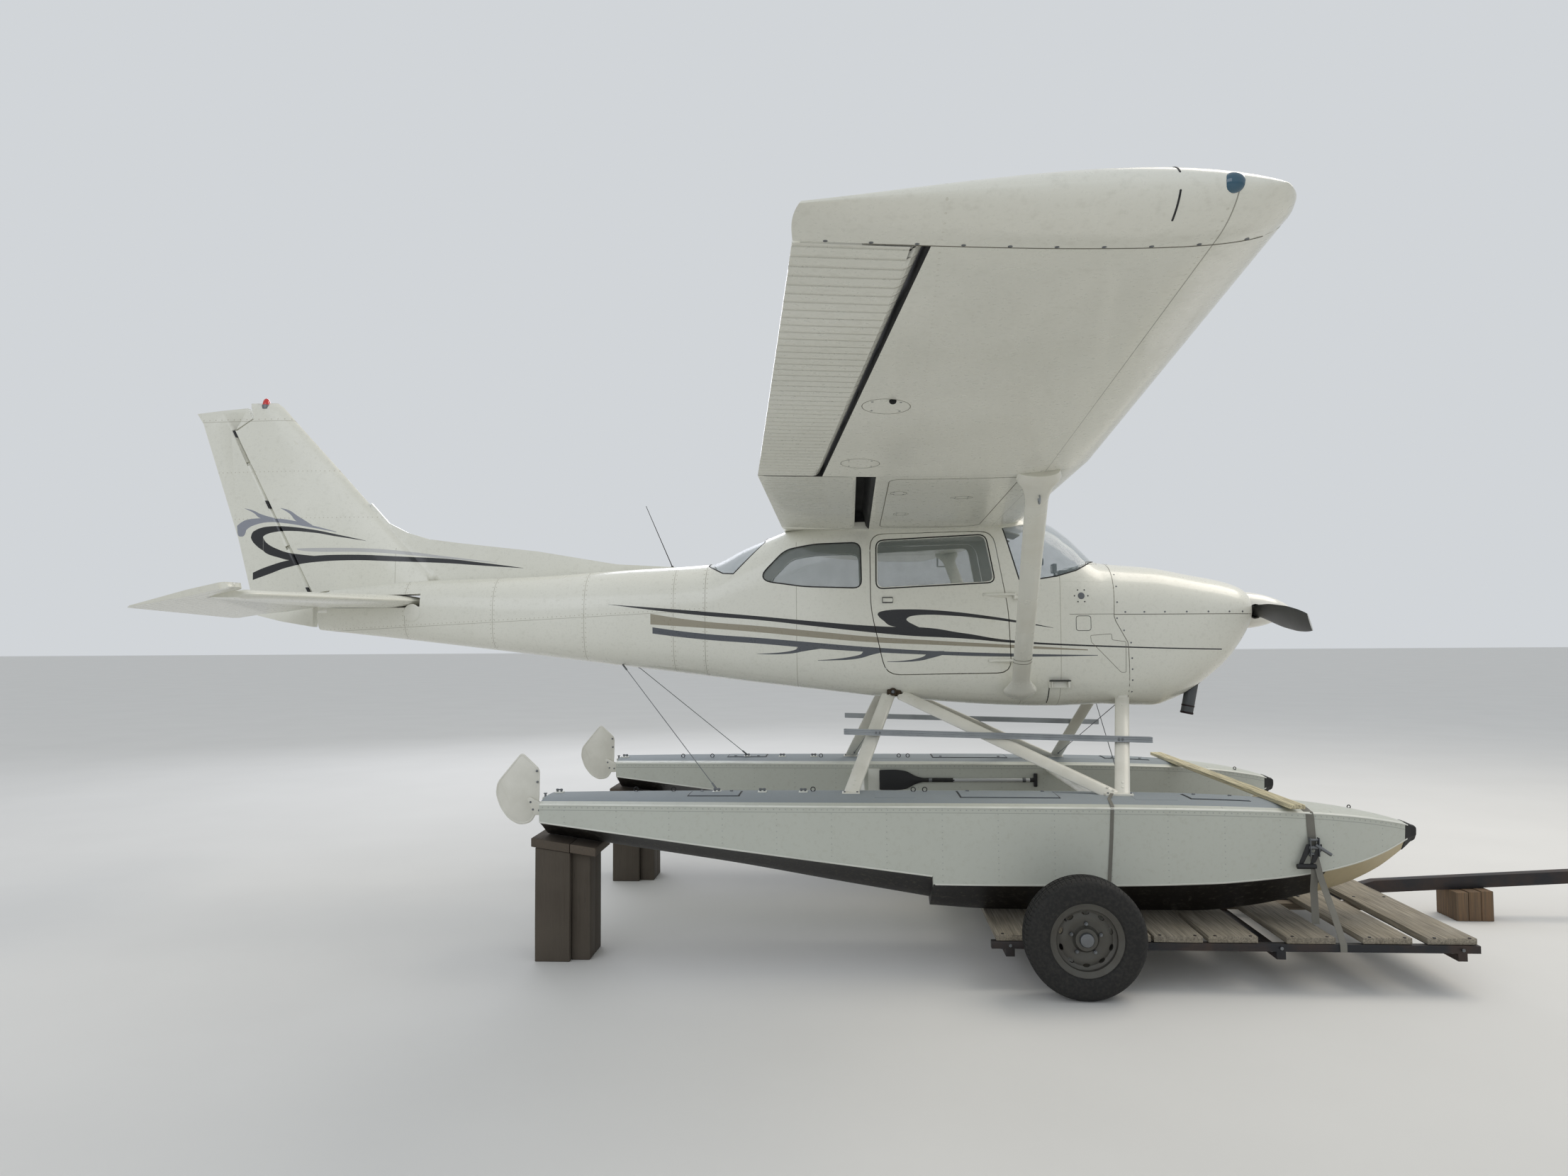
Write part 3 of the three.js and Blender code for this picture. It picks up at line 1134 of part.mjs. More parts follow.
addNode('cowl_upper', cowlUpper, finish.cream);
addNode('cowl_lower', cowlLower, finish.cream);
addNode('engine', engineSolid(), finish.engine);
addNode('firewall', firewall, finish.cream);
addNode('cabin_floor', cabinFloor, finish.cream);
addPair('cabin_side', cabinSideLeft, finish.cream);
addNode('cabin_roof', cabinRoof, finish.cream);
addNode('tailcone', tailcone.subtract(stabSlot), finish.cream);
addNode('windshield', windshield, finish.glass);
addNode('rear_window', rearWindow, finish.glass);
addPair('side_window', sideWindow, finish.glass);
addPair('door', doorLeft, finish.cream);
addPair('door_window', doorWindow, finish.glass);
addNode('instrument_panel', instrumentSolid(), finish.black);
addPair('seat_front', seatFront, finish.cloth);
addNode('seat_rear', seatRear, finish.cloth);
addPair('wing_strut', wingStrutSolid(), finish.cream);
addNode('fin', finSolid(), finish.cream);
addNode('rudder', rudderSolid(), finish.cream);
addNode('stabiliser', stabiliser, finish.cream);
addNode('elevator', elevatorSolid(), finish.cream);
addNode('spinner', spinnerSolid(), finish.white);
addNode('propeller', propellerSolid(), finish.black);
addPair('float', floatSolid(), finish.floatGrey);
addPair('float_truss', trussLeft, finish.white);
addNode('spreader_front', spreaderSolid(1600, 930), finish.white);
addNode('spreader_rear', spreaderSolid(60, 930), finish.white);
addPair('boarding_rail', railSolid(), finish.alloy);
addPair('water_rudder', waterRudderSolid(), finish.floatGrey);
addNode('paddle', paddleSolid(), finish.black);
addNode('dolly_deck', deckSolid(), finish.timber);
addNode('dolly_frame', frameSolid(), finish.steel);
addPair('dolly_rim', rimPort, finish.rim);
addPair('dolly_tyre', tyrePort, finish.rubber);
addPair('stern_block', sternBlockSolid(), finish.timber);
addNode('tongue_block', tongueBlockSolid(), finish.timber);
addNode('crossboard', crossboardSolid(), finish.white);

export default aircraft;
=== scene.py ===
# A four-seat high-wing light aircraft on twin floats, standing on its plank dolly.
from bisect import bisect_right
from functools import partial
from math import ceil, copysign, cos, exp, hypot, pi, radians, sin, sqrt, tau

import bpy
import bmesh
from mathutils import Matrix, Vector, noise


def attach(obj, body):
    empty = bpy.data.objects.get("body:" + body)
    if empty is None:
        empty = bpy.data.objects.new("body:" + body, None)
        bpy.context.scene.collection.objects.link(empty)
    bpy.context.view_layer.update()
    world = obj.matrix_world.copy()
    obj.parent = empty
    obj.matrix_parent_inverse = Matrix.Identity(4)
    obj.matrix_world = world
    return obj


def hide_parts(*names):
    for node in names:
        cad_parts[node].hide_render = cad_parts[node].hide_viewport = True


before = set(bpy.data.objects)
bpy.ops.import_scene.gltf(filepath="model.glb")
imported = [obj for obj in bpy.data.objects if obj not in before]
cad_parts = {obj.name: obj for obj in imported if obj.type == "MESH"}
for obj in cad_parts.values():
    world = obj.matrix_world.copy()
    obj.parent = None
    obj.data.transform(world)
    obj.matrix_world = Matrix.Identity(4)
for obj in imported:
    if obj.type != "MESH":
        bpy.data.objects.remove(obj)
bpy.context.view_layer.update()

# Stations are in millimetres from the point below the middle of the door, as the aircraft's drawings count
# them. The frame's own origin lies ahead of that point.
stationShift = 546


def at(x, y, z):
    return Vector(((x - stationShift) / 1000, y / 1000, z / 1000))


def station(point):
    return point.x * 1000 + stationShift, point.y * 1000, point.z * 1000


# A hex colour as a screen shows it, turned to the linear values that shaders use.
def paint(code, alpha=1.0):
    parts = [((code >> shift) & 255) / 255 for shift in (16, 8, 0)]
    return tuple(p / 12.92 if p <= 0.04045 else ((p + 0.055) / 1.055) ** 2.4 for p in parts) + (alpha,)


# Fills a node's inputs, by name or place, or in their order: a socket, or a node's first output, is linked and a
# value is set.
def feed(node, inputs):
    for socket, value in (inputs if isinstance(inputs, dict) else dict(enumerate(inputs))).items():
        if isinstance(value, bpy.types.Node):
            value = value.outputs[0]
        if isinstance(value, bpy.types.NodeSocket):
            node.id_data.links.new(value, node.inputs[socket])
        else:
            node.inputs[socket].default_value = value
    return node


# Adds one shader node with its settings and its inputs.
def addNode(tree, kind, inputs=None, **settings):
    node = tree.nodes.new("ShaderNode" + kind)
    for name, value in settings.items():
        setattr(node, name, value)
    return feed(node, inputs or {})


# A new material, what adds nodes to it, its shader and the place on the object.
def newMaterial(name):
    material = bpy.data.materials.new(name)
    material.use_nodes = True
    material.node_tree.nodes.clear()
    add = partial(addNode, material.node_tree)
    shader = add("BsdfPrincipled")
    add("OutputMaterial", {0: shader})
    return material, add, shader, add("TexCoord").outputs["Object"]


# A smooth curve through a table's columns that never overshoots, read at any first value.
def smoothRows(rows):
    rows = sorted(rows)
    keys = [row[0] for row in rows]
    columns = list(zip(*rows))[1:]
    slopes = []
    for column in columns:
        steps = [(column[i + 1] - column[i]) / (keys[i + 1] - keys[i]) for i in range(len(keys) - 1)]
        tangents = [steps[0]]
        for i in range(1, len(steps)):
            a, b = steps[i - 1], steps[i]
            tangents.append(0 if a * b <= 0 else 2 * a * b / (a + b))
        tangents.append(steps[-1])
        slopes.append(tangents)

    def read(key):
        i = min(max(bisect_right(keys, key) - 1, 0), len(keys) - 2)
        gap = keys[i + 1] - keys[i]
        t = min(max((key - keys[i]) / gap, 0), 1)
        h0, h1 = 2 * t ** 3 - 3 * t ** 2 + 1, t ** 3 - 2 * t ** 2 + t
        h2, h3 = 3 * t ** 2 - 2 * t ** 3, t ** 3 - t ** 2
        return [h0 * c[i] + h1 * gap * s[i] + h2 * c[i + 1] + h3 * gap * s[i + 1] for c, s in zip(columns, slopes)]
    return read


def straightRows(rows):
    rows = sorted(rows)
    keys = [row[0] for row in rows]

    def read(key):
        i = min(max(bisect_right(keys, key) - 1, 0), len(keys) - 2)
        t = min(max((key - keys[i]) / (keys[i + 1] - keys[i]), 0), 1)
        return [a + (b - a) * t for a, b in zip(rows[i][1:], rows[i + 1][1:])]
    return read


airframe = "airframe"
bothSides = ((1, "left"), (-1, "right"))


# Puts a bmesh into an object at the origin and lets the bmesh go.
def asObject(name, bm):
    mesh = bpy.data.meshes.new(name)
    bm.to_mesh(mesh)
    bm.free()
    piece = bpy.data.objects.new(name, mesh)
    bpy.context.scene.collection.objects.link(piece)
    return piece, mesh


# The mesh that an object's modifiers give.
def shapedMesh(piece):
    return bpy.data.meshes.new_from_object(piece.evaluated_get(bpy.context.evaluated_depsgraph_get()))


# Turns a finished bmesh into a piece on its body, with its materials.
def finishPiece(name, bm, materials, body=airframe, sharp=30, replaces=None):
    piece, mesh = asObject(name, bm)
    for material in materials if isinstance(materials, (list, tuple)) else [materials]:
        mesh.materials.append(material)
    mesh.polygons.foreach_set("use_smooth", [True] * len(mesh.polygons))
    if sharp is not None:
        mesh.set_sharp_from_angle(angle=radians(sharp))
    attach(piece, body)
    if replaces:
        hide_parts(replaces)
    return piece


# A welded copy of a CAD node to work on.
def copyOfNode(node):
    bm = bmesh.new()
    bm.from_mesh(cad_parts[node].data)
    bmesh.ops.remove_doubles(bm, verts=bm.verts, dist=0.00002)
    return bm


# Cuts the edges that are longer than a piece of this shape needs; tooLong says so for one edge.
def refine(bm, tooLong, rounds=9):
    for _ in range(rounds):
        longEdges = [edge for edge in bm.edges if tooLong(edge)]
        if not longEdges:
            break
        bmesh.ops.subdivide_edges(bm, edges=longEdges, cuts=1)
        bmesh.ops.triangulate(bm, faces=[f for f in bm.faces if len(f.verts) > 3])


# Stores the true form's normals on the faces whose corners all lie on it.
def keepNormals(piece, onForm):
    mesh = piece.data
    corner = [v.vector.copy() for v in mesh.corner_normals]
    for polygon in mesh.polygons:
        found = [onForm.get(v) for v in polygon.vertices]
        if all(n is not None for n in found) and all(n.dot(polygon.normal) > 0.7 for n in found):
            for loop, n in zip(polygon.loop_indices, found):
                corner[loop] = n
    mesh.normals_split_custom_set(corner)


print("materials")

# The white the aircraft was sprayed is an old acrylic enamel on riveted sheet: creamy, glossy, a little
# wavy between the rivet rows, with road dust in its lower reflections.
enamel = {"cream": 0xE8E7DC, "shade": 0xDBDACD, "grime": 0xA09D8C, "roughness": 0.24, "waves": 0.0022}


# Colour and bump that all the sprayed sheet shares; returns the colour, the roughness and the bump.
def enamelCoat(add, place, cream=None, shade=None, waves=None, grimeLow=0.0, grimeHigh=0.35):
    broad = add("TexNoise", {"Vector": place, "Scale": 1.7, "Detail": 3.0})
    tone = add("Mix", {0: broad, 6: paint(shade or enamel["shade"]), 7: paint(cream or enamel["cream"])},
        data_type="RGBA")
    specks = add("TexNoise", {"Vector": place, "Scale": 34.0, "Detail": 6.0, "Roughness": 0.7})
    dirt = add("MapRange", (specks, 0.52, 0.86, grimeLow, grimeHigh))
    colour = add("Mix", {0: dirt, 6: tone.outputs[2], 7: paint(enamel["grime"])}, data_type="RGBA")
    rough = add("MapRange", (specks, 0.3, 0.8, enamel["roughness"], enamel["roughness"] + 0.16))
    wavy = add("TexNoise", {"Vector": place, "Scale": 2.6, "Detail": 1.5})
    bump = add("Bump", {"Height": wavy, "Strength": 0.5, "Distance": waves or enamel["waves"]})
    return colour.outputs[2], rough, bump


# One where a value is within half a width of a line.
def lineMask(add, value, centre, halfWidth):
    return add("Math", (value, centre, halfWidth), operation="COMPARE")


def joinMasks(add, masks):
    total = masks[0]
    for mask in masks[1:]:
        total = add("Math", (total, mask), operation="MAXIMUM")
    return total


def bothMasks(add, first, second):
    return add("Math", (first, second), operation="MULTIPLY")


def betweenMask(add, value, low, high):
    centre, half = (low + high) / 2, (high - low) / 2
    return add("Math", (value, centre, half), operation="COMPARE")


# A sprayed stripe: rows of station x, upper z and lower z, in millimetres.
def stripeMask(add, x, z, rows):
    first, last = rows[0][0], rows[-1][0]
    low = min(row[2] for row in rows) - 4
    high = max(row[1] for row in rows) + 4
    start, end = at(first, 0, 0).x, at(last, 0, 0).x
    along = add("MapRange", (x, start, end))
    height = add("MapRange", (z, low / 1000, high / 1000), clamp=False)
    sides = []
    for column, operation in ((1, "LESS_THAN"), (2, "GREATER_THAN")):
        curve = add("FloatCurve", {"Value": along})
        points = curve.mapping.curves[0].points
        spots = [((row[0] - first) / (last - first), (row[column] - low) / (high - low)) for row in rows]
        points[0].location, points[1].location = spots[0], spots[-1]
        for spot in spots[1:-1]:
            points.new(*spot)
        curve.mapping.update()
        sides.append(add("Math", (height, curve), operation=operation))
    inside = betweenMask(add, x, start, end)
    return bothMasks(add, inside, bothMasks(add, *sides))


livery = {
    "black": 0x0C0E13, "tan": 0x99927F, "grey": 0x50545A, "finGreyTone": 0x8C8F99, "light": 0xBDBDBC,
    "blackStripe": [
        [-1716, 2241, 2240], [-984, 2179, 2150], [-622, 2145, 2118], [-266, 2109, 2076], [153, 2072, 2027],
        [300, 2064, 2012], [429, 2063, 2001], [772, 2019, 1981], [1130, 1964, 1948], [1736, 1927, 1917],
        [2552, 1900, 1892]],
    "hook": [
        [199, 2150, 2150], [209, 2164, 2133], [240, 2174, 2106], [300, 2181, 2068], [395, 2183, 2057],
        [516, 2180, 2039], [687, 2167, 2006], [944, 2134, 1970], [1131, 2103, 1955], [1389, 2050, 2048]],
    "hookHole": [
        [395, 2114, 2114], [409, 2128, 2098], [430, 2136, 2086], [516, 2144, 2049], [687, 2138, 2013],
        [944, 2113, 1984], [1131, 2088, 1965], [1389, 2048, 1943]],
    "tanStripe": [
        [-1406, 2171, 2095], [-985, 2109, 2064], [-622, 2077, 2033], [-266, 2041, 1997], [152, 1998, 1960],
        [600, 1967, 1938], [1113, 1935, 1914], [1621, 1901, 1894]],
    "greyStripe": [
        [-1391, 2075, 2030], [-985, 2023, 1982], [-623, 1994, 1954], [-267, 1962, 1922], [151, 1925, 1892],
        [599, 1896, 1870], [1129, 1876, 1855], [1688, 1863, 1859]],
    "thorns": [
        [[-639, 1885, 1883], [-533, 1888, 1879], [-427, 1898, 1882], [-365, 1913, 1889], [-330, 1948, 1896],
         [-268, 1948, 1906], [-180, 1939, 1918]],
        [[-214, 1838, 1835], [-92, 1846, 1836], [12, 1860, 1841], [82, 1877, 1851], [103, 1899, 1856],
         [151, 1911, 1871], [238, 1910, 1891]],
        [[262, 1827, 1824], [375, 1832, 1823], [478, 1849, 1830], [523, 1869, 1838], [533, 1892, 1841],
         [581, 1896, 1853], [650, 1896, 1872]]],
    "finBlack": [
        [[-4543, 2518, 2462], [-4403, 2570, 2508], [-4239, 2611, 2559], [-4034, 2640, 2592], [-3768, 2645, 2602],
         [-3407, 2629, 2590], [-3056, 2610, 2576], [-2753, 2575, 2553], [-2440, 2532, 2530]],
        [[-4560, 2787, 2787], [-4548, 2823, 2761], [-4521, 2843, 2730], [-4459, 2864, 2685]],
        [[-4460, 2864, 2790], [-4429, 2868, 2810], [-4367, 2871, 2825], [-4284, 2868, 2832], [-4078, 2843, 2819],
         [-3872, 2801, 2785], [-3643, 2750, 2748]],
        [[-4458, 2786, 2685], [-4426, 2741, 2661], [-4323, 2688, 2628], [-4256, 2667, 2611], [-4157, 2652, 2610],
         [-4034, 2638, 2592]]],
    "finGrey": [
        [[-4674, 2879, 2869], [-4657, 2893, 2798], [-4632, 2909, 2796], [-4595, 2924, 2848], [-4513, 2933, 2887],
         [-4409, 2932, 2902], [-4285, 2922, 2892], [-4079, 2875, 2857], [-3873, 2821, 2817]],
        [[-4612, 3013, 3011], [-4535, 2992, 2974], [-4482, 2967, 2935], [-4368, 2933, 2921]],
        [[-4318, 3009, 3007], [-4245, 2988, 2964], [-4182, 2947, 2901], [-4141, 2922, 2890], [-4062, 2873, 2861]]],
    "finLight": [[[-4183, 2696, 2690], [-4076, 2699, 2673], [-3666, 2692, 2664], [-3361, 2669, 2643],
                  [-3056, 2629, 2612], [-2640, 2575, 2573]]],
}


# Lays one colour over another where a mask is one.
def overColour(add, colour, mask, code, share=1.0):
    if share < 1:
        mask = add("Math", (mask, share), operation="MULTIPLY")
    return add("Mix", {0: mask, 6: colour, 7: paint(code)}, data_type="RGBA").outputs[2]


# A row of rivet heads: dots of a radius, a pitch apart along one coordinate, on a line of the other.
def rivetMask(add, along, across, centre, pitch=0.034, radius=0.0042):
    cell = add("Math", (along, pitch / 2), operation="PINGPONG")
    near = add("Math", (across, centre), operation="SUBTRACT")
    square = add("Math", (near, near), operation="MULTIPLY")
    total = add("Math", (cell, cell, square), operation="MULTIPLY_ADD")
    return add("Math", (total, radius ** 2), operation="LESS_THAN")


# Sheet-metal seams and rivet rows of the fuselage: stations in x, and lines along it in z.
bodySeams = {"frames": [-3290, -2600, -1900, -1240, -1010, -360, 1180, 1440], "seamColour": 0x8F8976,
    "rivetColour": 0xA9A28F, "halfWidth": 0.0022}


def bodyPaint(name, isFin=False):
    material, add, shader, place = newMaterial(name)
    x, y, z = add("SeparateXYZ", {0: place}).outputs
    colour, rough, bump = enamelCoat(add, place)
    if isFin:
        seams = [lineMask(add, z, 3.683, 0.002),
            bothMasks(add, lineMask(add, x, at(-3412, 0, 0).x, 0.002), betweenMask(add, z, 2.382, 2.693))]
        rivets = [bothMasks(add, rivetMask(add, x, z, level), betweenMask(add, x, -6, -3.7))
            for level in (2.93, 3.29)]
        rivets.append(rivetMask(add, x, z, 3.697, 0.05, 0.005))
    else:
        seams = [lineMask(add, x, at(s, 0, 0).x, bodySeams["halfWidth"]) for s in bodySeams["frames"]]
        seams = [bothMasks(add, joinMasks(add, seams), betweenMask(add, z, 1.4, 2.66))]
        slope = add("Math", (x, 0.0437, 2.2585), operation="MULTIPLY_ADD")
        aside = add("Math", (z, slope), operation="SUBTRACT")
        tailOnly = betweenMask(add, x, -4.6, at(-1010, 0, 0).x)
        seams.append(bothMasks(add, lineMask(add, aside, 0.0, 0.0018), tailOnly))
        rivets = [rivetMask(add, z, x, at(s + side, 0, 0).x) for s in bodySeams["frames"][:5] for side in (-13, 13)]
        rivets += [bothMasks(add, rivetMask(add, x, aside, 0.014), tailOnly)]
    colour = overColour(add, colour, joinMasks(add, rivets), bodySeams["rivetColour"], 0.55)
    colour = overColour(add, colour, joinMasks(add, seams), bodySeams["seamColour"], 0.6)
    if isFin:
        for key, code in (("finLight", "light"), ("finGrey", "finGreyTone"), ("finBlack", "black")):
            mask = joinMasks(add, [stripeMask(add, x, z, rows) for rows in livery[key]])
            colour = overColour(add, colour, mask, livery[code])
    else:
        side = add("Math", (y,), operation="ABSOLUTE")
        onSide = add("Math", (side, 0.12), operation="GREATER_THAN")
        colour = overColour(add, colour, bothMasks(add, onSide, stripeMask(add, x, z, livery["tanStripe"])),
            livery["tan"])
        greys = [stripeMask(add, x, z, rows) for rows in [livery["greyStripe"], *livery["thorns"]]]
        colour = overColour(add, colour, bothMasks(add, onSide, joinMasks(add, greys)), livery["grey"])
        hole = stripeMask(add, x, z, livery["hookHole"])
        hook = add("Math", (stripeMask(add, x, z, livery["hook"]), hole), operation="GREATER_THAN")
        blacks = joinMasks(add, [stripeMask(add, x, z, livery["blackStripe"]), hook])
        fin = [stripeMask(add, x, z, livery["finBlack"][0]), stripeMask(add, x, z, livery["finLight"][0])]
        colour = overColour(add, colour, bothMasks(add, onSide, blacks), livery["black"])
        colour = overColour(add, colour, fin[1], livery["light"])
        colour = overColour(add, colour, fin[0], livery["black"])
    feed(shader, {"Base Color": colour, "Roughness": rough, "Normal": bump, "Coat Weight": 0.35,
        "Coat Roughness": 0.08})
    return material


fuselagePaint = bodyPaint("EnamelledFuselage")
finPaint = bodyPaint("EnamelledFin", isFin=True)


# Wing enamel: rib and spar rivets, sheet seams, and beads pressed across the control surfaces.
def wingPaint(name, beads=0.0, beadFrom=None, tail=False):
    material, add, shader, place = newMaterial(name)
    x, y, z = add("SeparateXYZ", {0: place}).outputs
    colour, rough, bump = enamelCoat(add, place, waves=0.0035)
    across = add("Math", (y,), operation="ABSOLUTE")
    if beads:
        wave = add("Math", (across, beads / 2), operation="PINGPONG")
        height = add("MapRange", (wave, 0.0, beads * 0.19, 1.0, 0.0), interpolation_type="SMOOTHSTEP")
        if beadFrom is not None:
            behind = add("MapRange", (x, beadFrom - 0.02, beadFrom, 1.0, 0.0))
            height = bothMasks(add, height, behind)
        bump = add("Bump", {"Height": height, "Strength": 1.0, "Distance": 0.004, "Normal": bump})
        # The beads are also tinted darker along each bead, as painted shade.
        colour = overColour(add, colour, height, 0xB7B09C, 0.22)
    else:
        pitch = 0.381
        cell = add("Math", (across, pitch / 2), operation="PINGPONG")
        rivets = [rivetMask(add, x, cell, 0.0, 0.036, 0.003)]
        if not tail:
            rivets = []
            for ends in ((0.435, 0.336), (-0.2, -0.3)):
                line = add("MapRange", (across, 2.54, 5.3, ends[0], ends[1]))
                front = add("Math", (x, line), operation="SUBTRACT")
                rivets.append(rivetMask(add, across, front, -0.013, 0.036, 0.0036))
                if ends[0] > 0:
                    seams = [lineMask(add, front, 0.0, 0.0016)]
            seams += [lineMask(add, across, centre, 0.002) for centre in (0.62, 2.542)]
            colour = overColour(add, colour, joinMasks(add, seams), 0x6E6A5C, 0.75)
        colour = overColour(add, colour, joinMasks(add, rivets), bodySeams["rivetColour"], 0.3)
    feed(shader, {"Base Color": colour, "Roughness": rough, "Normal": bump, "Coat Weight": 0.35,
        "Coat Roughness": 0.1})
    return material


wingEnamel = wingPaint("EnamelledWing")
aileronEnamel = wingPaint("BeadedAileron", beads=0.062)
flapEnamel = wingPaint("BeadedFlap", beads=0.062, beadFrom=-0.66)
tailEnamel = wingPaint("EnamelledTailplane", tail=True)
elevatorEnamel = wingPaint("BeadedElevator", beads=0.075, tail=True)


# Plain finishes that need only colour, roughness and a fine bump: grain is its size in millimetres.
def plainFinish(name, code, worn, roughness, metallic=0.0, grain=3, depth=0.0002, wornShare=0.3, coat=0.0,
        spread=0.12, patch=90.0, stretch=(1, 1, 1)):
    material, add, shader, place = newMaterial(name)
    scaled = add("Mapping", {"Vector": place, "Scale": stretch})
    fine = add("TexNoise", {"Vector": scaled, "Scale": 1000 / grain / 6, "Detail": 5.0, "Roughness": 0.65})
    broad = add("TexNoise", {"Vector": scaled, "Scale": 1000 / patch / 3, "Detail": 6.0, "Roughness": 0.6})
    share = add("MapRange", (broad, 0.42, 0.72, 0.0, wornShare))
    colour = overColour(add, paint(code), share, worn)
    rough = add("MapRange", (broad, 0.3, 0.7, max(roughness - spread / 2, 0.02), min(roughness + spread / 2, 1)))
    bump = add("Bump", {"Height": fine, "Strength": 0.6, "Distance": depth})
    feed(shader, {"Base Color": colour, "Roughness": rough, "Normal": bump, "Metallic": metallic,
        "Coat Weight": coat})
    return material


strutPaint = plainFinish("EnamelledStrut", 0xE4E3D8, 0xC9C2AE, 0.28, grain=4, coat=0.3)
legPaint = plainFinish("EnamelledFloatLeg", 0xDDDBD0, 0xB9B5A6, 0.34, grain=4, wornShare=0.45, coat=0.2)
cabinTrim = plainFinish("MouldedCabinTrim", 0xB7B2A6, 0x9F998B, 0.7, depth=0.0005)  # ABS lining, pebbled
darkPlastic = plainFinish("BlackABS", 0x191A1C, 0x2A2B2D, 0.55, grain=2.5, depth=0.0004)
sealRubber = plainFinish("WindowSealRubber", 0x1D1D1C, 0x34332F, 0.7, depth=0.0003)
bumperRubber = plainFinish("BowBumperRubber", 0x141414, 0x2E2D2B, 0.62, grain=4, depth=0.0006)
# Near-black painted shade for the wing's cove behind the spar and for the exhaust's bore; it also colours a small
# ball under each wing.
blackForShadeAndFittings = plainFinish("ShadedCove", 0x0E0F10, 0x1C1C1B, 0.8, grain=5)
polished = plainFinish("ChromedZinc", 0xC9CBCC, 0xA6A8A9, 0.14, metallic=1.0, grain=6, depth=0.00005)
alloy = plainFinish("MillAluminium", 0xA5A9AC, 0x83878B, 0.42, metallic=0.85, grain=1.5, wornShare=0.6)
anodised = plainFinish("AnodisedTube", 0xC6C8C9, 0xA7AAAC, 0.34, metallic=0.3, grain=2, depth=0.0001)
bronze = plainFinish("BronzeFitting", 0x3D3328, 0x5A4A36, 0.5, metallic=0.7, depth=0.0003, wornShare=0.4)
galvanised = plainFinish("ZincedFittings", 0x7E8184, 0x5E5F5F, 0.5, metallic=0.9, wornShare=0.6)
darkSteel = plainFinish("PaintedFrameSteel", 0x24262A, 0x5A4334, 0.55, metallic=0.3, depth=0.0005, wornShare=0.55)
rimSteel = plainFinish("WeatheredRimSteel", 0x55544F, 0x4C4640, 0.5, metallic=0.5, depth=0.0005, wornShare=0.55,
    patch=45)
burntPipe = plainFinish("BurntExhaust", 0x33282A, 0x2A211C, 0.62, metallic=0.7, depth=0.0005, wornShare=0.8)
engineMetal = plainFinish("CastEngineBlock", 0x5D6062, 0x35373A, 0.6, metallic=0.6, depth=0.001)
bladeBlack = plainFinish("MatteBladePaint", 0x15181A, 0x3A3D40, 0.42, wornShare=0.25)
bladeTip = plainFinish("BrightBladeEdge", 0xD8D9D6, 0xB0B2B0, 0.35, metallic=0.2, depth=0.0001)
spinnerPaint = plainFinish("SpinnerEnamel", 0xEDEBE2, 0xD5D1C4, 0.2, grain=5, depth=0.0001, coat=0.5)
webbing = plainFinish("PolyesterWebbing", 0x77756D, 0x55534C, 0.85, grain=1.2, depth=0.0008, wornShare=0.5)
redLens = plainFinish("RedBeaconLens", 0xC8201A, 0x9C120E, 0.12, grain=8, depth=0.0001, coat=0.8)
greenLens = plainFinish("GreenTipLens", 0x1E4E63, 0x16384C, 0.1, grain=8, depth=0.0001, coat=0.8)
portLens = plainFinish("RedTipLens", 0x8E1A16, 0x6C100D, 0.1, grain=8, depth=0.0001, coat=0.8)

print("glass")


# Cast acrylic windows: a thin grey-green tint, with fine scratches from years of wiping.
def acrylic(name, code, alpha):
    material, add, shader, place = newMaterial(name)
    smears = add("TexNoise", {"Vector": place, "Scale": 11.0, "Detail": 6.0, "Roughness": 0.7})
    rough = add("MapRange", (smears, 0.45, 0.8, 0.03, 0.14))
    haze = add("MapRange", (smears, 0.4, 0.85, alpha, alpha + 0.1))
    feed(shader, {"Base Color": paint(code), "Roughness": rough, "Alpha": haze, "IOR": 1.49, "Coat Weight": 0.4})
    material.surface_render_method = "BLENDED"
    return material


windowAcrylic = acrylic("TintedAcrylic", 0x8F9A96, 0.26)
screenAcrylic = acrylic("ClearAcrylic", 0xA7B4B8, 0.2)

print("fuselage")

# Columns: station, half width, bottom z, widest z, top z, and how square the section is below and above.
bodyRows = [
    [2812, 262, 2060, 2166, 2300, 2.1, 2.1], [2784, 326, 1998, 2160, 2328, 2.2, 2.2],
    [2725, 378, 1893, 2152, 2356, 2.3, 2.3], [2640, 416, 1787, 2142, 2382, 2.5, 2.4],
    [2540, 440, 1700, 2134, 2404, 2.7, 2.5], [2400, 462, 1601, 2127, 2430, 3.0, 2.6],
    [2260, 476, 1534, 2122, 2460, 3.3, 2.65], [2134, 488, 1499, 2120, 2482, 3.6, 2.7],
    [1860, 507, 1508, 2120, 2507, 4.6, 2.7], [1754, 514, 1514, 2140, 2524, 4.9, 2.5],
    [1660, 520, 1510, 2170, 2622, 5.0, 2.2], [1560, 526, 1507, 2210, 2722, 5.0, 2.2],
    [1439, 533, 1502, 2235, 2806, 5.0, 2.4], [1300, 538, 1502, 2255, 2852, 5.0, 2.9],
    [1130, 542, 1507, 2270, 2885, 5.0, 3.8], [900, 545, 1518, 2285, 2925, 5.0, 5.0],
    [500, 545, 1548, 2300, 2935, 5.0, 6.0], [100, 536, 1584, 2310, 2905, 5.0, 6.0],
    [-250, 508, 1624, 2310, 2835, 4.8, 5.0], [-495, 480, 1652, 2290, 2745, 4.5, 3.8],
    [-750, 450, 1682, 2250, 2648, 4.2, 3.1], [-1007, 420, 1716, 2200, 2538, 4.0, 2.7],
    [-1700, 346, 1800, 2170, 2502, 3.5, 2.5], [-2300, 270, 1876, 2165, 2466, 3.1, 2.4],
    [-3300, 160, 1997, 2235, 2440, 2.7, 2.2], [-4000, 78, 2076, 2235, 2386, 2.5, 2.2],
]
bodySmooth, bodyStraight = smoothRows(bodyRows), straightRows(bodyRows)
bodyCache = {}


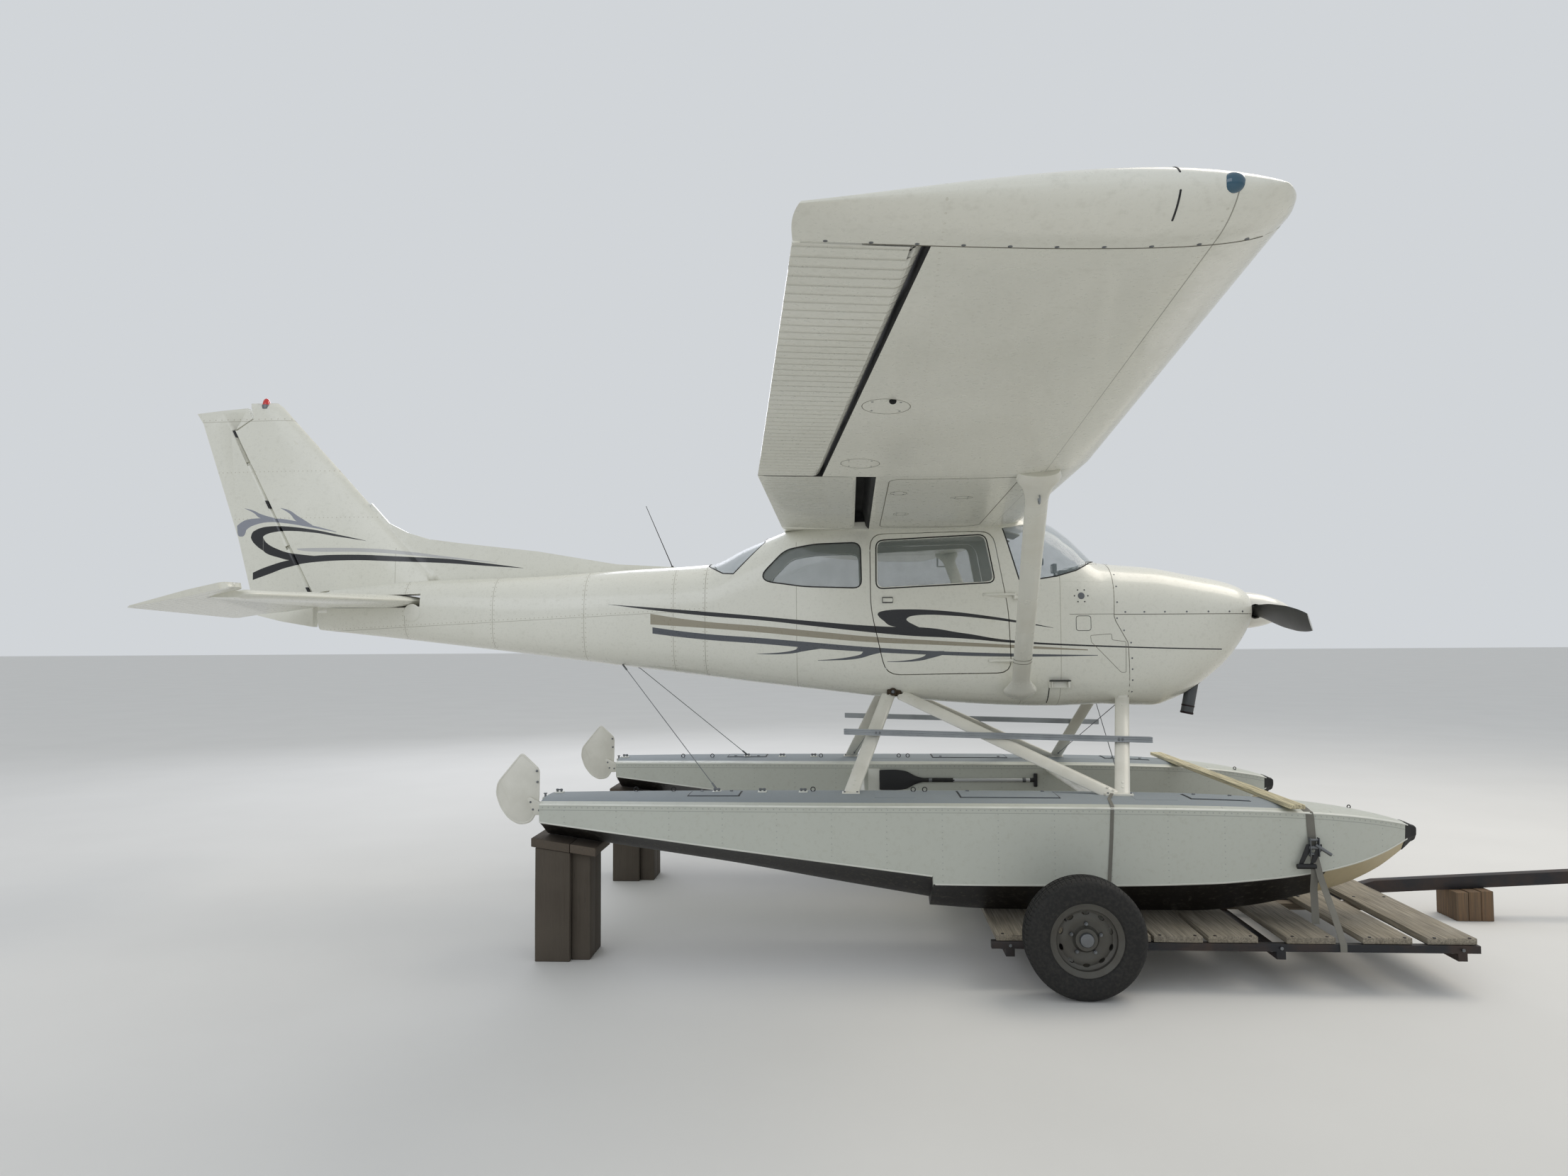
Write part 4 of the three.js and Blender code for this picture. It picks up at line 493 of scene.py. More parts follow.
def bodyRow(x):
    key = round(x)
    if key not in bodyCache:
        bodyCache[key] = bodySmooth(key)
    return bodyCache[key]


# How far a point is out from the section's middle, as a share of the skin there.
def bodyShare(row, y, z, inset):
    half, low, wide, high, lowPower, highPower = row
    height, power = (high - wide, highPower) if z >= wide else (wide - low, lowPower)
    u = abs(y / (half - inset)) ** power + abs((z - wide) / (height - inset)) ** power
    return max(u, 1e-9) ** (1 / power)


def bodyNormal(x, y, z, inset):
    grad = []
    for dx, dy, dz in ((6, 0, 0), (0, 2, 0), (0, 0, 2)):
        ahead = bodyShare(bodySmooth(x + dx), y + dy, z + dz, inset)
        behind = bodyShare(bodySmooth(x - dx), y - dy, z - dz, inset)
        grad.append((ahead - behind) / (2 * (dx + dy + dz)))
    return Vector(grad).normalized()


# Height of the skin's side at a station and z: its half width there.
def bodyHalf(x, z, inset=0):
    half, low, wide, high, lowPower, highPower = bodySmooth(x)
    height, power = (high - wide, highPower) if z >= wide else (wide - low, lowPower)
    t = min(abs(z - wide) / (height - inset), 0.999)
    return (half - inset) * (1 - t ** power) ** (1 / power)


# Brings the flat facets of a fuselage panel out to the smooth skin, and its inner faces to the smooth liner.
def pressOntoBody(bm, insets, thin=9.0):
    onForm, inner = {}, set()
    for v in bm.verts:
        x, y, z = station(v.co)
        if not -4010 < x < 2809:
            continue
        straight = bodyStraight(x)
        middle = straight[2]
        radius = hypot(y, z - middle)
        for inset in insets:
            share = bodyShare(straight, y, z, inset)
            depth = radius * (1 / share - 1)
            if -1.6 < depth < thin:
                row = bodyRow(x)
                grow = 1 / bodyShare(row, y, z + row[2] - middle, inset)
                v.co = at(x, y * grow, row[2] + (z - middle) * grow)
                onForm[v] = inset
                break
    bm.verts.index_update()
    normals = {}
    for v, inset in onForm.items():
        x, y, z = station(v.co)
        normal = bodyNormal(x, y, z, inset)
        normals[v.index] = normal
        if inset > insets[0]:
            normals[v.index] = -normal
            inner.add(v)
    return normals, inner


def longOnBody(alongX, around):
    def tooLong(edge):
        step = edge.verts[0].co - edge.verts[1].co
        return abs(step.x) > alongX or hypot(step.y, step.z) > around
    return tooLong


# A fuselage panel from its CAD node, made smooth; the inner faces get the cabin's lining.
def bodyPanel(name, node, insets, materials, alongX=0.05, around=0.026, body=airframe):
    bm = copyOfNode(node)
    refine(bm, longOnBody(alongX, around))
    normals, inner = pressOntoBody(bm, insets)
    for face in bm.faces:
        if all(v in inner for v in face.verts):
            face.material_index = 1
    piece = finishPiece(name, bm, materials, body=body, replaces=node)
    keepNormals(piece, normals)
    return piece


skinned = [fuselagePaint, cabinTrim]
for side in ("left", "right"):
    bodyPanel(f"cabinSide_{side}", f"cabin_side_{side}", (0, 45), skinned)
    bodyPanel(f"doorLeaf_{side}", f"door_{side}", (0, 45), skinned, body=f"door_{side}")
bodyPanel("cabinRoof", "cabin_roof", (0,), [fuselagePaint, cabinTrim], around=0.035)
bodyPanel("cabinBelly", "cabin_floor", (0,), [fuselagePaint, cabinTrim], around=0.035)
bodyPanel("firewallDeck", "firewall", (0, 45, 45.3), [fuselagePaint, cabinTrim], around=0.035)
bodyPanel("cowlingTop", "cowl_upper", (0, 22), [fuselagePaint, darkPlastic], alongX=0.04)
bodyPanel("cowlingBottom", "cowl_lower", (0, 22), [fuselagePaint, darkPlastic], alongX=0.04)
bodyPanel("tailcone_skin", "tailcone", (0,), [fuselagePaint, cabinTrim], alongX=0.09, around=0.022)

glassPanes = {"windshield": (screenAcrylic, airframe), "rear_window": (screenAcrylic, airframe),
    "side_window_left": (windowAcrylic, airframe), "side_window_right": (windowAcrylic, airframe),
    "door_window_left": (windowAcrylic, "door_left"), "door_window_right": (windowAcrylic, "door_right")}
for node, (material, body) in glassPanes.items():
    bm = copyOfNode(node)
    refine(bm, longOnBody(0.03, 0.03))
    normals, inner = pressOntoBody(bm, (3, 11), thin=7.0)
    piece = finishPiece(node + "_pane", bm, material, body=body, replaces=node)
    keepNormals(piece, normals)

print("wings")

wing = {"rootY": 549, "rootZ": 2756, "dihedral": radians(1.73), "camber": 0.02, "crest": 0.4, "coveX": 300,
        "facetGaps": ((60, 16), (200, 7.5), (9999, 3.2))}  # behind the lead: how far a facet may be off the skin
# Columns: span, leading edge x and height, trailing edge x and height, thickness over chord.
wingRows = [[0, 1205, 66, -451, 0, 0.12], [1993, 1205, 66, -451, 0, 0.12], [4752, 1047, 83, -129, 72, 0.128],
    [4842, 1041, 85, -124, 75, 0.122], [4902, 1024, 88, -118, 78, 0.098], [4940, 985, 90, -104, 80, 0.045]]
wingStraight = straightRows(wingRows)


# The wing's own coordinates, its span along Y from the root: the port side, or starboard turned round.
def toWing(x, y, z):
    side = 1 if y >= 0 else -1
    c, s = cos(wing["dihedral"]), sin(wing["dihedral"])
    out, up = side * y - wing["rootY"], z - wing["rootZ"]
    return x, out * c + up * s, up * c - out * s, side


def fromWing(x, span, h, side):
    c, s = cos(wing["dihedral"]), sin(wing["dihedral"])
    return at(x, side * (span * c - h * s + wing["rootY"]), span * s + h * c + wing["rootZ"])


# Height of an aerofoil's skin for one row: leading and trailing edges and thickness over chord.
def foilHeight(row, x, upper):
    leadX, leadH, trailX, trailH, thickness = row
    chord = leadX - trailX
    p = min(max((leadX - x) / chord, 0), 1)
    half = 5 * thickness * (0.2969 * sqrt(p) - 0.126 * p - 0.3516 * p ** 2 + 0.2843 * p ** 3 - 0.1021 * p ** 4)
    crest = wing["crest"]
    if p < crest:
        camber = wing["camber"] / crest ** 2 * (2 * crest * p - p * p)
    else:
        camber = wing["camber"] / (1 - crest) ** 2 * (1 - 2 * crest + 2 * crest * p - p * p)
    blunt = 2.5 * p * (1 if upper else -1)
    return leadH + (trailH - leadH) * p + (camber + (half if upper else -half)) * chord + blunt


def wingHeight(span, x, upper):
    return foilHeight(wingStraight(span), x, upper)


def wingNormal(x, span, h, upper, side):
    if x > wingStraight(span)[0] - 0.6:
        rise = 60
    else:
        step = 0.5 if wingStraight(span)[0] - x < 30 else 3
        rise = (wingHeight(span, x - step, upper) - wingHeight(span, x + step, upper)) / (2 * step)
    sign = 1 if upper else -1
    out = (wingHeight(span + 4, x, upper) - wingHeight(span - 4, x, upper)) / 8
    normal = Vector((rise * sign, -out * sign, sign)).normalized()
    c, s = cos(wing["dihedral"]), sin(wing["dihedral"])
    return Vector((normal.x, side * (normal.y * c - normal.z * s), normal.y * s + normal.z * c))


def longOnWing(edge):
    ends = [toWing(*station(v.co)) for v in edge.verts]
    lead = wingStraight(ends[0][1])[0]
    nose = lead - max(ends[0][0], ends[1][0])
    limit = 9 if nose < 40 else 22 if nose < 160 else 70
    across = hypot(ends[0][0] - ends[1][0], ends[0][2] - ends[1][2])
    alongSpan = abs(ends[0][1] - ends[1][1])
    tip = max(ends[0][1], ends[1][1]) > 4760
    return (across > limit and across > alongSpan * 0.2) or alongSpan > (30 if tip else 190)


# A wing part from its CAD node, its facets brought out to the true aerofoil.
def wingPart(name, node, material, body=airframe, coveShade=None):
    bm = copyOfNode(node)
    side = 1 if "left" in node else -1
    if coveShade:
        edge = fromWing(500, 4752, 0, side)
        cut = bmesh.ops.bisect_plane(bm, geom=bm.verts[:] + bm.edges[:] + bm.faces[:], plane_co=edge,
            plane_no=fromWing(500, 4852, 0, side) - edge, clear_outer=True)
        bmesh.ops.holes_fill(bm, edges=[e for e in cut["geom_cut"] if isinstance(e, bmesh.types.BMEdge)], sides=0)
        bmesh.ops.triangulate(bm, faces=[f for f in bm.faces if len(f.verts) > 3])
    refine(bm, longOnWing, rounds=8)
    bm.verts.index_update()
    normals = {}
    for v in bm.verts:
        x, span, h, side = toWing(*station(v.co))
        heights = [wingHeight(span, x, upper) for upper in (True, False)]
        nearest = 0 if abs(h - heights[0]) < abs(h - heights[1]) else 1
        lead = wingStraight(span)[0]
        allow = next(gap for reach, gap in wing["facetGaps"] if lead - x < reach)
        if span > -2 and abs(h - heights[nearest]) < allow:
            v.co = fromWing(x, span, heights[nearest], side)
            normals[v.index] = wingNormal(x, span, h, nearest == 0, side)
    # Faces of the cove that are off the skin take the near-black painted shade.
    if coveShade:
        for face in bm.faces:
            inCove = toWing(*station(face.calc_center_median()))[0] < wing["coveX"]
            if inCove and not all(v.index in normals for v in face.verts):
                face.material_index = 1
    piece = finishPiece(name, bm, [material, coveShade] if coveShade else material, body=body, replaces=node)
    keepNormals(piece, normals)
    return piece


for side in ("left", "right"):
    wingPart(f"wingPanel_{side}", f"wing_{side}", wingEnamel, coveShade=blackForShadeAndFittings)
    wingPart(f"flapPanel_{side}", f"flap_{side}", flapEnamel, body=f"flap_{side}")
    wingPart(f"aileronPanel_{side}", f"aileron_{side}", aileronEnamel, body=f"aileron_{side}")

print("tail")


# The fin and stabiliser noses: half thickness as a share, by the place along the chord.
def noseShare(place):
    if place <= 0.35:
        return (1 - (1 - max(place, 0) / 0.35) ** 2.2) ** 0.55
    return 1 - 0.14 * ((place - 0.35) / 0.65) ** 1.5


# Brings a tail blade's flat facet out to its rounded form: off is the distance from the blade's middle plane,
# spots and shares are the flat form's corners along the chord.
def bladeSkin(off, place, half, spots, shares):
    i = min(max(bisect_right(spots, place) - 1, 0), 3)
    flat = half * (shares[i] + (shares[i + 1] - shares[i]) * (place - spots[i]) / (spots[i + 1] - spots[i]))
    return copysign(half * noseShare(place), off) if abs(abs(off) - flat) < 1.6 else off


finRows = straightRows([[2336, -2990, 52], [2600, -3240, 50], [2928, -3540, 46], [3293, -3871, 40],
    [3682, -4228, 32], [3790, -4325, 26], [3824, -4372, 10]])
stabRows = straightRows([[0, -3180, 48], [150, -3215, 48], [1480, -3655, 30], [1540, -3700, 20]])


def rudderHingeX(z):
    return -4100 - 0.4976 * (z - 2354)


def longOnTail(edge):
    step = edge.verts[0].co - edge.verts[1].co
    return abs(step.x) > 0.045 or hypot(step.y, step.z) > 0.09


def longOnStabiliser(edge):
    step = edge.verts[0].co - edge.verts[1].co
    return abs(step.x) > 0.045 or abs(step.y) > 0.12


bm = copyOfNode("fin")
refine(bm, longOnTail)
for v in bm.verts:
    x, y, z = station(v.co)
    lead, half = finRows(z)
    rear = rudderHingeX(z) + 40 - 0.0115 * (z - 2354) + 9
    place = (lead - x) / (lead - rear)
    if -0.01 < place < 1.01 and abs(y) > 0.5 and z < 3823:
        v.co.y = bladeSkin(y, place, half, (0, 0.03, 0.12, 0.35, 1), (0, 0.36, 0.72, 1, 0.86)) / 1000
finishPiece("finBlade", bm, finPaint, sharp=24, replaces="fin")

bm = copyOfNode("stabiliser")
refine(bm, longOnStabiliser)
for v in bm.verts:
    x, y, z = station(v.co)
    lead, half = stabRows(abs(y))
    rear = -3960 + 36 - 0.009 * abs(y) + 9
    place = (lead - x) / (lead - rear)
    if -0.01 < place < 1.01 and abs(z - 2285) > 0.5:
        v.co.z = (2285 + bladeSkin(z - 2285, place, half, (0, 0.03, 0.12, 0.4, 1), (0, 0.36, 0.72, 1, 0.8))) / 1000
finishPiece("tailplane", bm, tailEnamel, sharp=24, replaces="stabiliser")

for node, material, body in (("rudder", finPaint, "rudder"), ("elevator", elevatorEnamel, "elevator")):
    bm = copyOfNode(node)
    bmesh.ops.dissolve_limit(bm, angle_limit=radians(0.5), verts=bm.verts, edges=bm.edges)
    bmesh.ops.triangulate(bm, faces=bm.faces)
    finishPiece(node + "Surface", bm, material, body=body, sharp=26, replaces=node)

print("floats")


# Even turns round a circle.
def turns(count):
    return [tau * k / count for k in range(count)]


# The way ahead at one point of a path.
def aheadOn(path, i, closed=False):
    count = len(path)
    return path[(i + 1) % count] - path[i - 1] if closed else path[min(i + 1, count - 1)] - path[max(i - 1, 0)]


# A closed skin through rings of points: a grid laid round them, its seam welded and its ends filled.
def loftSkin(rings, bm=None, ends=True):
    along, count = len(rings) - 1, len(rings[0])
    fresh = bmesh.new()
    bmesh.ops.create_grid(fresh, x_segments=along, y_segments=count, size=1)
    for v in fresh.verts:
        i, j = round((v.co.x + 1) / 2 * along), round((v.co.y + 1) / 2 * count) % count
        v.co = rings[i][j]
    bmesh.ops.remove_doubles(fresh, verts=fresh.verts, dist=0.00001)
    if ends:
        bmesh.ops.holes_fill(fresh, edges=[e for e in fresh.edges if e.is_boundary], sides=0)
    bmesh.ops.recalc_face_normals(fresh, faces=fresh.faces)
    return addTo(bm, fresh)


# Puts one bmesh's faces into another, if there is one; an index of None keeps the faces' own.
def addTo(bm, extra, index=0):
    if bm is None:
        return extra
    for face in extra.faces:
        face.material_index = face.material_index if index is None else index
    mesh = bpy.data.meshes.new("joining")
    extra.to_mesh(mesh)
    extra.free()
    bm.from_mesh(mesh)
    bpy.data.meshes.remove(mesh)
    return bm


def mirrorY(bm):
    bmesh.ops.scale(bm, verts=bm.verts, vec=(1, -1, 1))
    bmesh.ops.reverse_faces(bm, faces=bm.faces)
    return bm


# A block with eased edges between two opposite corners given as station millimetres.
def easedBox(low, high, ease=2.0, segments=2, bm=None, index=0):
    fresh = bmesh.new()
    bmesh.ops.create_cube(fresh, size=1)
    a, b = at(*map(min, low, high)), at(*map(max, low, high))
    bmesh.ops.scale(fresh, verts=fresh.verts, vec=b - a)
    bmesh.ops.translate(fresh, verts=fresh.verts, vec=(a + b) / 2)
    if ease:
        bmesh.ops.bevel(fresh, geom=fresh.edges[:], offset=ease / 1000, affect="EDGES", segments=segments,
            profile=0.5, material=-1)
    return addTo(bm, fresh, index)


# A round rod between two places, its rims eased when asked.
def rod(bm, start, end, radius, sides=20, index=0, ease=0.0, endRadius=None):
    fresh = bmesh.new()
    a, b = at(*start), at(*end)
    bmesh.ops.create_cone(fresh, cap_ends=True, segments=sides, radius1=radius / 1000,
        radius2=(endRadius or radius) / 1000, depth=(b - a).length)
    if ease:
        rims = [e for e in fresh.edges if abs(e.verts[0].co.z - e.verts[1].co.z) < 1e-6]
        bmesh.ops.bevel(fresh, geom=rims, offset=ease / 1000, affect="EDGES", segments=3, profile=0.5, material=-1)
    turn = Vector((0, 0, 1)).rotation_difference((b - a).normalized()).to_matrix().to_4x4()
    bmesh.ops.transform(fresh, matrix=Matrix.Translation((a + b) / 2) @ turn, verts=fresh.verts)
    return addTo(bm, fresh, index)


# A rod along one axis, from a place to the far coordinate on that axis.
def pin(bm, start, axis, stop, *shape, **more):
    end = list(start)
    end["XYZ".index(axis)] = stop
    return rod(bm, start, end, *shape, **more)


# A bent tube along points, its section round.
def bentTube(points, radius, sides=12, bm=None, index=0):
    places = [at(*p) for p in points]
    rings = []
    side = None
    for i, place in enumerate(places):
        ahead = aheadOn(places, i).normalized()
        side = (ahead.orthogonal() if side is None else side - ahead * side.dot(ahead)).normalized()
        other = ahead.cross(side)
        rings.append([place + (side * cos(t) + other * sin(t)) * radius / 1000 for t in turns(sides)])
    return addTo(bm, loftSkin(rings), index)


# A streamlined tube, its long side near X: the same oval that the solids have, with more sides.
def fairedTube(start, end, chord, thick, swell=None, rings=2, sides=30, bm=None, index=0):
    a, b = Vector(start), Vector(end)
    along = (b - a).normalized()
    side = Vector((1, 0, 0)).cross(along).normalized()
    front = along.cross(side).normalized()
    profile = smoothRows(swell) if swell else None
    steps = [i / (rings - 1) for i in range(rings)]
    found = []
    for place in steps:
        scale = profile(place)[0] if profile else 1
        centre = a.lerp(b, place)
        ring = []
        for t in turns(sides):
            reach = cos(t) * chord / 2 * scale
            depth = sin(t) * thick / 2 * (1 - 0.22 * cos(t)) * scale
            ring.append(at(*(centre - front * reach + side * depth)))
        found.append(ring)
    return addTo(bm, loftSkin(found), index)


# A turned shape: radius and place pairs spun round an axis along X or Y through a centre.
def turned(profile, centre, axis, steps=64, bm=None, index=0):
    fresh = bmesh.new()
    verts = []
    for radius, along in profile:
        spot = (along, 0, radius) if axis == "X" else (0, along, radius)
        verts.append(fresh.verts.new(Vector(spot) / 1000))
    for first, second in zip(verts, verts[1:]):
        fresh.edges.new((first, second))
    way = (1, 0, 0) if axis == "X" else (0, 1, 0)
    bmesh.ops.spin(fresh, geom=fresh.verts[:] + fresh.edges[:], cent=(0, 0, 0), axis=way, dvec=(0, 0, 0), angle=tau,
        steps=steps, use_merge=True, use_duplicate=False)
    bmesh.ops.remove_doubles(fresh, verts=fresh.verts, dist=0.000005)
    bmesh.ops.recalc_face_normals(fresh, faces=fresh.faces)
    bmesh.ops.translate(fresh, verts=fresh.verts, vec=at(*centre))
    return addTo(bm, fresh, index)


def outlineSlab(points, y0, y1, ease=1.5, bm=None, index=0, plan=False):
    fresh = bmesh.new()
    if plan:
        face = fresh.faces.new([fresh.verts.new(at(x, y, y0)) for x, y in points])
        lift = Vector((0, 0, (y1 - y0) / 1000))
    else:
        face = fresh.faces.new([fresh.verts.new(at(x, y0, z)) for x, z in points])
        lift = Vector((0, (y1 - y0) / 1000, 0))
    grown = bmesh.ops.extrude_face_region(fresh, geom=[face])
    bmesh.ops.translate(fresh, verts=[g for g in grown["geom"] if isinstance(g, bmesh.types.BMVert)], vec=lift)
    bmesh.ops.recalc_face_normals(fresh, faces=fresh.faces)
    if ease:
        bmesh.ops.bevel(fresh, geom=fresh.edges[:], offset=ease / 1000, affect="EDGES", segments=2, profile=0.5,
            material=-1)
    return addTo(bm, fresh, index)


# Float skins are alclad sheet sprayed pale grey over riveted frames; the decks wear a rougher grey.
floats = {"y": 1093, "sides": 0xC3C6BC, "deck": 0x8F979C, "bottom": 0x140F0D, "stepX": 487, "gritEnd": 2560,
    "frame": 0.33, "margin": 0.86, "forefoot": 0xC6B896, "blackEnd": 2790}
hullY = floats["y"]


def floatSkinPaint(name, code, roughness, rivets=True, grit=False):
    material, add, shader, place = newMaterial(name)
    x, y, z = add("SeparateXYZ", {0: place}).outputs
    colour, rough, bump = enamelCoat(add, place, cream=code, shade=code - 0x0A0A0A, waves=0.0018, grimeHigh=0.45)
    lift = add("Math", (rough, roughness - 0.24), operation="ADD")
    if rivets:
        cell = add("Math", (x, floats["frame"] / 2), operation="PINGPONG")
        edge = add("Attribute", attribute_name="fromEdge").outputs["Fac"]
        rows = [rivetMask(add, z, cell, 0.0, 0.036, 0.0036), rivetMask(add, x, edge, 0.018, 0.036, 0.0042),
            rivetMask(add, x, edge, 0.96, 0.036, 0.0042)]
        colour = overColour(add, colour, joinMasks(add, rows), 0x8F9390, 0.6)
        seam = lineMask(add, edge, 0.034, 0.002)
        colour = overColour(add, colour, seam, 0x7D807C, 0.5)
    if grit:
        sand = add("TexNoise", {"Vector": place, "Scale": 260.0, "Detail": 3.0})
        bump = add("Bump", {"Height": sand, "Strength": 0.7, "Distance": 0.0015, "Normal": bump})
    feed(shader, {"Base Color": colour, "Roughness": lift, "Normal": bump})
    return material


floatSides = floatSkinPaint("FloatSideEnamel", floats["sides"], 0.34)
floatDeck = floatSkinPaint("FloatDeckGrit", floats["deck"], 0.6, rivets=False, grit=True)
floatBottom = floatSkinPaint("BlackBottomPaint", floats["bottom"], 0.46, rivets=False)
# The upturned forefoot ahead of the black bottom is a pale tan painted highlight.
forefootHighlight = floatSkinPaint("ForefootPaintedHighlight", floats["forefoot"], 0.5, rivets=False)

# Columns: station, half beam at the deck, deck edge z, deck middle z, chine z, half beam at the chine, keel z.
floatRows = [
    [-1925, 236, 972, 1002, 862, 232, 752], [-1300, 282, 976, 1007, 788, 280, 660],
    [-700, 318, 978, 1008, 716, 316, 572], [-100, 331, 978, 1008, 643, 330, 470],
    [487, 333, 978, 1008, 570, 332, 374], [489, 333, 978, 1008, 522, 332, 322.4],
    [900, 335, 977, 1007, 520, 334, 300.4], [1500, 334, 974, 1004, 522, 332, 300.4],
    [2100, 326, 966, 995, 536, 320, 300.4], [2450, 300, 954, 982, 558, 288, 336],
    [2750, 256, 936, 962, 588, 240, 400], [3000, 196, 909, 933, 630, 178, 470],
    [3200, 128, 876, 896, 685, 112, 565], [3340, 66, 846, 858, 739, 56, 668], [3425, 22, 818, 824, 772, 18, 744]]
aftFloat, foreFloat = smoothRows(floatRows[:5]), smoothRows(floatRows[5:])


def floatHalfRing(x):
    beam, edgeZ, deckZ, chineZ, chine, keelZ = (aftFloat if x <= floats["stepX"] + 1 else foreFloat)(x)
    points = []
    for share, rise in ((0, 0), (0.16, 0.1), (0.38, 0.335), (0.6, 0.6), (0.85, 0.86)):
        points.append((share * chine, keelZ + (chineZ - keelZ) * rise, 1))
    points.append((chine, chineZ, 1))
    for k in range(1, 6):
        t = k / 6
        points.append((chine + (beam - chine) * t, chineZ + (edgeZ - chineZ) * t, 0))
    points.append((beam, edgeZ, 0))
    for share, crown in ((0.8, 0.45), (0.55, 0.85), (0.3, 0.96), (0, 1)):
        points.append((beam * share, edgeZ + (deckZ - edgeZ) * crown, 2))
    return points, edgeZ, chineZ


def wholeRing(half):
    return half + [(-y, z, kind) for y, z, kind in reversed(half[1:-1])]


def floatHull(side):
    stations = [-1925 + (487 + 1925) * k / 48 for k in range(49)]
    stations += [489 + (3425 - 489) * (1 - (1 - k / 70) ** 1.15) for k in range(71)]
    rings = []
    for x in stations:
        half, edgeZ, chineZ = floatHalfRing(x)
        rings.append([at(x, hullY + y, z) for y, z, kind in wholeRing(half)])
    bm = loftSkin(rings)
    edgeLayer = bm.verts.layers.float.new("fromEdge")
    for v in bm.verts:
        x, y, z = station(v.co)
        half, edgeZ, chineZ = floatHalfRing(x)
        v[edgeLayer] = (edgeZ - z) / 1000 if z > chineZ + 20 else 1 - (z - chineZ) / 1000
    for face in bm.faces:
        x, y, z = station(face.calc_center_median())
        half, edgeZ, chineZ = floatHalfRing(x)
        if x < -1924 or x > 3424:
            face.material_index = 0
        elif abs(face.normal.z) > 0.75 and z > edgeZ - 4:
            inside = abs(abs(y) - hullY) < floats["margin"] * half[11][0]
            face.material_index = 1 if inside and x < floats["gritEnd"] else 0
        elif z < chineZ - 2:
            # Below the chine: black bottom paint, and ahead of blackEnd the pale tan painted highlight of the
            # forefoot.
            face.material_index = 2 if x < floats["blackEnd"] or 3335 < x < 3395 else 3
    for low, high in ((841, 859), (966, 984)):
        easedBox((-1968, hullY - 14, low), (-1900, hullY + 14, high), 2, 2, bm)
    if side == "right":
        mirrorY(bm)
    bmesh.ops.remove_doubles(bm, verts=bm.verts, dist=0.00001)
    return finishPiece(f"floatHull_{side}", bm, [floatSides, floatDeck, floatBottom, forefootHighlight],
        sharp=16, replaces=f"float_{side}")


for side in ("left", "right"):
    floatHull(side)

print("float legs and struts")

truss = {"rearFoot": (5, 1062, 1004), "frontTop": (1872, 400, 1570), "rearTop": (270, 432, 1590),
    "stayTop": (366, 432, 1590), "frontFoot": (1688, 1090, 996), "chord": 94, "thick": 34}


def floatLegs(side):
    bm = bmesh.new()
    chord, thick = truss["chord"], truss["thick"]
    rearFoot, frontTop, frontFoot, rearTop, stayTop = (truss[k] for k in ("rearFoot", "frontTop", "frontFoot",
        "rearTop", "stayTop"))
    fairedTube(rearFoot, rearTop, chord, thick, bm=bm)
    fairedTube((frontFoot[0] - 40, frontFoot[1] - 6, frontFoot[2]), stayTop, chord, thick, bm=bm)
    fairedTube(frontFoot, frontTop, chord, thick, bm=bm)
    easedBox((262, 398, 1584), (362, 446, 1640), 12, 3, bm, 2)
    for low, high in ((244, 300), (334, 392)):
        easedBox((low, 410, 1560), (high, 454, 1600), 10, 3, bm)
    easedBox((1838, 374, 1530), (1906, 426, 1640), 8, 3, bm)
    for place, reach, wide in ((rearFoot, (-56, 56), 36), (frontFoot, (-110, 62), 40)):
        easedBox((place[0] + reach[0], place[1] - wide, 984), (place[0] + reach[1], place[1] + wide, 1016), 5, 3,
            bm)
        for dx in (reach[0] + 16, reach[1] - 16):
            for dy in (-wide + 12, wide - 12):
                pin(bm, (place[0] + dx, place[1] + dy, 1014), "Z", 1023, 7, 6, 1)
    for foot, top in ((rearFoot, rearTop), (frontFoot, stayTop), (frontFoot, frontTop)):
        a, b = Vector(foot), Vector(top)
        across = Vector((1, 0, 0)).cross((b - a).normalized()).normalized() * (thick / 2 + 2.5)
        for reach in (62, 100, (b - a).length - 100, (b - a).length - 62):
            middle = a + (b - a).normalized() * reach
            rod(bm, middle - across, middle + across, 8, 14, ease=1.5)
    collar = [(27, -6), (27, 8), (23, 14), (16, 14), (13, 9), (13, -6), (27, -6)]
    turned(collar, (302, 452, 1616), "Y", 36, bm, 2)
    pin(bm, (302, 458, 1616), "Y", 392, 12.9, 24, 1, ease=2)
    for x, height in ((268, 1600), (338, 1600)):
        pin(bm, (x, 452, height), "Y", 396, 8, 6, 2)
    if side == "right":
        mirrorY(bm)
    return finishPiece(f"floatLegs_{side}", bm, [legPaint, galvanised, bronze], sharp=34,
        replaces=f"float_truss_{side}")


wingStrut = {"foot": (1164, 470, 1576), "top": (951, 2560, 2812), "chord": 118, "thick": 44,
    "swell": [[0, 1.0], [0.02, 1.55], [0.045, 1.9], [0.065, 1.55], [0.085, 1.25], [0.11, 1], [0.5, 1], [0.9, 1],
    [0.94, 1.25], [0.96, 1.6], [0.975, 1.9], [1, 1.75]]}


def strutPiece(side):
    bm = fairedTube(wingStrut["foot"], wingStrut["top"], wingStrut["chord"], wingStrut["thick"], wingStrut["swell"],
        rings=90, sides=36)
    if side == "right":
        mirrorY(bm)
    return finishPiece(f"wingStrut_{side}_cuffed", bm, strutPaint, replaces=f"wing_strut_{side}")


for side in ("left", "right"):
    floatLegs(side)
    strutPiece(side)

for node, x in (("spreader_front", 1600), ("spreader_rear", 60)):
    rings = [[at(x + 46 * cos(t), y, 930 + 21 * sin(t)) for t in turns(28)] for y in (-763, 763)]
    finishPiece(node + "_bar", loftSkin(rings), legPaint, replaces=node)

print("propeller")

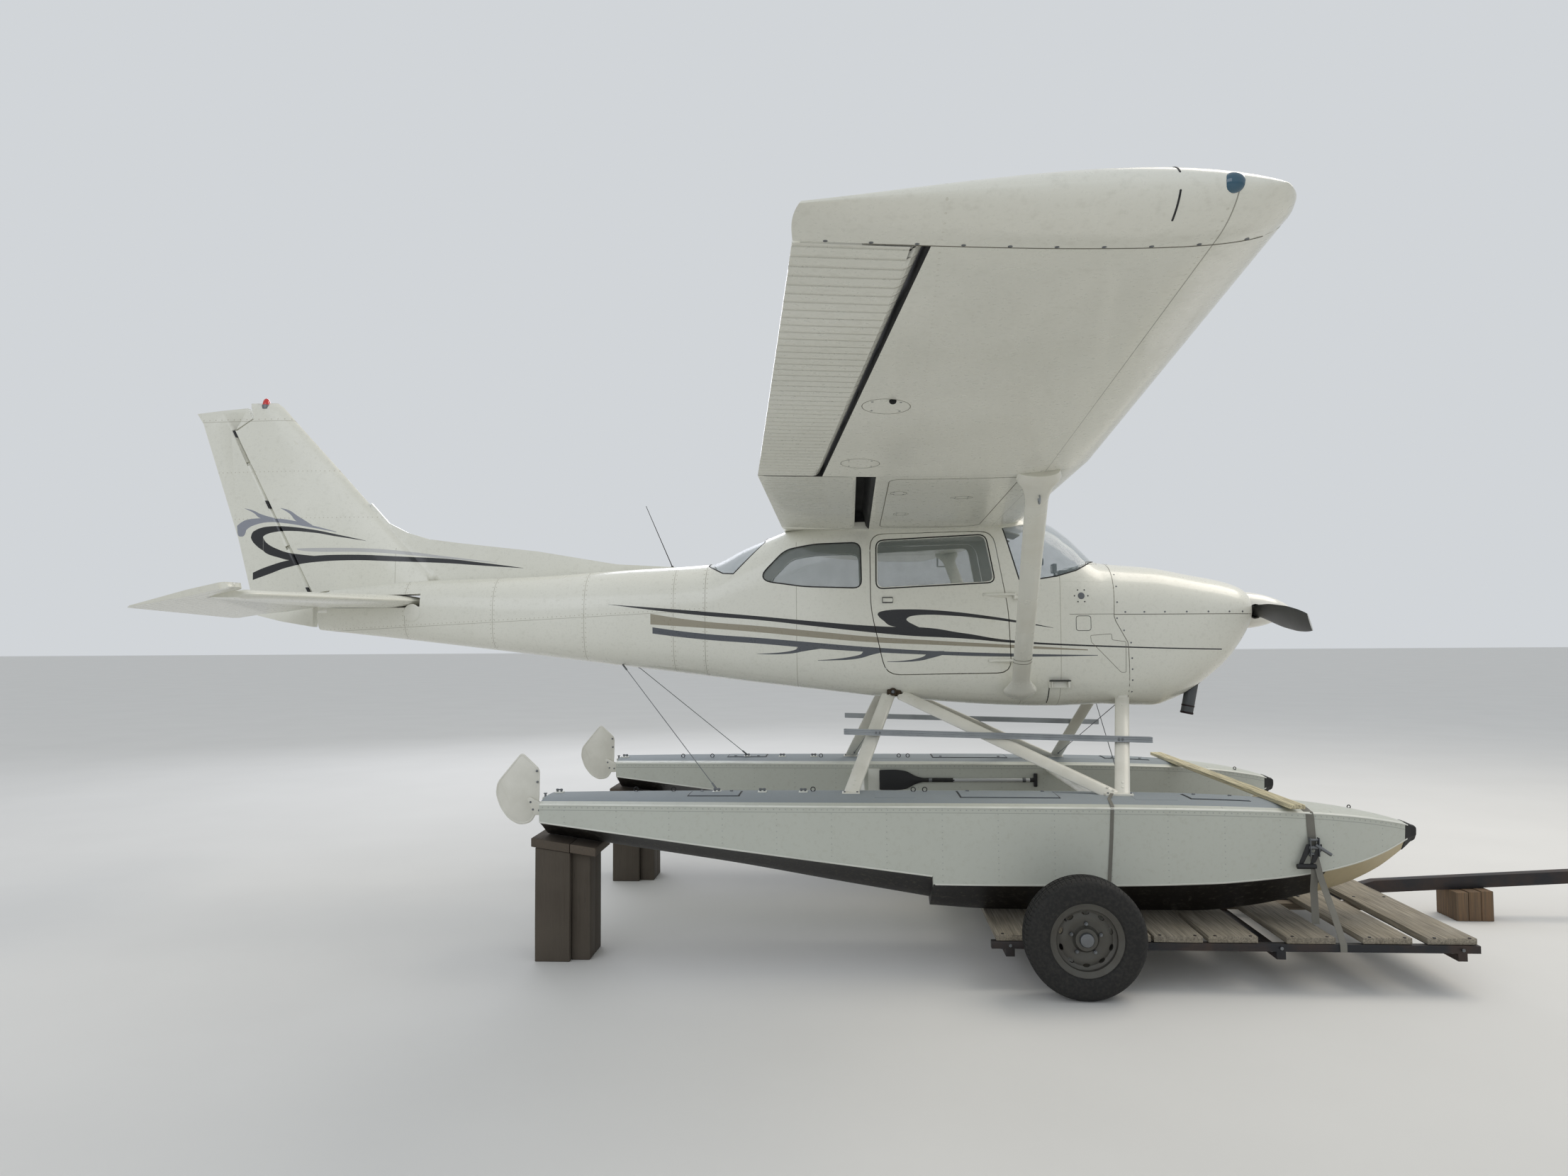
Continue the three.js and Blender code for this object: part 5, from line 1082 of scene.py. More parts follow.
shaft = {"z": 2171, "backX": 2825, "bladeX": 2889, "bladeR": 1016, "hubX": 2937, "hubR": 60, "dip": 0.1}
bladeRow = smoothRows([[56, 74, 52, 46], [190, 122, 44, 30], [330, 158, 36, 22], [520, 184, 30, 16],
    [700, 182, 25, 13], [860, 160, 21, 10], [960, 134, 19, 8], [1016, 112, 18, 6]])


def bladeRings(side):
    rings = []
    for k in range(46):
        radius = 56 + (shaft["bladeR"] - 56) * (1 - (1 - k / 45) ** 1.35)
        chord, pitch, thick = bladeRow(radius)
        angle = radians(pitch)
        ring = []
        for turn in turns(36):
            reach = cos(turn) * chord / 2
            across = sin(turn) * thick / 2 * (1 + 0.35 * cos(turn))
            dx = reach * sin(angle) + across * cos(angle)
            dz = reach * cos(angle) - across * sin(angle)
            ring.append(at(shaft["bladeX"] + dx, side * radius, shaft["z"] + side * dz))
        rings.append(ring)
    return rings


bm = bmesh.new()
for side in (1, -1):
    addTo(bm, loftSkin(bladeRings(side)))
for face in bm.faces:
    face.material_index = 1 if abs(face.calc_center_median().y) > 1.01 else 0
pin(bm, (shaft["backX"] + 4, 0, shaft["z"]), "X", shaft["hubX"], shaft["hubR"], 48, ease=3)
bmesh.ops.rotate(bm, verts=bm.verts, cent=at(2852, 0, shaft["z"]), matrix=Matrix.Rotation(shaft["dip"], 3, "X"))
finishPiece("propellerBlades", bm, [bladeBlack, bladeTip], body="propeller",
    replaces="propeller")

spinnerSquares = smoothRows([[0, 131 ** 2], [24, 131 ** 2], [115, 120 ** 2], [221, 90 ** 2], [311, 47 ** 2],
    [350, 0]])
bm = copyOfNode("spinner")
refine(bm, lambda e: (e.verts[0].co - e.verts[1].co).length > 0.016, rounds=6)
for v in bm.verts:
    x, y, z = station(v.co)
    radius = hypot(y, z - shaft["z"])
    true = sqrt(max(spinnerSquares(x - shaft["backX"])[0], 0))
    if x > shaft["backX"] + 1 and radius > true - 14 and radius > 2:
        v.co = at(x, y * true / radius, shaft["z"] + (z - shaft["z"]) * true / radius)
finishPiece("spinnerShell", bm, spinnerPaint, body="propeller", sharp=28, replaces="spinner")

print("dolly")

# Spruce planks left out for years: silver grey with brown heart, split along the grain, dark at nails and ends.
timber = {"pale": 0xA8A296, "brown": 0x8B8069, "dark": 0x544D43, "grain": 9.0}


def weatheredTimber(name, grainAlong, pale=None, brown=None):
    material, add, shader, place = newMaterial(name)
    tight, loose = 1000 / timber["grain"], 3.2
    scale = [tight, tight, tight]
    scale["XYZ".index(grainAlong)] = loose
    tone = add("Attribute", attribute_name="boardTone").outputs["Fac"]
    scaled = add("Mapping", {"Vector": place, "Scale": scale})
    fibres = add("TexNoise", {"Vector": scaled, "W": tone, "Scale": 1.0, "Detail": 7.0, "Roughness": 0.62,
        "Distortion": 0.35}, noise_dimensions="4D")
    broad = add("TexNoise", {"Vector": place, "W": tone, "Scale": 4.2, "Detail": 4.0}, noise_dimensions="4D")
    base = add("Mix", {0: broad, 6: paint(brown or timber["brown"]), 7: paint(pale or timber["pale"])},
        data_type="RGBA")
    lines = add("MapRange", (fibres, 0.36, 0.62, 0.75, 0.0))
    colour = overColour(add, base.outputs[2], lines, timber["dark"])
    # The splits are painted near-black, as painted shade inside the cracks.
    splits = add("MapRange", (fibres, 0.27, 0.33, 1.0, 0.0))
    colour = overColour(add, colour, splits, 0x241F1A)
    toned = add("MapRange", (tone, 0.0, 1.0, 0.72, 1.12))
    bright = add("VectorMath", {0: colour, 3: toned}, operation="SCALE")
    bump = add("Bump", {"Height": fibres, "Strength": 0.9, "Distance": 0.003})
    feed(shader, {"Base Color": bright, "Normal": bump, "Roughness": 0.86})
    return material


plankWood = weatheredTimber("WeatheredSprucePlank", "Y")
beamWood = weatheredTimber("WeatheredBeam", "X", pale=0x8C8271, brown=0x6A5B49)
postWood = weatheredTimber("TarredTimberPost", "Z", pale=0x5E564B, brown=0x40372E)
capWood = weatheredTimber("TarredTimberCap", "Y", pale=0x6A5F52, brown=0x4C4137)
blockWood = weatheredTimber("SplitTimberBlock", "Z", pale=0x8F7558, brown=0x6B4F38)
rawWood = weatheredTimber("RawPineBoard", "Y", pale=0xE4DCBC, brown=0xD6CAA2)


# One sawn board between two corners, worn a little out of true, with its own tone.
def board(bm, low, high, tone, warp=2.5, ease=3.0, index=0, cuts=14, along="Y"):
    fresh = easedBox(low, high, ease)
    axis = "XYZ".index(along)
    length = (high[axis] - low[axis]) / 1000
    longOnes = [e for e in fresh.edges if abs((e.verts[0].co - e.verts[1].co)[axis]) > length * 0.5]
    bmesh.ops.subdivide_edges(fresh, edges=longOnes, cuts=cuts, use_grid_fill=True)
    for v in fresh.verts:
        drift = noise.noise_vector(Vector((v.co.x * 3, v.co.y * 1.3, tone * 40 + v.co.z * 3)))
        move = drift * warp / 1000
        move[axis] = 0
        v.co += move
    layer = fresh.verts.layers.float.new("boardTone")
    for v in fresh.verts:
        v[layer] = tone
    return addTo(bm, fresh, index)


dolly = {"half": 1676, "top": 300, "thick": 38, "planks": [[820, 1095, 0.42], [1150, 1420, 0.2], [1560, 1690, 0.66],
    [1700, 1975, 0.35], [2005, 2280, 0.55], [2430, 2700, 0.3], [2850, 3120, 0.75], [3200, 3470, 0.92]]}
bm = bmesh.new()
bm.verts.layers.float.new("boardTone")
for rear, front, tone in dolly["planks"]:
    inset = 1.5
    board(bm, (rear + inset, -dolly["half"] + tone * 22, dolly["top"] - dolly["thick"] + 1.5),
        (front - inset, dolly["half"] - (1 - tone) * 20, dolly["top"] - 1.6), tone, warp=1.4)
for side in (-1, 1):
    board(bm, (800, side * 700 - 45, 222), (3440, side * 700 + 45, 262.5), 0.5, warp=1.0, index=1, along="X")
finishPiece("plankDeck", bm, [plankWood, beamWood], sharp=40, replaces="dolly_deck")

bm = bmesh.new()
for rear, front, tone in dolly["planks"]:
    for y in (-1650, -700, 700, 1650):
        for x in (rear + 40, front - 40):
            pin(bm, (x, y, dolly["top"] - 3), "Z", dolly["top"] + 1.8, 9, 12, ease=1)
finishPiece("plankNails", bm, darkSteel)

# Wheels: a fifteen-inch steel rim with hand holes, and a worn road tyre.
wheel = {"x": 1283, "y": 1822, "z": 332, "holes": 10, "holeR": 128}
tyreHalf = [
    (332, 4), (324, 5.5), (324, 12.5), (332, 14), (331.9, 32), (324, 33.5), (324, 40.5), (331.8, 42), (331.6, 50),
    (331, 56), (328, 66), (321, 78), (312, 88), (300, 94), (284, 97), (268, 99.5), (250, 101), (228, 100.4),
    (214, 97), (206, 92), (200, 82), (199.3, 72)]
tyreProfile = [(radius, -along) for radius, along in reversed(tyreHalf)] + tyreHalf[:16]
tyreProfile += [(262, 101.6), (256, 100)] + tyreHalf[16:] + [(199.3, -72)]  # one moulded rib round the outer wall
rimProfile = [
    (24, 10), (46, 14), (66, 20), (96, 25), (110, 34), (122, 34), (146, 24), (164, 26), (167, 20), (168, -40),
    (168, -78), (186, -80), (198, -84), (203.4, -86), (203, -83), (200.9, -78), (190, -72), (177, -68), (174, -20),
    (178, 50), (178, 62), (190, 70), (200, 76), (202.7, 84), (199, 84.6), (184, 78), (168, 74), (166, 60),
    (166, 52), (160, 46), (146, 40), (126, 46), (108, 46), (92, 40), (74, 38), (66, 46), (60, 62), (44, 64),
    (24, 62), (24, 10)]


# The rubber is old: grey brown from dust, with fine side ribs; the tread's cuts are painted near-black as painted
# shade.
def tyreRubberFinish():
    material, add, shader, place = newMaterial("DustyTyreRubber")
    moved = add("Mapping", {"Vector": place, "Location": (-at(wheel["x"], 0, 0).x, 0, -0.332)})
    x, y, z = add("SeparateXYZ", {0: moved}).outputs
    angle = add("Math", (z, x), operation="ARCTAN2")
    squares = add("Math", (x, x), operation="MULTIPLY")
    radius = add("Math", (z, z, squares), operation="MULTIPLY_ADD")
    radius = add("Math", (radius, 0.5), operation="POWER")
    cuts = add("Math", (angle, pi / 76), operation="PINGPONG")
    sipe = add("MapRange", (cuts, 0.006, 0.012))
    onTread = add("MapRange", (radius, 0.318, 0.323))
    slit = add("Math", (1.0, sipe), operation="SUBTRACT")
    sipeCutsAndShade = bothMasks(add, slit, onTread)
    ribs = add("Math", (radius, 0.0035), operation="PINGPONG")
    fine = add("TexNoise", {"Vector": place, "Scale": 60.0, "Detail": 6.0})
    dust = add("MapRange", (fine, 0.42, 0.75, 0.04, 0.3))
    colour = add("Mix", {0: dust, 6: paint(0x181818), 7: paint(0x4A4741)}, data_type="RGBA").outputs[2]
    # Painted shade: the sipes are darkened to near-black.
    colour = overColour(add, colour, sipeCutsAndShade, 0x0C0C0B)
    tall = add("Math", (sipeCutsAndShade, -1.0, 1.0), operation="MULTIPLY_ADD")
    first = add("Bump", {"Height": tall, "Strength": 1.0, "Distance": 0.006})
    second = add("Bump", {"Height": ribs, "Strength": 0.5, "Distance": 0.12, "Normal": first})
    feed(shader, {"Base Color": colour, "Normal": second, "Roughness": 0.82})
    return material


tyreRubber = tyreRubberFinish()


# Cuts one bmesh with another by Blender's exact Boolean, both taken as closed solids.
def cutWith(bm, tool, operation="DIFFERENCE"):
    pair = []
    for name, part in (("cutBase", bm), ("cutTool", tool)):
        pair.append(asObject(name, part)[0])
    cut = pair[0].modifiers.new("cut", "BOOLEAN")
    cut.object, cut.operation, cut.solver = pair[1], operation, "EXACT"
    bpy.context.view_layer.update()
    shaped = shapedMesh(pair[0])
    result = bmesh.new()
    result.from_mesh(shaped)
    for piece in pair:
        mesh = piece.data
        bpy.data.objects.remove(piece)
        bpy.data.meshes.remove(mesh)
    bpy.data.meshes.remove(shaped)
    return result


def wheelPieces(side):
    body = f"dolly_wheel_{side}"
    centre = (wheel["x"], wheel["y"], wheel["z"])
    tyre = turned(tyreProfile, centre, "Y", steps=96)
    rim = turned(rimProfile, centre, "Y", steps=80)
    holes = bmesh.new()
    for k in range(wheel["holes"]):
        t = tau * (k + 0.5) / wheel["holes"]
        cx, cz = wheel["x"] + 142 * cos(t), wheel["z"] + 142 * sin(t)
        hole = bmesh.new()
        bmesh.ops.create_cone(hole, cap_ends=True, segments=24, radius1=0.0105, radius2=0.0105, depth=0.16)
        bmesh.ops.scale(hole, verts=hole.verts, vec=(1.9, 1, 1))
        turn = Matrix.Rotation(pi / 2, 4, "X")
        spin = Matrix.Rotation(pi / 2 - t, 4, "Y")
        bmesh.ops.transform(hole, matrix=Matrix.Translation(at(cx, wheel["y"] + 30, cz)) @ spin @ turn,
            verts=hole.verts)
        addTo(holes, hole)
    rim = cutWith(rim, holes)
    for k in range(5):
        t = tau * k / 5 + 0.3
        cx, cz = wheel["x"] + 84 * cos(t), wheel["z"] + 84 * sin(t)
        pin(rim, (cx, wheel["y"] + 36, cz), "Y", wheel["y"] + 54, 11, 6, 1, ease=1.5)
        pin(rim, (cx, wheel["y"] + 50, cz), "Y", wheel["y"] + 62, 6.5, 14, 1, ease=1)
    pin(rim, (wheel["x"], wheel["y"] + 52, wheel["z"]), "Y", wheel["y"] + 82, 44, 40, 1, ease=5, endRadius=37)
    rod(rim, (wheel["x"] - 118, wheel["y"] + 44, wheel["z"] + 112),
        (wheel["x"] - 112, wheel["y"] + 74, wheel["z"] + 106), 5, 12, 2)
    if side == "right":
        mirrorY(tyre)
        mirrorY(rim)
    finishPiece(f"roadTyre_{side}", tyre, tyreRubber, body=body, sharp=40,
        replaces=f"dolly_tyre_{side}")
    finishPiece(f"steelRim_{side}", rim, [rimSteel, galvanised, bumperRubber], body=body,
        sharp=32, replaces=f"dolly_rim_{side}")


for side in ("left", "right"):
    wheelPieces(side)

print("wing tips")

# The tip fairings swell round to the end; a nav light sits in each.
tip = {"span": 4752, "long": 187, "lens": (872, 0.93), "seamX": 753}


def tipHeight(t, x, upper):
    row = (1047 - 62 * t ** 3, 83 + 7 * t, -129 + 25 * t ** 3, 72 + 8 * t, 0.128 * max(1 - t ** 2.4, 0.0) ** 0.5)
    return foilHeight(row, min(max(x, row[2]), row[0]), upper), row


def tipPlace(t, x, upper, side):
    height, row = tipHeight(t, x, upper)
    return fromWing(min(max(x, row[2]), row[0]), tip["span"] + tip["long"] * t, height, side)


def wingTip(side, name):
    rings = []
    for k in range(21):
        t = min(1 - (1 - k / 20) ** 2.2, 0.9995)
        row = tipHeight(t, 500, True)[1]
        ring = []
        for turn in turns(48):
            x = row[2] + (row[0] - row[2]) * (1 + cos(turn)) / 2
            ring.append(tipPlace(t, x, turn < pi, side))
        rings.append(ring)
    bm = loftSkin(rings)
    finishPiece(f"wingTip_{name}", bm, wingEnamel, sharp=38)
    bm = bmesh.new()
    x, t = tip["lens"]
    middle = (tipPlace(t, x, True, side) + tipPlace(t, x, False, side)) / 2
    ball(middle, (0.027, 0.021, 0.024), bm, 0)
    ball(tipPlace(0.9, x - 40, False, side) + Vector((0, 0, 0.016)), (0.009, 0.009, 0.009), bm, 1)
    path = [tipPlace(0.6 + 0.04 * k, tip["seamX"], True, side) for k in range(10)]
    path += [tipPlace(0.96 - 0.04 * k, tip["seamX"], False, side) for k in range(10)]
    inward = sum(path, Vector()) / len(path)
    bead(bm, path, [(p - inward).normalized() for p in path], 5, 1.6, closed=False, index=1)
    for k in range(10):
        spot = tipPlace(0.02, 960 - 112 * k, False, side)
        ball(spot, (0.006, 0.006, 0.0018), bm, 2)
    finishPiece(f"tipLight_{name}", bm, [portLens if side > 0 else greenLens, darkPlastic, galvanised])


# A small ball or dome, its half axes in metres.
def ball(centre, radii, bm, index=0, rounds=3):
    fresh = bmesh.new()
    bmesh.ops.create_icosphere(fresh, subdivisions=rounds, radius=1)
    bmesh.ops.scale(fresh, verts=fresh.verts, vec=radii)
    bmesh.ops.translate(fresh, verts=fresh.verts, vec=centre)
    return addTo(bm, fresh, index)


# Rounds the corners of an outline of x and z pairs.
def rounded(points, radius, steps=5):
    out = []
    for i, corner in enumerate(points):
        a, b, c = Vector(points[i - 1]), Vector(corner), Vector(points[(i + 1) % len(points)])
        start = b + (a - b).normalized() * min(radius, (a - b).length / 2)
        end = b + (c - b).normalized() * min(radius, (c - b).length / 2)
        for k in range(steps + 1):
            t = k / steps
            out.append(tuple(start * (1 - t) ** 2 + b * 2 * t * (1 - t) + end * t * t))
    return out


# Adds points along a line so that none are farther apart than a step.
def spaced(points, step, closed=True):
    out = []
    for i in range(len(points) if closed else len(points) - 1):
        a, b = Vector(points[i]), Vector(points[(i + 1) % len(points)])
        count = max(ceil((b - a).length / step), 1)
        out += [tuple(a.lerp(b, k / count)) for k in range(count)]
    return out if closed else out + [tuple(points[-1])]


# A raised bead along a path on a surface: how wide and how proud it is, in millimetres.
def bead(bm, path, outs, wide, proud, closed=True, index=0, sides=8, taper=None):
    rings = []
    for i, (place, out) in enumerate(zip(path, outs)):
        across = aheadOn(path, i, closed).cross(out).normalized()
        share = taper(i / (len(path) - 1)) if taper else 1
        rings.append([place + (across * cos(t) * wide / 2 + out * sin(t) * proud) * share / 1000
            for t in turns(sides)])
    if closed:
        rings.append(rings[0])
    return addTo(bm, loftSkin(rings, ends=not closed), index)


def ring(centre, radius, tube, axis, bm, index=0, steps=28):
    profile = [(radius + tube * cos(tau * k / 10), tube * sin(tau * k / 10)) for k in range(11)]
    return turned(profile, centre, axis, steps, bm, index)


for side, name in bothSides:
    wingTip(side, name)

print("seals and skin fittings")


def bodyPath(points, side, lift=0.0):
    path, outs = [], []
    for x, z in points:
        y = side * bodyHalf(x, z)
        out = bodyNormal(x, y, z, 0)
        path.append(at(x, y, z) + out * lift / 1000)
        outs.append(out)
    return path, outs


def bodyBead(bm, points, side, wide, proud, closed=True, index=0, step=22, taper=None):
    path, outs = bodyPath(spaced(points, step, closed), side)
    bead(bm, path, outs, wide, proud, closed, index, taper=taper)


# A line round the whole section, its station given for each height.
def bodyHoop(bm, stationOf, wide, proud, index=0, count=96):
    path, outs = [], []
    for turn in turns(count):
        z = 2120
        for _ in range(4):
            row = bodySmooth(stationOf(z))
            reach = 100 / bodyShare(row, 100 * cos(turn), row[2] + 100 * sin(turn), 0)
            z = row[2] + reach * sin(turn)
        x, y = stationOf(z), reach * cos(turn)
        path.append(at(x, y, z))
        outs.append(bodyNormal(x, y, z, 0))
    bead(bm, path, outs, wide, proud, True, index)


def skinDisc(bm, x, z, side, radius, proud, index=0, sides=24):
    y = side * bodyHalf(x, z)
    out = bodyNormal(x, y, z, 0)
    middle = Vector((x, y, z))
    rod(bm, middle - out * 2, middle + out * proud, radius, sides, index, ease=min(proud * 0.4, 1))


openings = {
    "side": [[92, 2332], [86, 2648], [-230, 2643], [-440, 2608], [-604, 2440], [-580, 2388], [-300, 2347]],
    "door": [[191, 2325], [1003, 2362], [941, 2693], [193, 2659]],
    "screen": [[1062, 2735], [1164, 2381], [1303, 2384], [1420, 2402], [1560, 2442], [1673, 2500], [1752, 2523]],
    "rear": [[-588, 2720], [-592, 2672], [-808, 2447], [-885, 2452], [-1004, 2512], [-1004, 2524], [-1004, 2532],
             [-1004, 2536]],
    "hatch": [[1545, 2029], [1645, 2029], [1645, 2129], [1545, 2129]],
    "floorAccess": [[1641, 1996], [1783, 2006], [1787, 1965], [1880, 1952], [1880, 1745], [1846, 1745],
     [1645, 1952]],
}
nose = {"split": 2138, "front": 2792, "fasteners": [1880, 2010, 2150, 2300, 2450, 2600, 2700],
    "seam": [[1818, 2500], [1811, 2330], [1803, 2112], [1895, 1945], [1901, 1840], [1907, 1690], [1911, 1530]],
    "slot": [[2330, 1582], [2370, 1608], [2430, 1644], [2494, 1670]]}


# A teardrop along the skin: pointed behind, round ahead.
def teardrop(share):
    return max((share / 0.8) ** 0.7 if share < 0.8 else sqrt(max(1 - ((share - 0.8) / 0.2) ** 2, 0)), 0.03)


def skinFittings(side, name):
    bm = bmesh.new()
    bodyBead(bm, rounded(openings["side"], 60), side, 9, 1.7)
    bodyBead(bm, openings["screen"], side, 9, 1.6, closed=False)
    bodyBead(bm, openings["rear"], side, 9, 1.6, closed=False)
    finishPiece(f"windowSeals_{name}", bm, sealRubber)

    bm = bmesh.new()
    bodyBead(bm, rounded(openings["door"], 52), side, 9, 2.4)
    finishPiece(f"doorSeal_{name}", bm, sealRubber, body=f"door_{name}")

    bm = bmesh.new()
    face = side * (bodyHalf(268, 2248) + 1)
    easedBox((232, face - side * 6, 2227), (304, face + side * 3, 2269), 2.6, 3, bm, 1)
    easedBox((238, face, 2236), (296, face + side * 12, 2259), 5, 4, bm)
    pin(bm, (296, face, 2248), "Y", face + side * 10, 9, 20, ease=2)
    finishPiece(f"doorHandle_{name}", bm, [polished, darkPlastic], body=f"door_{name}")

    bm = bmesh.new()
    bodyBead(bm, [[908, 2276], [1101, 2270]], side, 34, 9, closed=False, step=9, taper=teardrop)
    bodyBead(bm, [[1012, 1822], [1101, 1820]], side, 30, 8, closed=False, step=7, taper=teardrop)
    finishPiece(f"hingeCovers_{name}", bm, strutPaint, body=f"door_{name}")

    bm = bmesh.new()
    skinDisc(bm, 1583, 2266, side, 23, 2.4, 1)
    for k in range(6):
        skinDisc(bm, 1583 + 46 * cos(k * pi / 3), 2266 + 46 * sin(k * pi / 3), side, 5, 1, 2, 10)
    bodyBead(bm, rounded(openings["hatch"], 20), side, 4, 0.7, index=2)
    bodyBead(bm, rounded(openings["floorAccess"], 8), side, 3, 0.6, index=4)
    bodyBead(bm, [[1500, 2141], [1806, 2141]], side, 3, 0.6, closed=False, index=4)
    bodyBead(bm, [[1640, 2486], [1648, 2506], [1760, 2520], [1752, 2498]], side, 4, 0.8, index=4)
    skinDisc(bm, -3230, 2199, side, 64, 1.6, 0, 40)
    for x in nose["fasteners"]:
        skinDisc(bm, x, nose["split"] + 16, side, 6.5, 1.1, 1, 14)
    bodyBead(bm, [[1806, nose["split"]], [nose["front"], nose["split"]]], side, 4.5, 0.7, closed=False, index=4)
    if side < 0:
        bodyBead(bm, nose["slot"], side, 21, 1.6, closed=False, index=2, step=8,
            taper=lambda share: max(sin(pi * share) ** 0.6, 0.05))
    for x, z in spaced(nose["seam"], 120, closed=False):
        skinDisc(bm, x + 20, z, side, 6, 1.0, 1, 14)
    for x in range(300, 1700, 66):
        skinDisc(bm, x, 1700 - (x - 300) * 0.01, side, 3.2, 0.9, 0, 8)
    stepY = side * bodyHalf(1430, 1690)
    easedBox((1362, stepY - side * 4, 1686), (1500, stepY + side * 46, 1694), 2, 2, bm, 3)
    easedBox((1358, stepY - side * 5, 1640), (1504, stepY + side * 3, 1688), 2, 2, bm)
    for x in (1376, 1486):
        points = [(x - 4, 1690), (x + 4, 1690), (x + 3, 1644), (x - 3, 1644)]
        low, high = sorted((stepY, stepY + side * (30 if x < 1400 else 34)))
        outlineSlab(points, low, high, 1, bm, 0)
    bodyBead(bm, [[1364, 1686], [1362, 1600], [1360, 1535]], side, 7, 4, closed=False, index=3)
    finishPiece(f"skinFittings_{name}", bm, [strutPaint, galvanised, darkPlastic, sealRubber, bodyLine])


bodyLine = plainFinish("SeamShadow", 0x5F5B4E, 0x7A7566, 0.6, depth=0.0001, wornShare=0.5)
for side, name in bothSides:
    skinFittings(side, name)

bm = bmesh.new()
seamRow = straightRows([[z, x] for x, z in nose["seam"]])
bodyHoop(bm, lambda z: seamRow(z)[0], 4.5, 0.7)
finishPiece("cowlingSeam", bm, bodyLine)

bm = bmesh.new()
rod(bm, (-1308, 0, 2512), (-1312, 0, 2536), 15, 24, 1, ease=3, endRadius=8)
rod(bm, (-1311, 0, 2530), (-1509, 0, 2988), 3.6, 12, 1, ease=1, endRadius=2.2)
pin(bm, (-4463, 0, 3780), "Z", 3812, 33, 36, 2, ease=3)
ball(at(-4463, 0, 3812), (0.029, 0.029, 0.052), bm, 0, 4)
for z, tall in ((3586, 52), (3037, 60), (2352, 96)):
    x = rudderHingeX(z) + 22
    lean = 0.4976 * tall / 2
    half = finRows(z)[1] + 0.8
    outlineSlab([(x - lean - 9, z + tall / 2), (x - lean + 9, z + tall / 2), (x + lean + 9, z - tall / 2),
        (x + lean - 9, z - tall / 2)], -half * 0.9, half * 0.9, 0, bm, 1)
finishPiece("tailFittings", bm, [redLens, darkPlastic, galvanised])

# The exhaust's end: a rolled lip round the bore, which a near-black disc closes: soot, and painted shade inside the
# pipe.
bm = bmesh.new()
end, way = Vector((2366, -200, 1445)), Vector((-71, 0, -355)).normalized()
for start, stop, radius, index in ((end - way * 12, end + way * 1.5, 45, 0), (end, end + way * 2.6, 38.5, 1),
        (end - way * 60, end - way * 50, 44.4, 0)):
    rod(bm, start, stop, radius, 36, index, ease=1.2)
finishPiece("exhaustEnd", bm, [burntPipe, blackForShadeAndFittings])

print("wing fittings")


def onWing(x, span, side, upper=False, lift=0.0):
    return fromWing(x, span, wingHeight(span, x, upper) + (lift if upper else -lift), side)


def wingBead(bm, points, side, wide, proud, index=0, upper=False, closed=True):
    path = [onWing(x, span, side, upper) for x, span in spaced(points, 40, closed)]
    outs = [wingNormal(x, span, 0, upper, side) for x, span in spaced(points, 40, closed)]
    bead(bm, path, outs, wide, proud, closed, index, sides=6)


def wingRound(x, span, reachX, reachSpan):
    return [(x + reachX * cos(t), span + reachSpan * sin(t)) for t in turns(32)]


wingCovers = [(150, 3300, 92, 105), (62, 2300, 92, 100), (330, 720, 46, 60), (280, 1500, 46, 60),
    (640, 1330, 62, 40)]


def wingFittings(side, name):
    bm = bmesh.new()
    for x, span, reachX, reachSpan in wingCovers:
        wingBead(bm, wingRound(x, span, reachX, reachSpan), side, 3, 0.8, 1)
        for k in range(4):
            turn = tau * (k + 0.5) / 4
            ball(onWing(x + reachX * 0.82 * cos(turn), span + reachSpan * 0.82 * sin(turn), side),
                (0.005, 0.005, 0.0016), bm, 2)
    ball(onWing(172, 3390, side, lift=4), (0.014, 0.012, 0.012), bm, 0)
    wingBead(bm, rounded([[215, 110], [215, 1930], [880, 1930], [880, 110]], 90), side, 5, 1.3, 1)
    wingBead(bm, [(1000 - 6 * k, 4748) for k in range(0, 160)], side, 4, 1.1, 1, closed=False)
    wingBead(bm, [(1000 - 6 * k, 4748) for k in range(0, 160)], side, 4, 1.1, 1, upper=True, closed=False)
    cap = onWing(560, 330, side, upper=True)
    ball(cap, (0.048, 0.048, 0.007), bm, 3, 4)
    ball(cap + Vector((0, 0, 0.006)), (0.03, 0.007, 0.007), bm, 3)
    strutEnd = Vector(wingStrut["top"]).lerp(Vector(wingStrut["foot"]), 0.075)
    centre = (strutEnd.x + 6, side * (strutEnd.y + 20), strutEnd.z - 34)
    ring(centre, 21, 4.5, "X", bm, 3)
    for k, share in enumerate((0.205, 0.222)):
        place = Vector(wingStrut["foot"]).lerp(Vector(wingStrut["top"]), share)
        away = Vector(wingStrut["foot"]).lerp(Vector(wingStrut["top"]), share + 0.0016)
        start, stop = (place.x, side * place.y, place.z), (away.x, side * away.y, away.z)
        if side > 0:
            fairedTube(start, stop, 121, 47, bm=bm, index=1)
        else:
            fresh = fairedTube((start[0], -start[1], start[2]), (stop[0], -stop[1], stop[2]), 121, 47)
            addTo(bm, mirrorY(fresh), 1)
    if side > 0:
        mast = onWing(880, 2120, side)
        foot = mast - Vector((0, 0, 0.12))
        rod(bm, station(mast + Vector((0, 0, 0.01))), station(foot), 9, 16, 3, ease=2)
        rod(bm, station(foot), station(foot + Vector((0.16, 0, 0.002))), 6.5, 16, 3, ease=2)
    finishPiece(f"wingFittings_{name}", bm, [blackForShadeAndFittings, bodyLine, galvanised, alloy])


for side, name in bothSides:
    wingFittings(side, name)

print("float fittings")

crownShare = straightRows([[0, 1], [0.3, 0.96], [0.55, 0.85], [0.8, 0.45], [1, 0]])


# Height of a float's deck; across is measured from the float's own middle.
def deckHeight(x, across):
    beam, edgeZ, deckZ = (aftFloat if x <= 488 else foreFloat)(x)[:3]
    return edgeZ + (deckZ - edgeZ) * crownShare(min(abs(across) / beam, 1))[0]


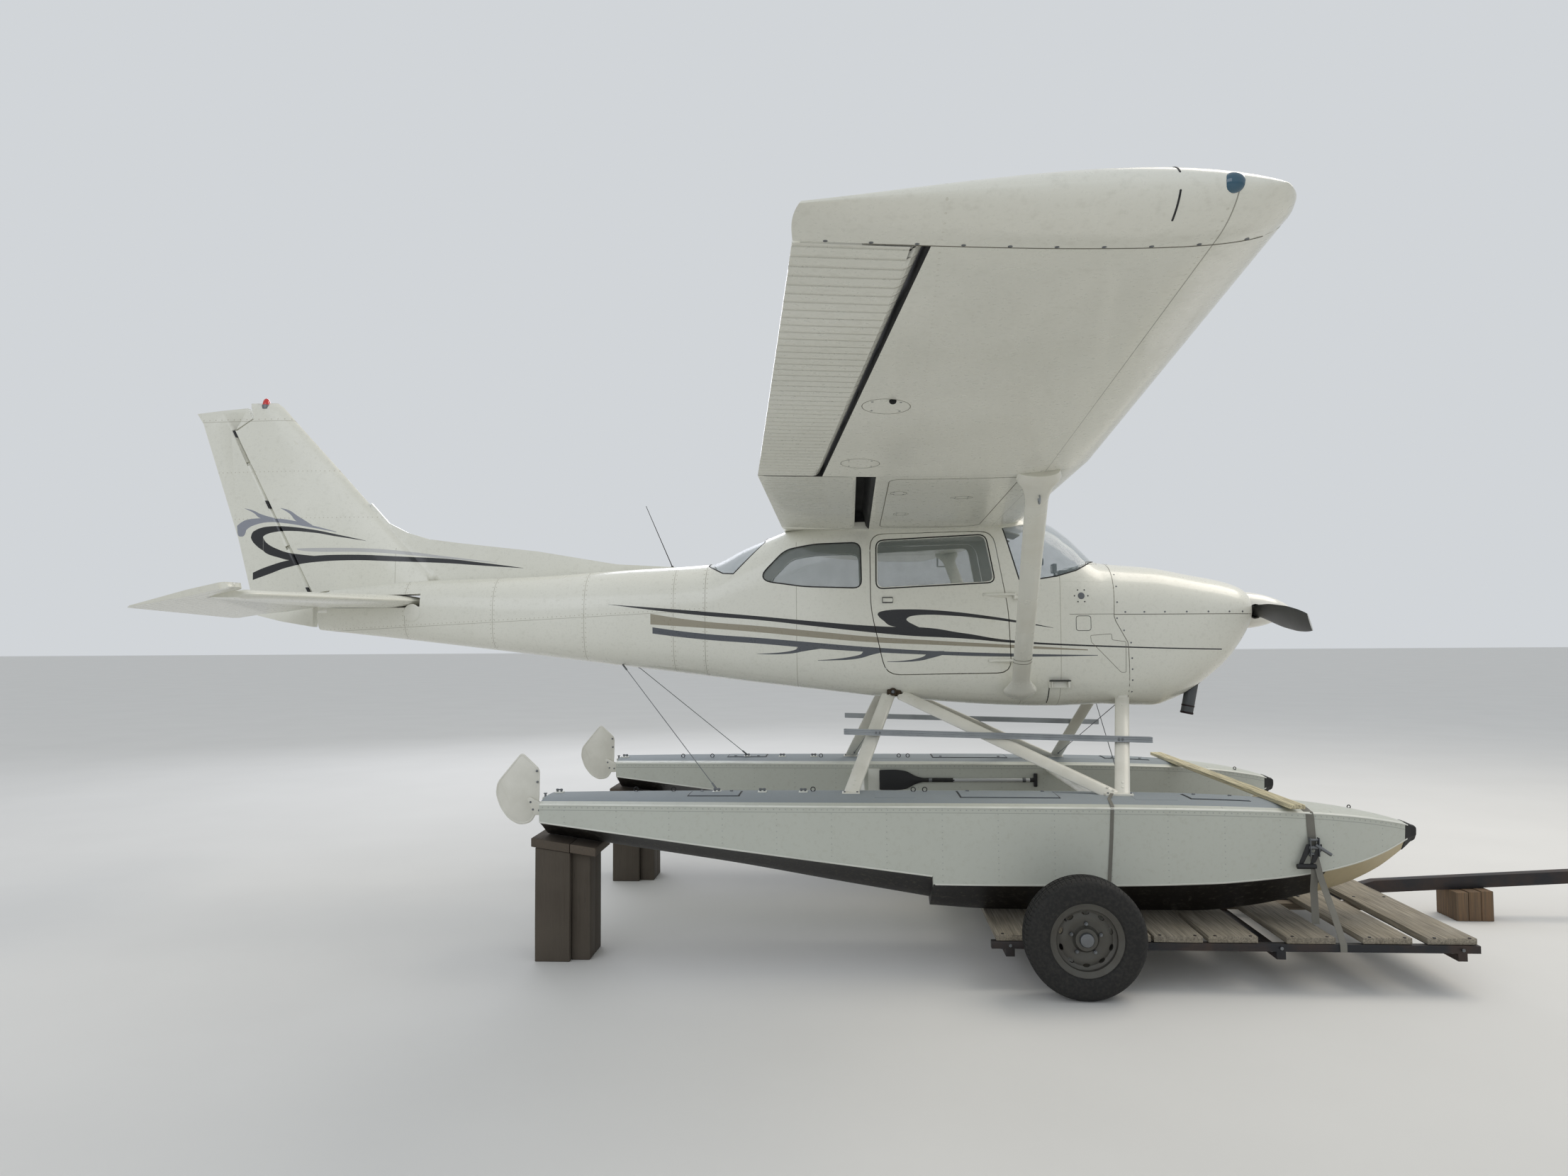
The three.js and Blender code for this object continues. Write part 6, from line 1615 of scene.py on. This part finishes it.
# A panel that follows the deck's crown, standing a little above it.
def deckPatch(bm, x0, x1, y0, y1, lift, index=0):
    rings = []
    for k in range(9):
        x = x0 + (x1 - x0) * k / 8
        spots = [y0 + (y1 - y0) * j / 8 for j in range(9)]
        top = [at(x, hullY + y, deckHeight(x, y) + lift) for y in spots]
        rings.append(top + [at(x, hullY + y, deckHeight(x, y) - 3) for y in reversed(spots)])
    return addTo(bm, loftSkin(rings), index)


deckItems = {"loops": [-1386, -1141, -238, 402, 475, 3100], "plates": [-854, -561, -299, -1880],
    "hatches": [[683, 1274, -130, 130], [-1010, -700, -100, 100], [2080, 2420, -95, 95]],
    "patches": [[150, 400, -170, 150], [1730, 1980, -150, 150]]}


def floatTrim(side, name):
    bm = bmesh.new()
    long = [-1922 + 2406 * k / 40 for k in range(41)] + [500 + 2870 * k / 60 for k in range(61)]
    for turn in (1, -1):
        rows = [(x, floatHalfRing(x)) for x in long]
        path = [at(x, hullY + turn * row[0][11][0], row[1]) for x, row in rows]
        bead(bm, path, [Vector((0, turn, 1)).normalized()] * len(path), 15, 3.2, closed=False)
        for span in ((0, 41), (41, len(long))):
            path = [at(x, hullY + turn * row[0][5][0], row[2]) for x, row in rows[span[0]:span[1]]]
            bead(bm, path, [Vector((0, turn, -0.6)).normalized()] * len(path), 13, 3, closed=False)
    for x in deckItems["plates"]:
        z = deckHeight(x, 70)
        easedBox((x - 28, hullY - 96, z - 4), (x + 28, hullY - 44, z + 7), 3, 2, bm)
        for dx in (-13, 13):
            pin(bm, (x + dx, hullY - 70, z + 4), "Z", z + 26, 7, 14, 2, ease=2)
        pin(bm, (x - 22, hullY - 70, z + 19), "X", x + 22, 5, 12, 2, ease=2)
    for x in deckItems["loops"]:
        z = deckHeight(x, 110)
        loop = 14 if x < 3000 else 10
        ring((x, hullY - 110, z + loop), loop, 3, "Y", bm, 1)
        easedBox((x - 9, hullY - 122, z - 5), (x + 9, hullY - 98, z + 4), 2, 2, bm, 2)
    for x0, x1, y0, y1 in deckItems["patches"]:
        deckPatch(bm, x0, x1, y0, y1, 1.2, 3)
    for x0, x1, y0, y1 in deckItems["hatches"]:
        deckPatch(bm, x0 - 9, x1 + 9, y0 - 9, y1 + 9, 2.2, 1)
        deckPatch(bm, x0, x1, y0, y1, 5.5, 3)
        for x in (x0 + 60, x1 - 60):
            pin(bm, (x, hullY + y0 + 30, deckHeight(x, y0 + 30) + 2), "Z", deckHeight(x, y0 + 30) + 12, 11, 16, 2,
                ease=2)
    rings, noseZ = [], 778
    for x, swell in ((3352, 0.985), (3356, 1.05), (3384, 1.06), (3408, 1.04), (3424, 0.98), (3434, 0.8),
            (3440, 0.45)):
        half, edgeZ, chineZ = floatHalfRing(min(x, 3412))
        rings.append([at(x, hullY + y * swell, noseZ + (z - noseZ) * swell) for y, z, kind in wholeRing(half)])
    addTo(bm, loftSkin(rings), 1)
    if side < 0:
        mirrorY(bm)
    finishPiece(f"floatTrim_{name}", bm, [floatTrimPaint, bumperRubber, galvanised, floatDeck],
        sharp=35)


# The raised water rudder: a cream sheet blade with a folded rim, on its arm, turning on the transom post.
def waterRudder(name, side):
    bm = bmesh.new()
    blade = rounded([(-2106, 1270), (-1989, 1163), (-1991, 985), (-2004, 890), (-2044, 822), (-2090, 808),
        (-2134, 810), (-2195, 846), (-2247, 916), (-2277, 1003), (-2268, 1072), (-2240, 1110)], 26, 4)
    y = hullY
    outlineSlab(blade, y - 3, y + 3, 1.2, bm)
    outline = spaced(blade, 30)
    for face in (-1, 1):
        path = [at(x + (-2130 - x) * 0.045, y + face * 3, z + (1030 - z) * 0.045) for x, z in outline]
        bead(bm, path, [Vector((0, face, 0))] * len(path), 9, 2)
    cheek = rounded([(-1962, 872), (-1962, 940), (-2050, 985), (-2072, 972), (-2020, 868)], 12, 3)
    for inner in (y - 12, y + 5):
        outlineSlab(cheek, inner, inner + 7, 1.5, bm)
    pin(bm, (-1952, y, 806), "Z", 1006, 7, 20, 1, ease=2)
    pin(bm, (-1952, y, 862), "Z", 962, 15, 28, 1, ease=3)
    for z in (802, 1004):
        pin(bm, (-1952, y, z), "Z", z + 6, 12, 6, 1, ease=1)
    for x, z in ((-2046, 952), (-2030, 905), (-1990, 900), (-2006, 1150), (-2002, 1080)):
        pin(bm, (x, y - 15, z), "Y", y + 15, 7, 16, 1, ease=2)
    if side < 0:
        mirrorY(bm)
    finishPiece(f"waterRudder_{name}", bm, [legPaint, galvanised], body=f"water_rudder_{name}",
        replaces=f"water_rudder_{name}")


# The boarding rail is an alloy extrusion: a shallow channel with a rib along its face and a non-slip top.
def boardingRail(name, side):
    bm = bmesh.new()
    section = [(-17, -19), (17, -19), (17, -12), (14.5, -9), (14.5, -2), (17, 0), (17, 3), (14.5, 5), (14.5, 11),
        (17, 14), (17, 19), (9, 19), (8, 17), (3, 17), (2, 19), (-3, 19), (-4, 17), (-9, 17), (-10, 19), (-17, 19)]
    ends = ((-38, 1368), (-30, 1367.8), (1964, 1312.2), (1972, 1312))
    rings = [[at(x, 750 + y * s, z + h * s) for y, h in section] for (x, z), s in zip(ends, (0.93, 1, 1, 0.93))]
    addTo(bm, loftSkin(rings))
    for x in (1768, 187):
        z = 1368 - (x + 38) * 56 / 2010
        easedBox((x - 24, 712, z - 13), (x + 24, 735, z + 13), 3, 2, bm)
        for dx in (-12, 12):
            pin(bm, (x + dx, 766, z), "Y", 772, 8, 6, 1, ease=1)
    if side < 0:
        mirrorY(bm)
    finishPiece(f"boardingRail_{name}_channel", bm, [alloy, galvanised], sharp=25,
        replaces=f"boarding_rail_{name}")


floatTrimPaint = plainFinish("FloatTrimEnamel", 0xDEDFD6, 0xB3B4AB, 0.32, wornShare=0.5)
for side, name in bothSides:
    floatTrim(side, name)
    waterRudder(name, side)
    boardingRail(name, side)

# Paddle: a moulded blade with a spine, an alloy loom with rubber sleeves and a T grip.
bm = bmesh.new()
paddleRows = smoothRows([[236, 76, 2.5], [244, 80, 4], [350, 82, 6], [440, 72, 7], [530, 30, 9], [590, 17, 14],
    [830, 16.5, 16.5]])
rings = []
for k in range(41):
    x = 236 + 594 * k / 40
    tall, spine = paddleRows(x)
    rings.append([at(x, 743 + (2.4 + (spine - 2.4) * abs(sin(t)) ** 3) * sin(t), 852 + tall * cos(t))
        for t in turns(28)])
loftSkin(rings, bm)
pin(bm, (820, 743, 853), "X", 1440, 14.5, 28, 1, ease=1)
pin(bm, (1425, 743, 853), "X", 1478, 15.6, 28, ease=2)
easedBox((146, 750, 765), (240, 764, 942), 3, 2, bm, 3)
pin(bm, (1470, 743, 800), "Z", 906, 15, 28, ease=6)
for x in (640, 1380):
    pin(bm, (x - 13, 743, 853), "X", x + 13, 18, 28, 2, ease=1.5)
    easedBox((x - 12, 752, 845), (x + 12, 762, 861), 2, 2, bm, 2)
finishPiece("clippedPaddle", bm, [darkPlastic, anodised, galvanised, floatTrimPaint],
    replaces="paddle")

# Stay wires crossed between the legs, and the steering wires from the tail to the rear decks.
bm = bmesh.new()
for side in (1, -1):
    for start, end in (((1858, 392, 1545), (1700, -1060, 1022)), ((296, 420, 1572), (30, -1042, 1026)),
            ((-854, 1024, 1024), (-1640, 205, 1806))):
        a, b = [(x, side * y, z) for x, y, z in (start, end)]
        rod(bm, a, b, 2.6, 10)
        for near, far in ((a, b), (b, a)):
            reach = (Vector(far) - Vector(near)).normalized()
            rod(bm, Vector(near) - reach * 2, Vector(near) + reach * 62, 6.5, 14, ease=2)
finishPiece("stayWires", bm, galvanised)


# Webbing along points, its width lying along X.
def webbingStrip(bm, points, width, thick, index=0):
    places = [at(*p) for p in points]
    rings = []
    for i, place in enumerate(places):
        ahead = aheadOn(places, i).normalized()
        across = Vector((1, 0, 0)) - ahead * ahead.x
        across.normalize()
        out = ahead.cross(across)
        rings.append([place + (across * a * width / 2 + out * b * thick / 2) / 1000
            for a, b in ((1, 1), (0.5, 1.15), (0, 1), (-0.5, 1.15), (-1, 1), (-1, -1), (0, -1), (1, -1))])
    return addTo(bm, loftSkin(rings), index)


# The bow strap over each deck edge, with its ratchet, and a narrow one by the front legs.
bm = bmesh.new()
for side in (1, -1):
    fresh = bmesh.new()
    beam, edgeZ = foreFloat(2706)[:2]
    over = [(2700, hullY + a, deckHeight(2700, a) + 3.5) for a in (-60, 0, 70, 140, 200, beam - 14)]
    down = [(2703, hullY + beam + 2, edgeZ + 1), (2706, hullY + beam + 4, edgeZ - 20),
        (2712, hullY + beam + 3, edgeZ - 110), (2718, hullY + beam + 4, edgeZ - 200)]
    webbingStrip(fresh, over + down, 46, 2.4)
    middle = hullY + beam
    webbingStrip(fresh, [(2724, middle + 12, 700), (2735, middle + 60, 570), (2745, middle + 170, 420),
        (2740, middle + 262, 330), (2738, middle + 300, 286), (2738, 1674, 262), (2738, 1676, 222)], 38, 2.4)
    webbingStrip(fresh, [(2716, middle + 18, 690), (2712, middle + 34, 600), (2706, middle + 26, 500),
        (2700, middle + 50, 400), (2694, middle + 70, 312)], 42, 2.0)
    for x in (2690, 2740):
        easedBox((x, middle + 6, 690), (x + 6, middle + 40, 800), 3, 2, fresh, 1)
    for z, radius in ((704, 8), (742, 12), (786, 8)):
        pin(fresh, (2686, middle + 22, z), "X", 2750, radius, 18, 1, ease=1.5)
    for x in (2684, 2748):
        outlineSlab([(x - 62, 640), (x - 40, 634), (x + 12, 732), (x + 12, 762), (x - 12, 762)],
            middle + 24, middle + 30, 1.5, fresh, 2)
    pin(fresh, (2612, middle + 32, 634), "X", 2722, 15, 22, 2, ease=4)
    rod(fresh, (2722, middle + 30, 760), (2812, middle + 30, 700), 10, 18, 1, ease=3)
    beam, edgeZ, deckZ, chineZ, chine = foreFloat(1530)[:5]
    narrow = [(1610, hullY + 60, 1022), (1570, hullY + 150, 1003), (1548, hullY + beam - 12, edgeZ + 12),
        (1544, hullY + beam + 3, edgeZ), (1536, hullY + beam + 2, 800), (1520, hullY + beam + 3, 560),
        (1514, hullY + beam + 8, chineZ - 6), (1506, 1500, 300), (1506, 1504, 262)]
    webbingStrip(fresh, narrow, 20, 2.6)
    if side < 0:
        mirrorY(fresh)
    addTo(bm, fresh, None)
finishPiece("dollyStraps", bm, [webbing, galvanised, darkPlastic], sharp=45)

print("timbers and frame")


# A copy of a CAD node with its flat faces whole again and its edges eased.
def easedCopy(node, offset, turn=28):
    bm = copyOfNode(node)
    bmesh.ops.dissolve_limit(bm, angle_limit=radians(1), verts=bm.verts, edges=bm.edges)
    sharp = [e for e in bm.edges if e.is_manifold and e.calc_face_angle() > radians(turn)]
    bmesh.ops.bevel(bm, geom=sharp, offset=offset / 1000, affect="EDGES", segments=2, profile=0.5,
        clamp_overlap=True, material=-1)
    return bm


def keelAt(x):
    return 752 - (x + 1925) * 0.1472


# The stern blocks: three upright baulks under a cap of two planks that slopes with the keel.
for side, name in bothSides:
    bm = bmesh.new()
    bm.verts.layers.float.new("boardTone")
    y = hullY
    for low, high, tone in ((-195, -66, 0.34), (-64, 64, 0.12), (66, 195, 0.5)):
        board(bm, (-1960, y + low, 1), (-1741, y + high, keelAt(-1741) - 58), tone, 1.5, 4, 1, 10, "Z")
    for low, high, tone in ((-150, -2, 0.24), (2, 150, 0.44)):
        board(bm, (-1739, y + low, 1), (-1625, y + high, keelAt(-1625) - 58), tone, 1.5, 4, 1, 10, "Z")
    for v in bm.verts:
        x, _, z = station(v.co)
        if z > 400:
            v.co.z += (keelAt(x) - keelAt(-1741 if x < -1740 else -1625)) / 1000
    for rear, front, tone in ((-1984, -1742, 0.4), (-1738, -1577, 0.7)):
        cap = bmesh.new()
        cap.verts.layers.float.new("boardTone")
        board(cap, (rear, y - 204, -55), (front, y + 204, -2), tone, 1.2, 4)
        for v in cap.verts:
            v.co.z += keelAt(station(v.co)[0]) / 1000
        addTo(bm, cap)
    if side < 0:
        mirrorY(bm)
    finishPiece(f"sternTimbers_{name}", bm, [capWood, postWood], sharp=40,
        replaces=f"stern_block_{name}")

# Short baulks under the drawbar, and the raw board across both decks.
bm = bmesh.new()
bm.verts.layers.float.new("boardTone")
for low, high, tone in ((4190, 4271, 0.5), (4274, 4356, 0.2), (4359, 4440, 0.66)):
    board(bm, (low, -129, 1), (high, 129, 169 + (low - 3700) * 0.0568), tone, 1.2, 4, 0, 8, "Z")
finishPiece("drawbarTimbers", bm, blockWood, sharp=40, replaces="tongue_block")

bm = easedCopy("crossboard", 3)
layer = bm.verts.layers.float.new("boardTone")
for v in bm.verts:
    v[layer] = 0.8
finishPiece("deckCrossboard", bm, rawWood, sharp=40, replaces="crossboard")

# The dolly's steel: worn edges, bolts through the rails, the hitch latch and its lever.
bm = easedCopy("dolly_frame", 2.5)
for x in (900, 1283, 2400, 3380):
    for side in (-1, 1):
        pin(bm, (x, side * 1674, 240), "Y", side * 1684, 10, 6, 1, ease=1)
        pin(bm, (x - 46, side * 1650, 214), "Z", 222, 9, 6, 1, ease=1)
for x in (5880, 5960):
    pin(bm, (x, -56, 345), "Y", 56, 9, 6, 1, ease=1.5)
easedBox((5850, -14, 388), (6010, 14, 400), 4, 3, bm, 1)
rod(bm, (5862, 0, 398), (5990, 0, 424), 8, 16, 1, ease=2)
rod(bm, (6040, 0, 376), (6046, 0, 404), 11, 18, 1, ease=3)
finishPiece("dollyFrame_steel", bm, [darkSteel, galvanised], sharp=35, replaces="dolly_frame")

print("cabin")

# Seat covers are a coarse tan cloth with vinyl sides; the weave is a fine crossed bump.
def seatCloth(name, code, pile):
    material, add, shader, place = newMaterial(name)
    x, y, z = add("SeparateXYZ", {0: place}).outputs
    threads = [add("Math", (axis, 0.0011), operation="PINGPONG") for axis in (x, y, z)]
    weave = add("Math", (threads[0], threads[1]), operation="ADD")
    weave = add("Math", (weave, threads[2]), operation="ADD")
    worn = add("TexNoise", {"Vector": place, "Scale": 7.0, "Detail": 5.0})
    share = add("MapRange", (worn, 0.4, 0.75, 0.0, 0.5))
    colour = overColour(add, paint(code), share, 0xA79F90)
    bump = add("Bump", {"Height": weave, "Strength": pile, "Distance": 0.4})
    feed(shader, {"Base Color": colour, "Normal": bump, "Roughness": 0.9, "Sheen Weight": 0.25})
    return material


dialFace = plainFinish("DialFace", 0x0E0F10, 0x151617, 0.18, grain=6, depth=0.00005)
seatTan = seatCloth("WovenSeatCloth", 0x8F8777, 0.7)

# Cushions swell from a slightly smaller block; cap is how far a point may move, in metres.
pad = {"round": 32, "voxel": 0.006, "pressure": 4.0, "frames": 20, "cap": 0.012, "groove": 0.006,
    "grooveWide": 0.006}


def swollen(bm, cap):
    piece, mesh = asObject("swelling", bm)
    remesh = piece.modifiers.new("even", "REMESH")
    remesh.mode, remesh.voxel_size = "VOXEL", pad["voxel"]
    bpy.context.view_layer.update()
    even = shapedMesh(piece)
    piece.modifiers.clear()
    piece.data = even
    bpy.data.meshes.remove(mesh)
    rest = [v.co.copy() for v in even.vertices]
    cloth = piece.modifiers.new("cloth", "CLOTH")
    cloth.settings.use_pressure = True
    cloth.settings.uniform_pressure_force = pad["pressure"]
    cloth.settings.effector_weights.gravity = 0
    for number in range(1, pad["frames"] + 1):
        bpy.context.scene.frame_set(number)
    held = shapedMesh(piece)
    moved = [v.co.copy() for v in held.vertices]
    bpy.data.meshes.remove(held)
    piece.modifiers.clear()
    bpy.context.scene.frame_set(1)
    for v, start, stop in zip(even.vertices, rest, moved):
        step = stop - start
        v.co = start + step * min(1, cap / max(step.length, 1e-9))
    out = bmesh.new()
    out.from_mesh(even)
    bpy.data.objects.remove(piece)
    bpy.data.meshes.remove(even)
    return out


# A cushion block in its own place, then its sewn channels pressed in across it.
def cushion(low, high, lean, channels, along):
    bm = swollen(easedBox(low, high, pad["round"], 4), pad["cap"])
    axis = "XYZ".index(along)
    a, b = at(*low), at(*high)
    middle = (a + b) / 2
    for v in bm.verts:
        for line in channels:
            spot = a[axis] + (b[axis] - a[axis]) * line
            near = exp(-((v.co[axis] - spot) / pad["grooveWide"]) ** 2)
            v.co += (middle - v.co).normalized() * pad["groove"] * near
        v.co.x -= (v.co.z - a.z) * lean
    bmesh.ops.smooth_vert(bm, verts=bm.verts, factor=0.4, use_axis_x=True, use_axis_y=True, use_axis_z=True)
    return bm


seatFrames = {"front": {"x": 420, "y": 245, "half": 215, "floor": 1590, "sides": (1, -1)},
    "rear": {"x": -470, "y": 0, "half": 390, "floor": 1638, "sides": (0,)}}
for key, seat in seatFrames.items():
    x, floorZ, half = seat["x"], seat["floor"], seat["half"] - 9
    base = cushion((x + 12, -half, floorZ + 222), (x + 490, half, floorZ + 318), 0, (0.26, 0.5, 0.74), "X")
    back = cushion((x - 18, -half, floorZ + 334), (x + 58, half, 2318), 0.145, (0.25, 0.5, 0.75), "Z")
    for place, source in (("Cushion", base), ("Back", back)):
        for side in seat["sides"]:
            name = f"{key}{place}_{'left' if side > 0 else 'right'}" if side else f"{key}{place}"
            fresh = source.copy()
            bmesh.ops.translate(fresh, verts=fresh.verts, vec=(0, side * seat["y"] / 1000, 0))
            piece = finishPiece(name, fresh, seatTan, sharp=None)
        source.free()
    for side in seat["sides"]:
        bm = bmesh.new()
        y = side * seat["y"]
        for dy in (-half * 0.8, half * 0.8):
            bentTube([(x + 450, y + dy, floorZ + 206), (x + 40, y + dy, floorZ + 206),
                (x - 8, y + dy, floorZ + 232), (x - 30, y + dy, floorZ + 330), (x - 96, y + dy, 2290)],
                11, 14, bm, 0)
            for dx in (60, 420):
                pin(bm, (x + dx, y + dy, floorZ + 36), "Z", floorZ + 206, 10, 16, ease=1)
            easedBox((x + 40, y + dy - 14, floorZ + 30), (x + 440, y + dy + 14, floorZ + 44), 3, 2, bm)
        for dx, z in ((60, floorZ + 206), (440, floorZ + 206), (-80, 2230)):
            pin(bm, (x + dx, y - half * 0.8, z), "Y", y + half * 0.8, 9, 14, ease=1)
        node = "seat_rear" if key == "rear" else f"seat_front_{'left' if side > 0 else 'right'}"
        finishPiece(f"seatFrame_{node[5:]}", bm, darkSteel, replaces=node)

# Panel, glareshield and yokes; dials and knobs stand on the panel's face.
bm = easedCopy("instrument_panel", 4)
for z in (2296, 2206):
    for y in (330, 238, 146):
        pin(bm, (1500, y, z), "X", 1491, 42, 32, ease=2)
        pin(bm, (1491.5, y, z), "X", 1490, 36, 32, 1, ease=0.5)
        rod(bm, (1490.2, y - 16, z - 10), (1489.2, y + 12, z + 16), 1.6, 6, 2)
for z in (2330, 2282, 2234, 2186):
    easedBox((1488, -84, z - 21), (1502, 84, z + 21), 2, 2, bm)
    easedBox((1486.6, -46, z - 11), (1489, 46, z + 11), 1, 1, bm, 1)
    for y in (-70, 70):
        pin(bm, (1489, y, z), "X", 1474, 9, 20, 3, ease=1.5)
for y in (-130, -178, -226, -274, -322):
    pin(bm, (1500, y, 2316), "X", 1491, 20, 24, 1, ease=1.5)
for y, index in ((20, 3), (-20, 0), (58, 3)):
    pin(bm, (1502, y, 2110), "X", 1440, 6, 14, 3)
    pin(bm, (1448, y, 2110), "X", 1426, 17, 24, index, ease=5)
finishPiece("panelAndYokes", bm, [darkPlastic, dialFace, bladeTip, galvanised], sharp=35,
    replaces="instrument_panel")

# On the glareshield: a compass on its post and a boxed receiver on an arm.
bm = bmesh.new()
pin(bm, (1566, 0, 2372), "Z", 2420, 7, 16, ease=1)
easedBox((1530, -46, 2416), (1598, 46, 2472), 8, 3, bm)
easedBox((1524, -38, 2424), (1532, 38, 2464), 3, 2, bm, 1)
pin(bm, (1395, 0, 2612), "Z", 2560, 5, 12, ease=1)
easedBox((1362, -33, 2508), (1426, 33, 2566), 14, 4, bm)
pin(bm, (1366, 0, 2537), "X", 1356, 23, 28, 1, ease=2)
bentTube([(1500, -210, 2368), (1470, -214, 2410), (1462, -216, 2452)], 8, 12, bm, 0)
easedBox((1446, -262, 2440), (1474, -170, 2506), 6, 3, bm)
easedBox((1443, -254, 2448), (1447, -178, 2498), 1.5, 1, bm, 1)
finishPiece("glareshieldBoxes", bm, [darkPlastic, dialFace])

# Sun visors on their hinge rods.
for side, name in bothSides:
    bm = bmesh.new()
    points = rounded([(1010, side * 60), (1200, side * 70), (1200, side * 400), (1010, side * 410)], 30)
    fresh = outlineSlab(points, 2742, 2750, 2, None, 0, True)
    for v in fresh.verts:
        v.co.z += (v.co.x - at(1010, 0, 0).x) * -0.25
    addTo(bm, fresh)
    pin(bm, (1012, side * 60, 2748), "Y", side * 420, 5, 12, 1, ease=1)
    finishPiece(f"sunVisor_{name}", bm, [cabinTrim, galvanised])

bm = easedCopy("engine", 3)
finishPiece("engineBlock", bm, engineMetal, sharp=35, replaces="engine")

print("studio")

studio = {"floor": 0xD6D5D2, "lens": 24.41, "spot": (-0.546, -7.866, 1.99), "yaw": 3.46, "pitch": 2.71,
    "roll": -0.38}

# Plain pale floor, far wider than the object
bm = bmesh.new()
bmesh.ops.create_grid(bm, x_segments=1, y_segments=1, size=150)
floor, floorMesh = asObject("floor", bm)
floorMaterial, add, shader, place = newMaterial("PaleFloor")
soft = add("TexNoise", {"Vector": place, "Scale": 0.8, "Detail": 4.0})
tone = add("Mix", {0: soft, 6: paint(studio["floor"]), 7: paint(0xDEDDDA)}, data_type="RGBA")
feed(shader, {"Base Color": tone.outputs[2], "Roughness": 0.85})
floorMesh.materials.append(floorMaterial)

world = bpy.data.worlds.new("studioAir")
bpy.context.scene.world = world
world.use_nodes = True
world.node_tree.nodes["Background"].inputs[0].default_value = paint(0xE2E6EA)
world.node_tree.nodes["Background"].inputs[1].default_value = 0.84


# A soft box: its place, what it faces, its size and its power.
def softBox(name, place, target, size, power, code=0xFFFFFF):
    light = bpy.data.lights.new(name, "AREA")
    light.shape = "RECTANGLE"
    light.size, light.size_y = size
    light.energy = power
    light.color = paint(code)[:3]
    lamp = bpy.data.objects.new(name, light)
    lamp.location = place
    lamp.rotation_euler = (Vector(target) - Vector(place)).to_track_quat("-Z", "Y").to_euler()
    bpy.context.scene.collection.objects.link(lamp)


softBox("keyLight", (7, 2, 11), (0, 0, 1), (7, 7), 560, 0xFFF6E8)
softBox("fillLight", (-7, -13, 7), (0, 0, 1.6), (9, 6), 230, 0xF1F5FF)
softBox("rimLight", (-6, 11, 8), (0, 0, 1.6), (8, 5), 350, 0xF4F6FF)

camera = bpy.data.cameras.new("photoCamera")
camera.lens, camera.sensor_width, camera.sensor_fit = studio["lens"], 36, "HORIZONTAL"
camera.clip_end = 500
yaw, pitch, roll = (radians(studio[key]) for key in ("yaw", "pitch", "roll"))
forward = Vector((-sin(yaw) * cos(pitch), cos(yaw) * cos(pitch), sin(pitch)))
right = Vector((cos(yaw), sin(yaw), 0))
up = right.cross(forward)
rolledRight = right * cos(roll) + up * sin(roll)
rolledUp = up * cos(roll) - right * sin(roll)
eye = bpy.data.objects.new("photoCamera", camera)
eye.matrix_world = Matrix.Translation(studio["spot"]) @ Matrix((rolledRight, rolledUp,
    -forward)).transposed().to_4x4()
bpy.context.scene.collection.objects.link(eye)
bpy.context.scene.camera = eye
bpy.context.scene.view_settings.view_transform = "Standard"

bpy.context.view_layer.update()
print("done")
